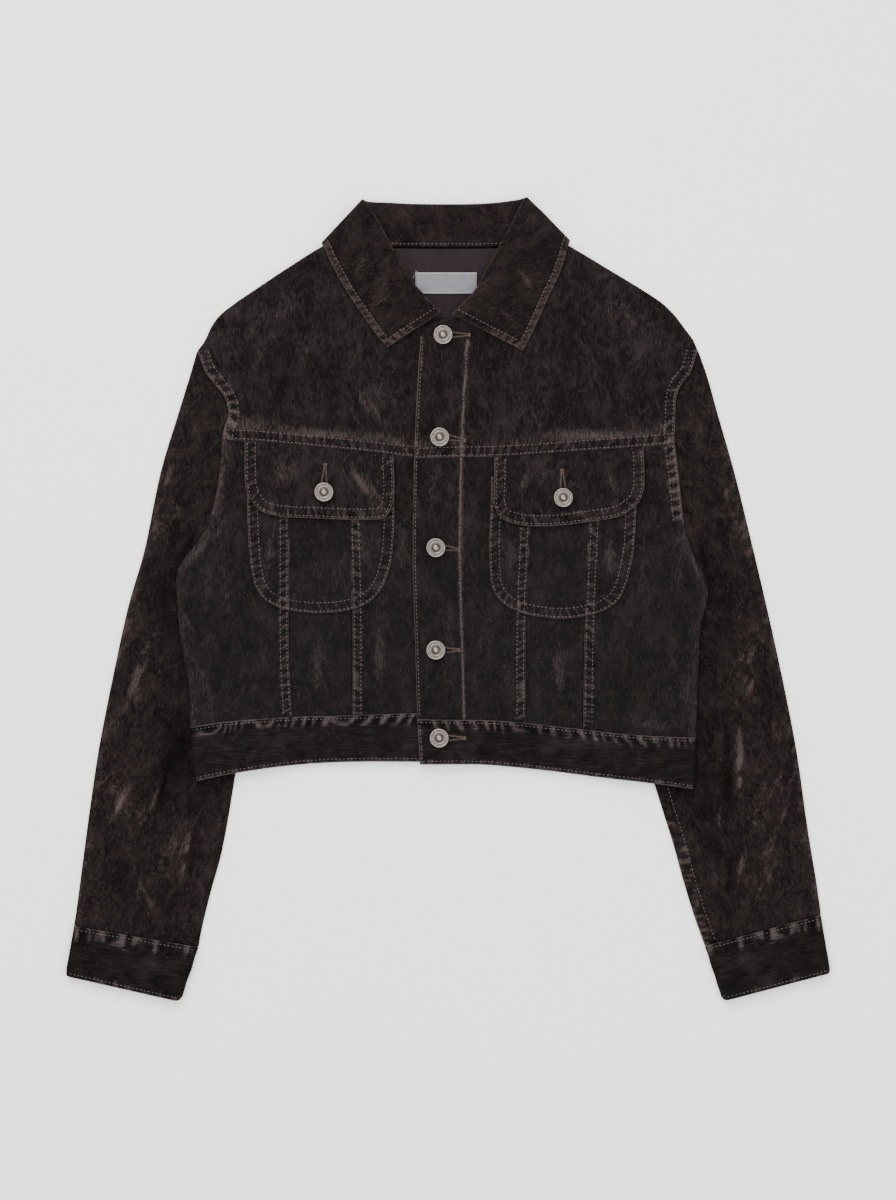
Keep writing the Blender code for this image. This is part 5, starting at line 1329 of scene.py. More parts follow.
def make_pockets():
    """Patch pockets with their double row of stitches, and the flaps over them."""
    for side in SIDES:
        lines = OUTLINES[side["name"]]
        left, right, bottom = lines["pocket_left"], lines["pocket_right"], lines["pocket_bottom"]
        top = spline((left[-1], right[-1]), 40)
        plan = fine_net(bottom, top, left, right, (1.7, 2.0),
                        (BAND_MARKS, BAND_MARKS, BAND_MARKS, EDGE))
        x, y = plan[..., 0], plan[..., 1]
        height = front_inside(x, y, side) + CLOTH + LAYER_GAP + lap_ridges(x, y, side)
        border = round_border(left, bottom, right)
        bands = [(border, POCKET_ROWS, 11.0, 0.28)]
        for seam, towards in laps(side):
            on_band = smooth((x - x_at(seam, y)) * towards + 0.5)
            bands.append((seam, LAP_ROWS, 9.5, 0.38, on_band))
        relief, wear_and_highlight, painted_shade = worked_cloth(
            x, y, bands, POCKET_CREASES[side["name"]], seed=100 + side["sign"]
        )
        wear_and_highlight = np.clip(wear_and_highlight + patches(x, y, side), 0.0, 1.0)
        relief = relief * between((104.0, 74.0), y)
        piece = lay("patch_pocket_" + side["name"], plan, height, CLOTH, relief, plan,
                    looks_of(wear_and_highlight, painted_shade, between(COOL_FADE, y)),
                    velvet(BODY_VELVET))
        dress(piece, "pocket_" + side["name"])
        make_flap(side)


def flap_inside(x, y, side):
    """A flap's underside: over the pocket, and tucked down to the yoke seam at its top."""
    seam = away(OUTLINES[side["name"]]["yoke_seam"], x, y)
    rise = FLAP_TUCKED + (FLAP_OVER_POCKET - FLAP_TUCKED) * smooth(seam / FLAP_TUCK)
    return front_inside(x, y, side) + CLOTH + rise


def make_flap(side):
    """A pocket flap, its top edge in the yoke seam."""
    lines = OUTLINES[side["name"]]
    left, right, bottom = lines["flap_left"], lines["flap_right"], lines["flap_bottom"]
    top = across(lines["yoke_seam"], left[-1][0], right[-1][0])
    left = np.vstack([left[:-1], top[:1]])
    right = np.vstack([right[:-1], top[-1:]])
    plan = fine_net(bottom, top, left, right, (1.6, 1.8),
                    (BAND_MARKS, BAND_MARKS, BAND_MARKS, EDGE))
    x, y = plan[..., 0], plan[..., 1]
    height = flap_inside(x, y, side)
    seam = away(lines["yoke_seam"], x, y)
    wall = FLAP_EDGE + (DOUBLE - FLAP_EDGE) * smooth(seam / FLAP_TUCK)
    border = round_border(left, bottom, right)
    relief, wear_and_highlight, painted_shade = worked_cloth(
        x, y, [(border, FLAP_ROWS, 11.5, 0.2)], FLAP_CREASES[side["name"]],
        seed=120 + side["sign"],
    )
    wear_and_highlight = np.clip(wear_and_highlight + patches(x, y, side), 0.0, 1.0)
    relief = relief * smooth(seam / 8.0)
    piece = lay("flap_" + side["name"], plan, height, wall, relief, plan,
                looks_of(wear_and_highlight, painted_shade), velvet(BODY_VELVET))
    dress(piece, "pocket_flap_" + side["name"])


def make_waistbands():
    """The front hem bands, whose grain runs round the body."""
    for side in SIDES:
        lines = OUTLINES[side["name"]]
        low = meet(lines["hem"], lines["side"])
        high = meet(lines["waist"], lines["side"])
        bottom = across(lines["hem"], side["hem"][0][0], lines["hem"][-1][0], 90)
        top = across(lines["waist"], high[0], lines["waist"][-1][0], 90)
        plan = fine_net(
            bottom, top, upright(lines["side"], low[1], high[1]),
            upright(lines["front_edge"], lines["hem"][-1][1], lines["waist"][-1][1]),
            (1.7, 1.8), (BAND_MARKS, BAND_MARKS if side is LEFT else EDGE, HEM_MARKS, WAIST_MARKS),
        )
        x, y = plan[..., 0], plan[..., 1]
        level = band_inside(x, y, side)
        height = turned_down(level, body_floor(x, y) + FOLD_EDGE, away(lines["side"], x, y))
        bands = [(lines["waist"], (WAIST_ROW,), 11.0, 0.45), (lines["hem"], (HEM_ROW,), 5.5, 0.2)]
        if side is LEFT:
            bands.append((lines["front_edge"], (FRONT_ROW,), 4.0, 0.15))
        relief, wear_and_highlight, painted_shade = worked_cloth(
            x, y, bands, BAND_CREASES[side["name"]], 0.7, seed=130 + side["sign"]
        )
        relief = relief * (0.25 + 0.75 * under_lap(x, side))
        cord = 0.35 * bell(away(lines["waist"], x, y) - 1.0, 1.0)
        piece = lay("hem_band_" + side["name"], plan, height, DOUBLE, relief + cord,
                    plan[..., ::-1], looks_of(wear_and_highlight, painted_shade), velvet("Velvet, bands"))
        dress(piece, "waistband_" + side["name"])


# ---- sleeves and cuffs ----


def sleeve_net(side, columns, rows, insets, narrowest):
    """Cross rows from the sleeve's outer edge to its armhole and inner edge."""
    lines = OUTLINES[side["name"]]
    inner_line = np.vstack([lines["sleeve_fold"][::-1][:-1], lines["armhole_hidden"]])
    table = np.array(side["sleeve_rows"])
    numbers = np.linspace(0.0, len(table) - 1, 4 * len(table) - 3)
    row_y = [np.interp(numbers, np.arange(len(table)), table[:, k]) for k in (0, 1)]
    outer = np.stack([x_at(lines["sleeve_outer"], row_y[0]), row_y[0]], -1)
    inner = np.stack([x_at(inner_line, row_y[1]), row_y[1]], -1)
    underarm = lines["sleeve_fold"][:, 1].max() + 30.0
    outer_inset, inner_inset = insets
    strip = []
    for start, end in zip(outer, inner):
        width = np.linalg.norm(end - start)
        if width < narrowest:
            continue
        tail = inner_inset
        if inner_inset and end[1] > underarm:
            tail = SLEEVE_SEAM_INSET
        elif end[1] > underarm - 100.0:
            tail = 1.6 * inner_inset
        squeeze = min(1.0, width / 40.0)
        first = outer_inset + np.array(SOFT_EDGE) * squeeze
        last = tail + np.array(SOFT_EDGE[::-1]) * squeeze
        t = marks(width, first, columns, last) / width
        strip.append(start + (end - start) * t[:, None])
    strip = np.stack(strip, 1)
    middle = strip[strip.shape[0] // 2]
    run = along(middle)
    spots = marks(run[-1] - SLEEVE_TIP_INSET, EDGE, rows, EDGE[::-1])
    spots = spots + SLEEVE_TIP_INSET
    spaced = [[np.interp(spots, run, column[:, axis]) for axis in (0, 1)] for column in strip]
    return np.moveaxis(np.array(spaced), 1, 2)


def sleeve_uv(plan):
    """The map of a sleeve piece: its grain runs along its middle column."""
    run = np.broadcast_to(along(plan[plan.shape[0] // 2]), plan.shape[:2])
    return np.stack([border_distances(plan)[0], run], -1)


def crumple(x, y, side):
    """The sleeves' crossing crush lines, strongest from the elbow down."""
    sign = side["sign"]
    lower = 0.45 + 0.55 * between((40.0, -90.0), y)
    seed = 150 + sign
    bend_x = x + 4.0 * turned_noise(x, y, 0.0, 30.0, 30.0, seed)
    bend_y = y + 4.0 * turned_noise(x, y, 0.0, 30.0, 30.0, seed + 1)
    lines = np.zeros_like(x)
    for degrees, across_size, along_size, strength in (
        (90.0 - 14.0 * sign, 15.0, 46.0, 0.5),
        (62.0, 12.0, 30.0, 0.42),
        (122.0, 12.0, 32.0, 0.42),
        (15.0, 9.0, 22.0, 0.26),
    ):
        waves = turned_noise(bend_x, bend_y, degrees, across_size, along_size, seed + 2)
        ridge = 1.0 - np.clip(np.abs(waves) * 4.5, 0.0, 1.0)
        gate = smooth(0.55 + 1.2 * turned_noise(x, y, degrees, 40.0, 50.0, seed + 7))
        lines = lines + strength * ridge * ridge * gate
        seed += 1
    return lines * lower


def make_sleeves():
    """Upper sleeves with their folds and crush lines, and the plain under sleeves."""
    for side in SIDES:
        name = side["name"]
        plan = sleeve_net(side, 64, 250, (0.0, 0.0), 0.0)
        x, y = plan[..., 0], plan[..., 1]
        lines = OUTLINES[name]
        height = sleeve_inside(x, y, side)
        shows = open_sleeve(x, y, side) * smooth(away(lines["armhole_hidden"], x, y) / 50.0)
        folds = np.minimum(away(lines["sleeve_outer"], x, y), away(lines["sleeve_fold"], x, y))
        bands = []
        if side is LEFT:
            seam = upright(lines["sleeve_fold"], -311.0, -165.0)
            bands.append((seam, (SLEEVE_ROW,), 11.0, 0.4))
        relief, wear_and_highlight, painted_shade = worked_cloth(
            x, y, bands, SLEEVE_CREASES[name], 1.2, seed=140 + side["sign"]
        )
        crush = crumple(x, y, side)
        placed = creases(x, y, SLEEVE_CREASES[name])
        large = sleeve_folds(x, y)
        # Painted shadow of the body's side edge on the sleeve, carried by the painted shade below
        shade = between((48.0, 4.0), away(lines["side"], x, y)) * between((90.0, 20.0), y)
        relief = (relief + 1.1 * crush) * shows * smooth(folds / 5.0)
        # Painted rim light along the sleeve's outer folded edge
        rim = 0.35 * bell(away(lines["sleeve_outer"], x, y), 6.0)
        # Crush lines and large fold crests lighter: crushed pile and painted highlight; the fold
        # troughs get painted shade below
        wear_and_highlight = wear_and_highlight + rim + 0.35 * crush + 0.16 * np.clip(large, 0.0, 2.0)
        ragged = np.clip(0.75 + 1.3 * turned_noise(x, y, 70.0, 3.5, 9.0, 148), 0.0, 1.3)
        wear_and_highlight = wear_and_highlight + 0.3 * np.clip(placed, 0.0, 1.2)
        wear_and_highlight = np.clip(wear_and_highlight * ragged, 0.0, 1.0) * shows
        painted_shade = np.clip(painted_shade + 0.3 * np.clip(-large, 0.0, 2.0) + 0.42 * shade, 0.0, 1.0)
        piece = lay("sleeve_upper_" + name, plan, height, CLOTH, relief, sleeve_uv(plan),
                    looks_of(wear_and_highlight, painted_shade), velvet("Velvet, sleeves"))
        dress(piece, "sleeve_top_" + name)

        plan = sleeve_net(side, 22, 90, (BACK_INSET, BACK_INSET), UNDER_NARROWEST)
        x, y = plan[..., 0], plan[..., 1]
        middle, outward = level_wall(plan, np.full_like(x, CLOTH / 2.0), -CLOTH / 2.0)
        dent = 0.5 * np.clip(crumple(x, y, side), 0.0, 1.0)
        middle[..., 2] += dent * smooth(np.minimum(*border_distances(plan)[:2]) / 12.0)
        zero = np.zeros_like(x)
        # The dents are darkened as painted shade
        piece = add_shell("sleeve_lower_" + name, middle, outward, zero, sleeve_uv(plan),
                          looks_of(zero, dent), velvet("Velvet, sleeves"))
        dress(piece, "sleeve_under_" + name)


def ring_section(start, end, wall):
    """A flattened ring across a cuff, from its outer to its inner end, half a wall inside it."""
    radius = (CUFF_THICK - wall) / 2.0
    width = np.linalg.norm(end - start)
    direction = (end - start) / width
    middle = CUFF_THICK / 2.0
    far = width - middle
    half_turn = np.radians(np.linspace(90.0, -90.0, CUFF_TURN_POINTS + 2)[1:-1])
    flat = np.linspace(middle, far, CUFF_FLAT_POINTS)
    points = [(t, CUFF_THICK - wall / 2.0) for t in flat]
    points += [(far + radius * math.cos(a), middle + radius * math.sin(a)) for a in half_turn]
    points += [(t, wall / 2.0) for t in flat[::-1]]
    points += [(middle - radius * math.cos(a), middle - radius * math.sin(a)) for a in half_turn]
    return np.array([(*(start + direction * t), z) for t, z in points])


def make_cuffs():
    """Closed cuff bands with rounded lower corners; the grain runs round the wrist."""
    for side in SIDES:
        top_outer, top_inner, low_outer, low_inner = (np.array(point) for point in side["cuff"])
        deep = float(np.linalg.norm(low_outer - top_outer))
        rows = marks(deep, CUFF_MARKS, 12, CUFF_MARKS[::-1])
        rings = []
        for run in rows:
            share = (run - CUFF_REACH * (1.0 - run / deep)) / deep
            start = top_outer + (low_outer - top_outer) * share
            end = top_inner + (low_inner - top_inner) * share
            from_hem = deep - run
            cut = 0.0
            if from_hem < CUFF_CORNER:
                cut = CUFF_CORNER - math.sqrt(CUFF_CORNER**2 - (CUFF_CORNER - from_hem) ** 2)
            direction = (end - start) / np.linalg.norm(end - start)
            start, end = start + direction * cut * 0.5, end - direction * cut
            rings.append([ring_section(start, end, wall) for wall in (0.0, 2.0 * DOUBLE)])
        face, inside = np.moveaxis(rings, 0, 2)
        middle, outward = (face + inside) / 2.0, (face - inside) / 2.0
        run = np.broadcast_to(rows[None, :], middle.shape[:2])
        ring = border_distances(middle)[0]
        top_row = 0.6 * noise(ring / 6.0, run / 20.0, 170) * between((16.0, 8.0), run)
        top_row = top_row + 0.25 * noise(ring / 2.6, run / 9.0, 171) * between((12.0, 7.0), run)
        low_row = 0.35 * noise(ring / 6.0, run / 9.0, 172) * between((6.0, 4.0), deep - run)
        relief = top_row + low_row + 0.5 * turned_noise(ring, run, 0.0, 9.0, 40.0, 173)
        for row in (CUFF_ROWS[0], deep - CUFF_ROWS[1]):
            relief = relief + groove(run - row)
        # Pucker crests lighter, partly rubbed pile and partly painted highlight, the rims rubbed,
        # and painted shade between the puckers
        wear_and_highlight = np.clip(2.2 * (top_row + low_row) + 0.2 * between((11.0, 8.0), run), 0.0, 1.0)
        wear_and_highlight = wear_and_highlight + 0.7 * bell(np.minimum(run, deep - run), 0.9)
        painted_shade = np.clip(-1.6 * (top_row + low_row), 0.0, 1.0)
        underside = middle[..., 2] < CUFF_THICK / 2.0
        relief = np.where(underside, np.minimum(relief, 0.0) * 0.3, relief)
        uv = np.stack([run, ring], -1)
        piece = add_shell("cuff_band_" + side["name"], middle, outward, relief, uv,
                          looks_of(np.clip(wear_and_highlight, 0.0, 1.0), painted_shade),
                          velvet("Velvet, bands"), closed=True)
        dress(piece, "cuff_" + side["name"])


# ---- the collar ----


def collar_section(fold, edge, seam, fold_line):
    """The collar's wall across one station: stand, fold and fall, at mid-wall."""
    to_seam = (seam - fold) / np.linalg.norm(seam - fold)
    to_edge = (edge - fold) / np.linalg.norm(edge - fold)
    inwards = to_seam + to_edge
    inwards /= np.linalg.norm(inwards)
    apart = np.cross(inwards, fold_line)
    apart /= np.linalg.norm(apart)
    middle = fold + inwards * FOLD_RADIUS
    turn = np.array([
        middle + FOLD_RADIUS * (apart * math.sin(angle) - inwards * math.cos(angle))
        for angle in np.radians(np.linspace(90.0, -90.0, 11))
    ])
    stand_length = np.linalg.norm(turn[0] - seam)
    edge = edge + to_edge * COLLAR_ROLL
    fall_length = np.linalg.norm(edge - turn[-1])
    scale = min(1.0, stand_length / 16.0)
    shares = marks(stand_length, np.array(STAND_MARKS) * scale, 5, (0.0,))[:-1] / stand_length
    stand = seam + (turn[0] - seam) * shares[:, None]
    shares = marks(fall_length, (0.0,), 24, COLLAR_MARKS[::-1])[1:] / fall_length
    crown = FALL_CROWN * between((WING_FOLD - 1.5, WING_FOLD + 1.5), fold[2])
    fall = turn[-1] + (edge - turn[-1]) * shares[:, None]
    fall[:, 2] += crown * np.sin(math.pi * shares)
    return np.vstack([stand, turn, fall])


def make_collar():
    """The turned-down collar: a stand, the fold and the fall with its stitched border."""
    stations = spline(np.reshape(COLLAR_STATIONS, (-1, 9)), 8)
    ends = marks(along(stations)[-1], COLLAR_MARKS, 190, COLLAR_MARKS[::-1])
    stations = at(stations, ends)
    fold_lines = np.gradient(stations[:, :3], axis=0)
    middle = np.array([
        collar_section(row[:3], row[3:6], row[6:], line)
        for row, line in zip(stations, fold_lines)
    ])
    across_line = np.gradient(middle, axis=0)
    along_line = np.gradient(middle, axis=1)
    normal = np.cross(across_line, along_line)
    normal /= np.maximum(np.linalg.norm(normal, axis=-1), 1e-9)[..., None]
    if normal[30, -20, 2] < 0.0:  # a point of the right wing's fall, which faces up
        normal = -normal
    turning = np.minimum(between((2.4, 3.2), stations[:, 2]), between((8.6, 7.8), stations[:, 2]))
    wall = DOUBLE - (DOUBLE - TURN_WALL) * turning
    outward = normal * (wall / 2.0)[:, None, None]
    from_start, from_end, from_seam, from_edge = border_distances(middle)
    front = np.minimum(from_start, from_end)
    border = np.minimum(from_edge, front)
    on_fall = from_edge < from_seam - 10.0
    run = np.where(from_edge < front, from_start, from_edge)
    pucker, inside = (values * on_fall for values in puckers(border, run, 7.0, 180))
    stand_pucker = 0.3 * noise(from_start / 5.0, from_seam / 20.0, 182)
    stand_pucker = stand_pucker * between((9.0, 5.0), from_seam)
    x, y = middle[..., 0], middle[..., 1]
    drift = 0.45 * turned_noise(x, y, 40.0, 16.0, 40.0, 183) * between((0.0, 30.0), border)
    placed = creases(x, y, COLLAR_CREASES) * (middle[..., 2] > 5.0) * on_fall
    relief = 0.3 * pucker + stand_pucker + drift + placed
    relief = relief - 0.32 * bell(border - COLLAR_ROW, GROOVE_WIDTH) * on_fall
    relief = relief + groove(from_seam - STAND_ROW)
    relief = relief * between((5.2, 6.2), middle[..., 2] + 100.0 * (outward[..., 2] > 0.2))
    # Puckers and the crest of the fold lighter, partly rubbed pile and partly painted highlight;
    # painted shade between the puckers, in the crease troughs and beside the border's row
    wear_and_highlight = np.clip(0.25 * pucker + 0.42 * inside, 0.0, 1.0)
    wear_and_highlight = wear_and_highlight + 0.6 * bell(border, 1.2)
    turn_rows = slice(len(STAND_MARKS) + 5, len(STAND_MARKS) + 16)
    crest = np.zeros(middle.shape[1])
    crest[turn_rows] = np.sin(np.linspace(0.0, math.pi, 11))
    wear_and_highlight = wear_and_highlight + 0.5 * crest[None, :] + 0.6 * np.clip(placed, 0.0, 1.0)
    wear_and_highlight = np.clip(wear_and_highlight + 1.2 * np.clip(stand_pucker, 0.0, 1.0), 0.0, 1.0)
    painted_shade = np.clip(-0.4 * pucker - 1.5 * stand_pucker - 0.8 * placed, 0.0, 1.0)
    painted_shade = painted_shade + 0.5 * bell(border - COLLAR_ROW - 1.0, 1.2) * on_fall
    uv = np.stack([from_start, from_seam], -1)
    piece = add_shell("turned_down_collar", middle, outward, relief, uv,
                      looks_of(wear_and_highlight, painted_shade), velvet("Velvet, collar"))
    dress(piece, "collar")
    COLLAR_LINES.update(edge=from_edge, seam=from_seam, front=front)


# ---- materials ----


def hex_colour(code):
    """An sRGB hex colour as a linear one with full alpha."""
    values = [int(code[k : k + 2], 16) / 255.0 for k in (1, 3, 5)]
    linear = [v / 12.92 if v <= 0.04045 else ((v + 0.055) / 1.055) ** 2.4 for v in values]
    return (*linear, 1.0)


def shade_of(colour, tint=(1.0, 1.0, 1.0)):
    """A colour from the settings, tinted, with full alpha."""
    return (*(value * share for value, share in zip(colour, tint)), 1.0)


def add_node(tree, kind, inputs=None, **properties):
    """A node with its properties set; inputs hold constants or other nodes' outputs."""
    node = tree.nodes.new("ShaderNode" + kind)
    for key, value in properties.items():
        setattr(node, key, value)
    for key, value in (inputs or {}).items():
        if isinstance(value, bpy.types.NodeSocket):
            tree.links.new(value, node.inputs[key])
        else:
            node.inputs[key].default_value = value
    return node


def maths(tree, operation, *values):
    """The outcome of a Math node."""
    return add_node(tree, "Math", dict(enumerate(values)), operation=operation).outputs[0]


def blend(tree, share, first, second, **properties):
    """A colour between two others."""
    inputs = {0: share, 6: first, 7: second}
    return add_node(tree, "Mix", inputs, data_type="RGBA", **properties).outputs[2]


def ranged(tree, value, **limits):
    """A value moved from one range to another, such as to_min or from_max."""
    inputs = {key.replace("_", " ").title(): limit for key, limit in limits.items()}
    return add_node(tree, "MapRange", {"Value": value, **inputs}).outputs[0]


def painted(tree, key):
    """An attribute of the mesh as a share."""
    return add_node(tree, "Attribute", attribute_name=key).outputs["Fac"]


def set_surface(tree, shader, colour, height, strength, distance):
    """Give the shader its colour and its bumps."""
    tree.links.new(colour, shader.inputs["Base Color"])
    bump = {"Strength": strength, "Distance": distance, "Height": height}
    tree.links.new(add_node(tree, "Bump", bump).outputs[0], shader.inputs["Normal"])


def new_material(name, inputs):
    """A material of this name with these shader inputs, its tree and shader; None when made."""
    if name in bpy.data.materials:
        return bpy.data.materials[name], None, None
    material = bpy.data.materials.new(name)
    material.use_nodes = True
    shader = material.node_tree.nodes["Principled BSDF"]
    for key, value in inputs.items():
        shader.inputs[key].default_value = value
    return material, material.node_tree, shader


def pattern(
    tree, place, size, low, high, strength=1.0, degrees=0.0, detail=3.0, roughness=0.6,
    distortion=0.0,
):
    """Soft noise as a share: 0 below low, strength above high; size in mm across and along."""
    laid = add_node(tree, "Mapping", {
        "Vector": place, "Rotation": (0.0, 0.0, math.radians(degrees)),
        "Scale": (size[0] * MM, size[1] * MM, 1.0),
    }, vector_type="TEXTURE")
    cloud = add_node(tree, "TexNoise", {
        "Vector": laid.outputs[0], "Scale": 1.0, "Detail": detail, "Roughness": roughness,
        "Distortion": distortion,
    })
    return ranged(tree, cloud.outputs[0], from_min=low, from_max=high, to_max=strength)


def velvet(name):
    """Cotton velvet: a dense short pile that was crushed and rubbed by wear.

    It looks near black where the pile stands and points away, with soft mauve-brown lights where
    it is laid over or thin, blotches where it was crushed, and a faint sheen at the edges of
    folds. The name picks the piece's tint, streaks and crush.
    """
    material, tree, shader = new_material(name, {
        "Roughness": 0.95, "Specular IOR Level": 0.04, "Sheen Weight": SHEEN,
        "Sheen Roughness": 0.42, "Sheen Tint": hex_colour("#8d7877"),
    })
    if tree is None:
        return material
    tint, streak, crush, patches = VELVETS[name]
    made = jacket()
    deep, middle, light = (
        shade_of(colour, tint) for colour in (made.deep_pile, made.leaning_pile, made.worn_pile)
    )
    place = add_node(tree, "UVMap", uv_map="UVMap").outputs[0]
    worn, painted_shade_attribute, cooled = (painted(tree, key) for key in ("wear_and_highlight", "painted_shade", "cool"))
    # Blotches of 18 mm and clouds of 60 mm where the pile leans another way
    blotches = pattern(tree, place, (15.0, 22.0), 0.4, 0.64, 1.0, 0.0, 5.0, 0.62, 0.6)
    clouds = pattern(tree, place, (46.0, 70.0), 0.42, 0.6)
    colour = blend(tree, blotches, deep, middle)
    dark = ranged(tree, clouds, to_min=0.6, to_max=0.0)
    # The pile's own streaks, 1 mm across the grain, drawn a little coarse so that they show
    fine = pattern(tree, place, (1.0, streak), 0.48, 0.76, 0.19, 0.0, 3.0, 0.7)
    # Brushed patches of 5 to 10 mm, a shade lighter, with ragged borders
    brushed = pattern(tree, place, (7.0, 12.0), 0.47, 0.74, patches, 0.0, 6.0, 0.68, 1.2)
    # Crush strokes: the pile laid over along short leaning lines, here and there
    strokes = []
    for degrees, size in ((24.0, (2.4, 30.0)), (-34.0, (2.2, 24.0)), (71.0, (2.0, 18.0))):
        stroke = pattern(tree, place, size, 0.62, 0.78, crush, degrees, 2.0, 0.5, 0.5)
        strokes.append(maths(tree, "MULTIPLY", stroke, clouds))
    # Rubbed places and painted highlights on crests, broken up into streaks by the pile
    broken = pattern(tree, place, (1.5, 0.7 * streak), 0.3, 0.7, 0.8, 0.0, 4.0, 0.7)
    wear_and_highlight_streaks = maths(tree, "ADD", worn, broken)
    rubbed = ranged(tree, wear_and_highlight_streaks, from_min=0.62, from_max=1.65, to_max=0.95)
    # Painted shade: the colour darkened towards near black in troughs and shadowed places
    painted_shade = ranged(tree, painted_shade_attribute, to_max=0.85)
    cool = ranged(tree, cooled, to_max=0.3)
    # Lint: pale specks a fraction of a millimetre wide, some 9 mm apart
    spots = add_node(tree, "TexVoronoi", {"Vector": place, "Scale": 110.0})
    near = maths(tree, "LESS_THAN", spots.outputs["Distance"], 0.042)
    lint = maths(tree, "MULTIPLY", near, 0.5)
    for share, shade in (
        (dark, deep), (fine, light), (brushed, light), *((stroke, light) for stroke in strokes),
        (rubbed, light), (painted_shade, hex_colour(PAINTED_SHADE_COLOUR)), (cool, hex_colour(COOL_SHADE)),
        (lint, hex_colour("#5a5450")),
    ):
        colour = blend(tree, share, colour, shade, clamp_factor=True)
    nap = pattern(tree, place, (0.9, 3.2), 0.3, 0.7)
    height = maths(tree, "MULTIPLY_ADD", nap, 0.5, blotches)
    set_surface(tree, shader, colour, height, 0.5, 0.0006)
    return material


def woven(name, inputs, tones, colours, bump_size):
    """A smooth woven cloth: the sizes of its two patterns, its dark, light and worn colours."""
    material, tree, shader = new_material(name, inputs)
    if tree is None:
        return material
    place = add_node(tree, "UVMap", uv_map="UVMap").outputs[0]
    first, second = (pattern(tree, place, size, 0.3, 0.7, 0.5) for size in tones)
    plain = blend(tree, maths(tree, "ADD", first, second), *colours[:2])
    colour = blend(tree, painted(tree, "wear_and_highlight"), plain, colours[2])
    set_surface(tree, shader, colour, second, 0.4, bump_size)
    return material


def satin():
    """Satin lining, woven with floating threads: smooth, charcoal-plum, with soft long painted
    highlights in its colour.
    """
    colour = jacket().lining_colour
    shades = (shade_of(colour, (0.6, 0.58, 0.6)), shade_of(colour, (1.25, 1.22, 1.25)),
              shade_of(colour, (2.0, 2.0, 2.0)))
    return woven(
        "Satin, viscose lining",
        {"Roughness": 0.68, "Specular IOR Level": 0.05},
        ((22.0, 60.0), (0.8, 9.0)), shades, 0.0002,
    )


def woven_label():
    """A damask-woven polyester label: matt mid grey, its folded ends lighter, left blank."""
    colour = jacket().label_colour
    shades = (shade_of(colour, (0.82, 0.82, 0.82)), shade_of(colour, (1.2, 1.2, 1.18)),
              shade_of(colour, (1.75, 1.7, 1.62)))
    return woven(
        "Woven label, polyester", {"Roughness": 0.7, "Specular IOR Level": 0.3},
        ((9.0, 6.0), (5.0, 0.7)), shades, 0.0003,
    )


def worn_metal():
    """Die-cast zinc with a worn antique silver plating: bright on high edges, dull in recesses."""
    material, tree, shader = new_material("Antique silver plating, worn", {"Metallic": 1.0})
    if tree is None:
        return material
    place = add_node(tree, "UVMap", uv_map="UVMap").outputs[0]
    grime = pattern(tree, place, (2.2, 2.2), 0.35, 0.65, 1.0, 0.0, 4.0, 0.65)
    high = painted(tree, "wear_and_highlight")
    clean = maths(tree, "MULTIPLY", high, ranged(tree, grime, to_min=0.55, to_max=1.1))
    metal = jacket().metal_colour
    dull = shade_of(metal, (0.16, 0.145, 0.13))
    colour = blend(tree, clean, dull, shade_of(metal), clamp_factor=True)
    rough = maths(tree, "ADD", pattern(tree, place, (0.6, 0.6), 0.3, 0.75, 0.22), 0.32)
    tree.links.new(rough, shader.inputs["Roughness"])
    set_surface(tree, shader, colour, grime, 0.35, 0.0002)
    return material


def matt(name, first, second, spots_m, roughness):
    """A plain matt stuff of two close shades in soft spots of this size."""
    material, tree, shader = new_material(
        name, {"Roughness": roughness, "Specular IOR Level": 0.15}
    )
    if tree is None:
        return material
    place = add_node(tree, "TexCoord").outputs["Object"]
    tone = add_node(tree, "TexNoise", {"Vector": place, "Scale": 1.0 / spots_m, "Detail": 2.0})
    tree.links.new(blend(tree, tone.outputs[0], first, second), shader.inputs["Base Color"])
    return material


def sewing_thread(name, colour):
    """Spun thread: matt, with its twist as small light and dark turns."""
    shades = (shade_of(colour, (0.45, 0.44, 0.43)), shade_of(colour, (1.35, 1.35, 1.35)))
    return matt(name, *shades, 0.003, 0.75)


# ---- the stage ----


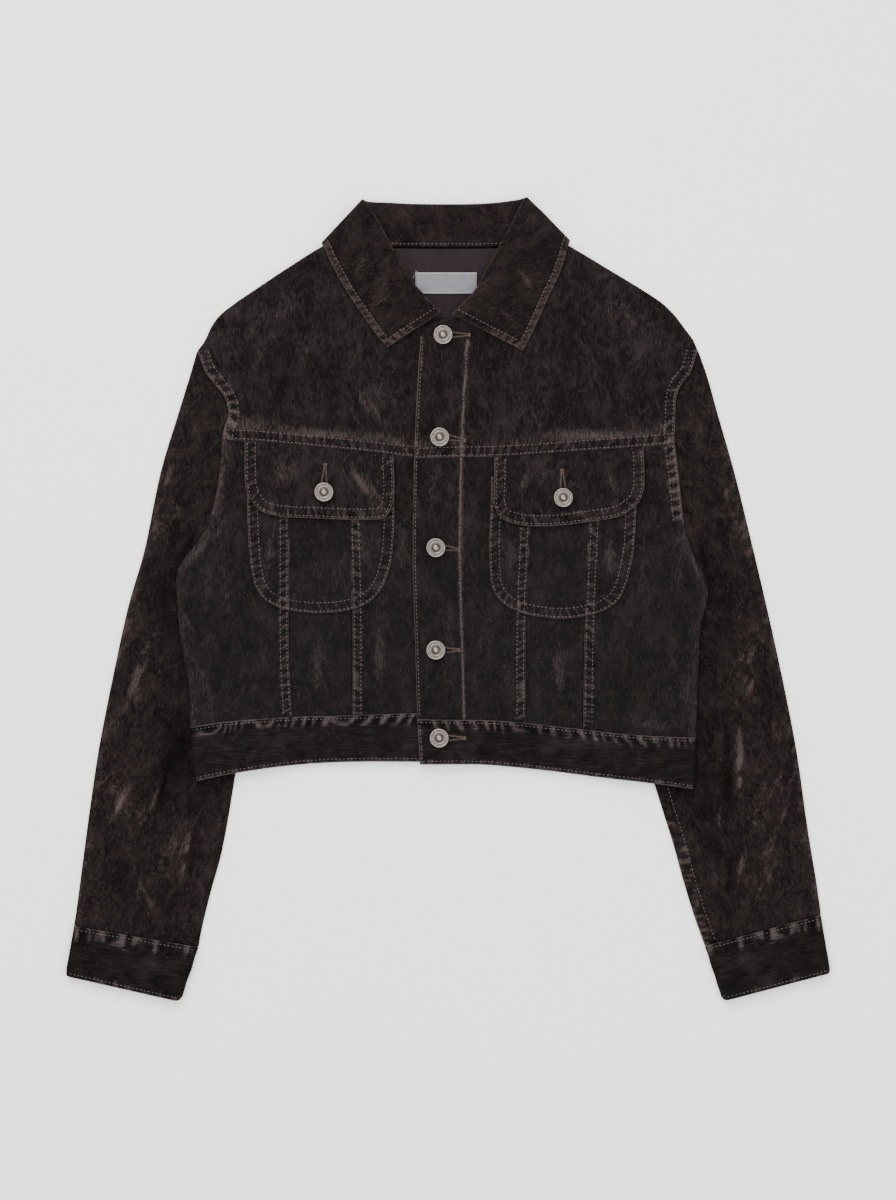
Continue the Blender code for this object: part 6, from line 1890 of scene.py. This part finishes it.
def make_stage(settings):
    """A pale floor, a camera straight above it and soft studio light."""
    mesh = bpy.data.meshes.new("floor")
    spots = np.linspace(-FLOOR_HALF, FLOOR_HALF, FLOOR_STEPS + 1)
    points = [(x, y, FLOOR_LEVEL * MM) for x in spots for y in spots]
    row = FLOOR_STEPS + 1
    corners = [i * row + j for i in range(FLOOR_STEPS) for j in range(FLOOR_STEPS)]
    mesh.from_pydata(points, [], [(k, k + row, k + row + 1, k + 1) for k in corners])
    mesh.update()
    mesh.materials.append(
        matt("Background paper, matt", hex_colour("#f8f8f8"), hex_colour("#fcfcfc"), 0.33, 0.9)
    )
    add_object("floor", mesh)

    camera_data = bpy.data.cameras.new("camera")
    camera_data.sensor_fit = "VERTICAL"
    camera_data.sensor_height = 36.0
    camera_data.lens = 200.0
    camera_data.clip_end = 20.0
    camera = add_object("camera", camera_data)
    camera.location = CAMERA_PLACE
    bpy.context.scene.camera = camera

    for name, size_m, power, place in (
        ("key", 1.6, settings.key_power, (-0.7, 1.9, 1.7)),
        ("fill", 2.2, settings.fill_power, (1.3, -1.1, 2.2)),
        ("top", 2.4, settings.top_power, (0.0, 0.1, 2.9)),
    ):
        light_data = bpy.data.lights.new(name, "AREA")
        light_data.shape = "SQUARE"
        light_data.size = size_m
        light_data.energy = power
        light = add_object(name, light_data)
        light.location = place
        light.rotation_euler = (-Vector(place)).to_track_quat("-Z", "Y").to_euler()
    world = bpy.data.worlds.new("studio")
    world.use_nodes = True
    background = world.node_tree.nodes["Background"]
    background.inputs["Color"].default_value = hex_colour("#ffffff")
    background.inputs["Strength"].default_value = settings.world_strength
    bpy.context.scene.world = world


# ---- stitching, buttons and buttonholes ----


def surface_trees():
    """A ray-cast tree for every cloth piece, by name."""
    trees = {}
    for name in SURFACES:
        mesh = bpy.data.objects[name].data
        points = np.empty(len(mesh.vertices) * 3)
        mesh.vertices.foreach_get("co", points)
        faces = np.empty(len(mesh.polygons) * 4, dtype=np.int32)
        mesh.loops.foreach_get("vertex_index", faces)
        points = points.reshape(-1, 3) / MM
        trees[name] = BVHTree.FromPolygons(points.tolist(), faces.reshape(-1, 4).tolist())
    return trees


def height_over(tree, x, y):
    """Height of a piece's upper face at a point of the plan, or None."""
    hit = tree.ray_cast(Vector((x, y, 60.0)), Vector((0.0, 0.0, -1.0)))
    return None if hit[0] is None else hit[0].z


def dash(start, end, thick):
    """Points of one stitch: a short thread that dives into the cloth at both ends."""
    run = end - start
    run_unit = run / max(np.linalg.norm(run), 1e-9)
    side = np.cross(run_unit, (0.0, 0.0, 1.0))
    side /= max(np.linalg.norm(side), 1e-9)
    up = np.cross(side, run_unit)
    rings = []
    for share, size, lift in ((0.0, 0.45, -0.5), (0.2, 0.95, 0.25), (0.8, 0.95, 0.25),
                              (1.0, 0.45, -0.5)):
        centre = start + run * share + up * lift * thick
        for a, b in ((1.0, 0.0), (0.0, 0.8), (-1.0, 0.0), (0.0, -0.8)):
            rings.append(centre + (side * a + up * b) * size * thick / 2.0)
    return rings


DASH_FACES = [
    (4 * ring + k, 4 * ring + (k + 1) % 4, 4 * ring + 4 + (k + 1) % 4, 4 * ring + 4 + k)
    for ring in range(3) for k in range(4)
] + [(3, 2, 1, 0), (12, 13, 14, 15)]


def add_dashes(name, dashes, material):
    """One mesh of many stitches."""
    points = np.concatenate([np.array(points) for points in dashes])
    faces = np.array(DASH_FACES)[None] + np.arange(len(dashes))[:, None, None] * 16
    uv = points[:, :2]
    piece = add_mesh(name, points, faces.reshape(-1, 4), uv, {}, material)
    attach(piece, "root")
    return piece


def stitch_row(line, hosts, trees, settings, chance, dashes):
    """Stitches along a plan curve, where one of the hosts is the topmost cloth."""
    pitch, length, thick = settings
    total = along(line)[-1]
    for spot in np.arange(pitch * 0.6, total - pitch * 0.4, pitch):
        spot = spot + chance.uniform(-0.25, 0.25)
        (x0, y0), (x1, y1) = at(line, np.array([spot - length / 2.0, spot + length / 2.0]))
        middle = ((x0 + x1) / 2.0, (y0 + y1) / 2.0)
        levels = {name: height_over(tree, *middle) for name, tree in trees.items()}
        host = max(levels, key=lambda name: -1.0 if levels[name] is None else levels[name])
        if host not in hosts:
            continue
        ends = [height_over(trees[host], *point) for point in ((x0, y0), (x1, y1))]
        if None in ends:
            continue
        off = chance.uniform(-0.12, 0.12, 2)
        start = np.array([x0 + off[0], y0 + off[1], ends[0]])
        end = np.array([x1 + off[1], y1 - off[0], ends[1]])
        dashes.append(dash(start, end, thick))


def seam_rows(side):
    """Every visible row of stitches of one side: its plan curve and the pieces that carry it."""
    lines = OUTLINES[side["name"]]
    name, sign = side["name"], side["sign"]
    yoke, pocket_name, band = "yoke_" + name, "patch_pocket_" + name, "hem_band_" + name
    rows = []

    def add(line, amounts, target, *hosts):
        rows.extend((beside(line, amount, target), hosts) for amount in amounts)

    add(lines["yoke_seam"], YOKE_ROWS, (sign * 100.0, 400.0), yoke)
    add(lines["armhole"], ARMHOLE_ROWS, (0.0, 230.0), yoke)
    for amount in LAP_ROWS:
        for seam, towards in laps(side):
            line = beside(seam, amount, (seam[0, 0] + towards * 60.0, 20.0))
            panel = ("side_panel_" if towards == sign else "center_panel_") + name
            rows.append((upright(line, *LAP_ROW_SPAN, 90), (panel, pocket_name)))
    pocket = round_border(lines["pocket_left"], lines["pocket_bottom"], lines["pocket_right"])
    add(pocket, POCKET_ROWS, (np.mean(pocket[:, 0]), 60.0), pocket_name)
    flap = round_border(lines["flap_left"], lines["flap_bottom"], lines["flap_right"])
    add(flap, FLAP_ROWS, (np.mean(flap[:, 0]), 110.0), "flap_" + name)
    add(lines["waist"], (WAIST_ROW,), (sign * 100.0, -400.0), band)
    add(lines["hem"], (HEM_ROW,), (sign * 100.0, 20.0), band)
    if side is LEFT:
        hosts = (yoke, "center_panel_left", band)
        add(lines["front_edge"], (FRONT_ROW,), INTO_LEFT, *hosts)
        add(lines["front_edge"], (FACING_ROW,), INTO_LEFT, *hosts[:2])
        edge = upright(lines["side"], *SIDE_ROW_SPAN)
        add(edge, ARMHOLE_ROWS, (0.0, 100.0), "side_panel_left")
        seam = upright(lines["sleeve_fold"], *SLEEVE_ROW_SPAN)
        add(seam, (SLEEVE_ROW,), (400.0, -200.0), "sleeve_upper_left")
    top_outer, top_inner, low_outer, low_inner = (np.array(point) for point in side["cuff"])
    down = (low_outer - top_outer) / np.linalg.norm(low_outer - top_outer)
    for start, end, amount in (
        (top_outer, top_inner, CUFF_ROWS[0]), (low_outer, low_inner, -CUFF_ROWS[1]),
    ):
        into = (end - start) / np.linalg.norm(end - start)
        line = np.array([start + into * 2.5, end - into * 2.5]) + down * amount
        rows.append((line, ("cuff_band_" + name,)))
    return rows


def collar_rows(settings, chance, dashes):
    """The stitches on the collar: inside its border and along the stand's seam."""
    face = SURFACES["turned_down_collar"]
    from_edge, from_seam, front = (COLLAR_LINES[key] for key in ("edge", "seam", "front"))

    def where(amount, runs, rows):
        """The 3-D line through the points of these rows where their distance has this amount."""
        return np.array([
            [np.interp(amount, run, points[:, axis]) for axis in range(3)]
            for run, points in zip(runs, rows)
        ])

    border = where(COLLAR_ROW, from_edge[:, ::-1], face[:, ::-1])
    keep = (front[:, -1] > COLLAR_ROW) & (border[:, 2] > WING_LEVEL)
    half = len(border) // 2
    lines = [border[part][keep[part]] for part in (slice(0, half), slice(half, None))]
    stand = where(STAND_ROW, from_seam, face)
    reach, low_y, high_z = STAND_SHOWN
    shows = (stand[:, 1] > low_y) & (stand[:, 2] < high_z) & (np.abs(stand[:, 0]) < reach)
    lines.append(stand[shows])
    fall = slice(face.shape[1] - FALL_COLUMNS, None)
    for end in (0, -1):  # the two front ends
        inwards = slice(None, None, -1 if end else 1)
        runs = front[inwards, fall][: len(front) // 2].T
        line = where(COLLAR_ROW, runs, face[inwards, fall][: len(face) // 2].swapaxes(0, 1))
        lines.append(line[from_edge[end, fall] > COLLAR_ROW])
    pitch, length, thick = settings
    for line in lines:
        if len(line) < 2:
            continue
        total = along(line)[-1]
        for spot in np.arange(pitch * 0.6, total - pitch * 0.4, pitch):
            start, end = at(line, np.array([spot - length / 2.0, spot + length / 2.0]))
            lift = np.array([0.0, 0.0, 0.15])
            shift = np.array([*chance.uniform(-0.12, 0.12, 2), 0.0])
            dashes.append(dash(start + lift + shift, end + lift + shift, thick))


def make_stitching(trees):
    """All the visible top-stitching as a few meshes."""
    made = jacket()
    settings = (made.stitch_pitch / MM, made.stitch_length / MM, made.thread_width / MM)
    chance = np.random.default_rng(7)
    thread = sewing_thread("Sewing thread, polyester", jacket().thread_colour)
    for side in SIDES:
        dashes = []
        for line, hosts in seam_rows(side):
            stitch_row(line, hosts, trees, settings, chance, dashes)
        add_dashes("stitching_" + side["name"], dashes, thread)
    dashes = []
    collar_rows(settings, chance, dashes)
    label_x, label_y = LABEL["x"], LABEL["y"]
    for x in (label_x[0] + 1.3, label_x[1] - 1.3):
        line = np.array([(x, label_y[0] + 0.5), (x, label_y[1] - 0.5)])
        stitch_row(line, ("woven_label",), trees, (2.4, 1.5, 0.45), chance, dashes)
    add_dashes("stitching_collar", dashes, thread)


def add_button(name, node, x, y, level, radius, material):
    """A pressed metal button: rim, a ring of generic ticks, a recess and a dome."""
    profile = np.array(BUTTON_FACE) * np.array([radius / BUTTON_RADIUS, 1.0, 1.0])
    angles = np.linspace(0.0, 2.0 * math.pi, BUTTON_TURNS, endpoint=False)
    points, polish = [], []
    for ring_radius, height, bright in profile:
        tick = np.zeros(BUTTON_TURNS)
        if TICKS[0] < ring_radius < TICKS[1]:
            tick = smooth(1.6 * np.cos(angles * 30.0) + 0.3)
        polish.append(np.clip(bright + 0.8 * tick, 0.0, 1.0))
        points.append(np.stack([
            ring_radius * np.cos(angles), ring_radius * np.sin(angles), height + 0.24 * tick
        ], -1))
    low = np.arange((len(profile) - 1) * BUTTON_TURNS).reshape(-1, BUTTON_TURNS)
    after = np.roll(low, -1, axis=1)
    faces = np.stack([low + BUTTON_TURNS, after + BUTTON_TURNS, after, low], -1).reshape(-1, 4)
    points = np.concatenate(points) + np.array([x, y, level])
    piece = add_mesh(name, points, faces, points[:, :2] - np.array([x, y]),
                     {"wear_and_highlight": np.ravel(polish)}, material)
    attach(piece, "root")
    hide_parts(node)
    return piece


def make_buttons(radius):
    """The five front buttons and the two on the flaps, each where its solid is."""
    metal = worn_metal()
    nodes = [f"button_{number}" for number in range(1, 6)]
    nodes += ["flap_button_" + side["name"] for side in SIDES]
    for node in nodes:
        low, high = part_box(node)
        x, y = (low[0] + high[0]) / 2.0 / MM, (low[1] + high[1]) / 2.0 / MM
        add_button("shank_" + node, node, x, y, high[2] / MM - BUTTON_TOP, radius, metal)


def make_buttonholes(trees):
    """Worked buttonholes: a bar tack and two lines of dense thread by a dark slit."""
    chance = np.random.default_rng(11)
    holes = [
        (np.array([x + BUTTONHOLE_START, y]), np.array([x + reach, y - drop]))
        for (x, y), (reach, drop) in zip(BUTTONS, BUTTONHOLE_ENDS)
    ]
    for side in SIDES:
        x, y = side["flap_button"]
        tack = np.array([x - 1.2 * side["sign"], y + FLAP_HOLE_END])
        holes.append((np.array([x, y + BUTTONHOLE_START]), tack))
    hosts = [name for name in trees if name.split("_")[0] in ("yoke", "center", "flap", "hem")]
    dashes = []
    for start, tack in holes:
        length = np.linalg.norm(tack - start)
        ahead = (tack - start) / length
        side = np.array([-ahead[1], ahead[0]])
        for spot in np.arange(0.0, length, HOLE_PITCH):
            spread = 0.2 + 2.0 * (1.0 - spot / length) ** 1.3
            for sign in (-1.0, 1.0):
                centre = start + ahead * spot + side * sign * (spread + 0.45)
                width = 0.9 + chance.uniform(-0.15, 0.15)
                ends = (centre - side * width, centre + side * width)
                add_thread(ends, hosts, trees, HOLE_THREAD, dashes)
        for off in np.arange(-1.6, 1.7, 0.5):
            centre = tack + side * off
            ends = (centre - ahead * 1.3, centre + ahead * 1.0)
            add_thread(ends, hosts, trees, HOLE_THREAD, dashes)
    thread = sewing_thread("Buttonhole thread, silk twist", jacket().buttonhole_colour)
    add_dashes("buttonhole_thread", dashes, thread)
    points, faces = [], []
    for start, tack in holes:
        first = len(points)
        ahead = (tack - start) / np.linalg.norm(tack - start)
        side = np.array([-ahead[1], ahead[0]])
        for share in np.linspace(0.0, 1.0, SLIT_STEPS + 1):
            spot = start + (tack - start) * share
            half = 0.25 + 1.6 * (1.0 - share) ** 1.3
            level = max(filter(None, (height_over(trees[name], *spot) for name in trees)),
                        default=0.0)
            points += [(*(spot + side * half * sign), level + 0.12) for sign in (-1.0, 1.0)]
        for a in range(first, first + 2 * SLIT_STEPS, 2):
            faces.append((a, a + 1, a + 3, a + 2))
    points = np.array(points)
    # The shadow between a buttonhole's edges, where the pile of the layer below is seen
    shadow = matt("Velvet in a buttonhole, dark", hex_colour("#060404"), hex_colour("#100c0c"),
                  0.0011, 0.95)
    piece = add_mesh("buttonhole_slits", points, faces, points[:, :2], {}, shadow)
    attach(piece, "root")


def add_thread(ends, hosts, trees, thick, dashes):
    """One short thread laid over the topmost host."""
    points = []
    for point in ends:
        found = [height_over(trees[name], *point) for name in hosts]
        found = [level for level in found if level is not None]
        if not found:
            return
        points.append(np.array([*point, max(found) + 0.12]))
    dashes.append(dash(*points, thick))


def make_loose_thread(trees):
    """The small pale loop of thread at the label's corner."""
    curve = bpy.data.curves.new("label_loop", "CURVE")
    curve.dimensions = "3D"
    curve.bevel_depth = 0.15 * MM
    curve.bevel_resolution = 2
    path = curve.splines.new("BEZIER")
    path.bezier_points.add(len(LABEL_LOOP) - 1)
    for point, (x, y, up) in zip(path.bezier_points, LABEL_LOOP):
        found = [height_over(tree, x, y) for tree in trees.values()]
        level = max(height for height in found if height is not None)
        point.co = (x * MM, y * MM, (level + up) * MM)
        point.handle_left_type = point.handle_right_type = "AUTO"
    curve.materials.append(sewing_thread("Label thread, cotton", hex_colour("#9a948e")[:3]))
    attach(add_object("label_loop", curve), "root")


# ---- add-on ----


def colour_setting(name, description, code):
    """A colour property."""
    return bpy.props.FloatVectorProperty(
        name=name, description=description, subtype="COLOR", size=3, min=0.0, max=1.0,
        default=hex_colour(code)[:3],
    )


def number_setting(name, description, default, **extra):
    """A number property, with its unit or limits."""
    return bpy.props.FloatProperty(name=name, description=description, default=default, **extra)


class JacketSettings(bpy.types.PropertyGroup):
    """Sizes and lights that a user would change."""

    stitch_pitch: number_setting(
        "Stitch pitch", "Distance from one stitch to the next", 3.6 * MM, unit="LENGTH"
    )
    stitch_length: number_setting(
        "Stitch length", "Length of thread that shows in one stitch", 2.2 * MM, unit="LENGTH"
    )
    thread_width: number_setting(
        "Thread width", "Thickness of the top-stitching thread", 0.62 * MM, unit="LENGTH"
    )
    button_radius: number_setting(
        "Button radius", "Radius of the metal buttons", BUTTON_RADIUS * MM, unit="LENGTH"
    )
    key_power: number_setting(
        "Key light", "Power of the soft light beyond the collar", 75.0, unit="POWER"
    )
    fill_power: number_setting(
        "Fill light", "Power of the light beside the hem", 22.0, unit="POWER"
    )
    top_power: number_setting("Top light", "Power of the broad light overhead", 20.0, unit="POWER")
    deep_pile: colour_setting("Standing pile", "Velvet that points away", "#0a0808")
    leaning_pile: colour_setting("Leaning pile", "Velvet laid over", "#1a1616")
    worn_pile: colour_setting("Worn pile", "Velvet rubbed thin", "#463d3c")
    thread_colour: colour_setting("Thread", "Top-stitching thread", "#5f5452")
    buttonhole_colour: colour_setting("Buttonhole thread", "Silk twist", "#4f423a")
    metal_colour: colour_setting("Metal", "Plating where it is bright", "#968d87")
    lining_colour: colour_setting("Lining", "Satin inside the neck", "#221b1e")
    label_colour: colour_setting("Label", "The blank woven label", "#646368")
    world_strength: number_setting("Surroundings", "Brightness of the white room", 1.6, min=0.0)


def jacket():
    """The scene's jacket settings."""
    return bpy.context.scene.jacket


class JACKET_OT_back(bpy.types.Operator):
    """Make the back panel and the back's hem band."""

    bl_idname = "jacket.back"
    bl_label = "Back"

    def execute(self, context):
        make_back()
        return {"FINISHED"}


class JACKET_OT_neck(bpy.types.Operator):
    """Make the satin lining and the blank label inside the back neck."""

    bl_idname = "jacket.neck"
    bl_label = "Neck lining and label"

    def execute(self, context):
        make_neck()
        return {"FINISHED"}


class JACKET_OT_fronts(bpy.types.Operator):
    """Make the yokes and the panels of both fronts."""

    bl_idname = "jacket.fronts"
    bl_label = "Fronts"

    def execute(self, context):
        make_fronts()
        return {"FINISHED"}


class JACKET_OT_pockets(bpy.types.Operator):
    """Make the patch pockets and their flaps."""

    bl_idname = "jacket.pockets"
    bl_label = "Pockets and flaps"

    def execute(self, context):
        make_pockets()
        return {"FINISHED"}


class JACKET_OT_waistbands(bpy.types.Operator):
    """Make the front hem bands."""

    bl_idname = "jacket.waistbands"
    bl_label = "Hem bands"

    def execute(self, context):
        make_waistbands()
        return {"FINISHED"}


class JACKET_OT_sleeves(bpy.types.Operator):
    """Make the upper and the under sleeves."""

    bl_idname = "jacket.sleeves"
    bl_label = "Sleeves"

    def execute(self, context):
        make_sleeves()
        return {"FINISHED"}


class JACKET_OT_cuffs(bpy.types.Operator):
    """Make the closed cuff bands."""

    bl_idname = "jacket.cuffs"
    bl_label = "Cuffs"

    def execute(self, context):
        make_cuffs()
        return {"FINISHED"}


class JACKET_OT_collar(bpy.types.Operator):
    """Make the turned-down collar."""

    bl_idname = "jacket.collar"
    bl_label = "Collar"

    def execute(self, context):
        make_collar()
        return {"FINISHED"}


class JACKET_OT_buttons(bpy.types.Operator):
    """Make the seven metal buttons."""

    bl_idname = "jacket.buttons"
    bl_label = "Buttons"

    def execute(self, context):
        make_buttons(jacket().button_radius / MM)
        return {"FINISHED"}


class JACKET_OT_stitching(bpy.types.Operator):
    """Sew the top-stitching, the worked buttonholes and the label's loose thread."""

    bl_idname = "jacket.stitching"
    bl_label = "Stitching and buttonholes"

    def execute(self, context):
        trees = surface_trees()
        make_stitching(trees)
        make_buttonholes(trees)
        make_loose_thread(trees)
        return {"FINISHED"}


class JACKET_OT_stage(bpy.types.Operator):
    """Make the floor, the camera and the lights."""

    bl_idname = "jacket.stage"
    bl_label = "Stage"

    def execute(self, context):
        make_stage(jacket())
        return {"FINISHED"}


STEPS = (
    JACKET_OT_stage, JACKET_OT_back, JACKET_OT_neck, JACKET_OT_fronts, JACKET_OT_pockets,
    JACKET_OT_waistbands, JACKET_OT_sleeves, JACKET_OT_cuffs, JACKET_OT_collar,
    JACKET_OT_buttons, JACKET_OT_stitching,
)


class JACKET_PT_panel(bpy.types.Panel):
    """The jacket's settings and steps."""

    bl_label = "Velvet jacket"
    bl_idname = "JACKET_PT_panel"
    bl_space_type = "VIEW_3D"
    bl_region_type = "UI"
    bl_category = "Jacket"

    def draw(self, context):
        for name in JacketSettings.__annotations__:
            self.layout.prop(context.scene.jacket, name)
        for step in STEPS:
            self.layout.operator(step.bl_idname)


def register():
    """Register the settings, the operators and the panel."""
    bpy.utils.register_class(JacketSettings)
    for step in (*STEPS, JACKET_PT_panel):
        bpy.utils.register_class(step)
    bpy.types.Scene.jacket = bpy.props.PointerProperty(type=JacketSettings)


def unregister():
    """Take them out again."""
    del bpy.types.Scene.jacket
    for step in (JACKET_PT_panel, *reversed(STEPS)):
        bpy.utils.unregister_class(step)
    bpy.utils.unregister_class(JacketSettings)


def main():
    """Make the whole scene."""
    register()
    bpy.ops.jacket.stage()
    bpy.ops.jacket.back()
    bpy.ops.jacket.neck()
    bpy.ops.jacket.sleeves()
    bpy.ops.jacket.cuffs()
    bpy.ops.jacket.fronts()
    bpy.ops.jacket.pockets()
    bpy.ops.jacket.waistbands()
    bpy.ops.jacket.collar()
    bpy.ops.jacket.buttons()
    bpy.ops.jacket.stitching()


if __name__ == "__main__":
    main()
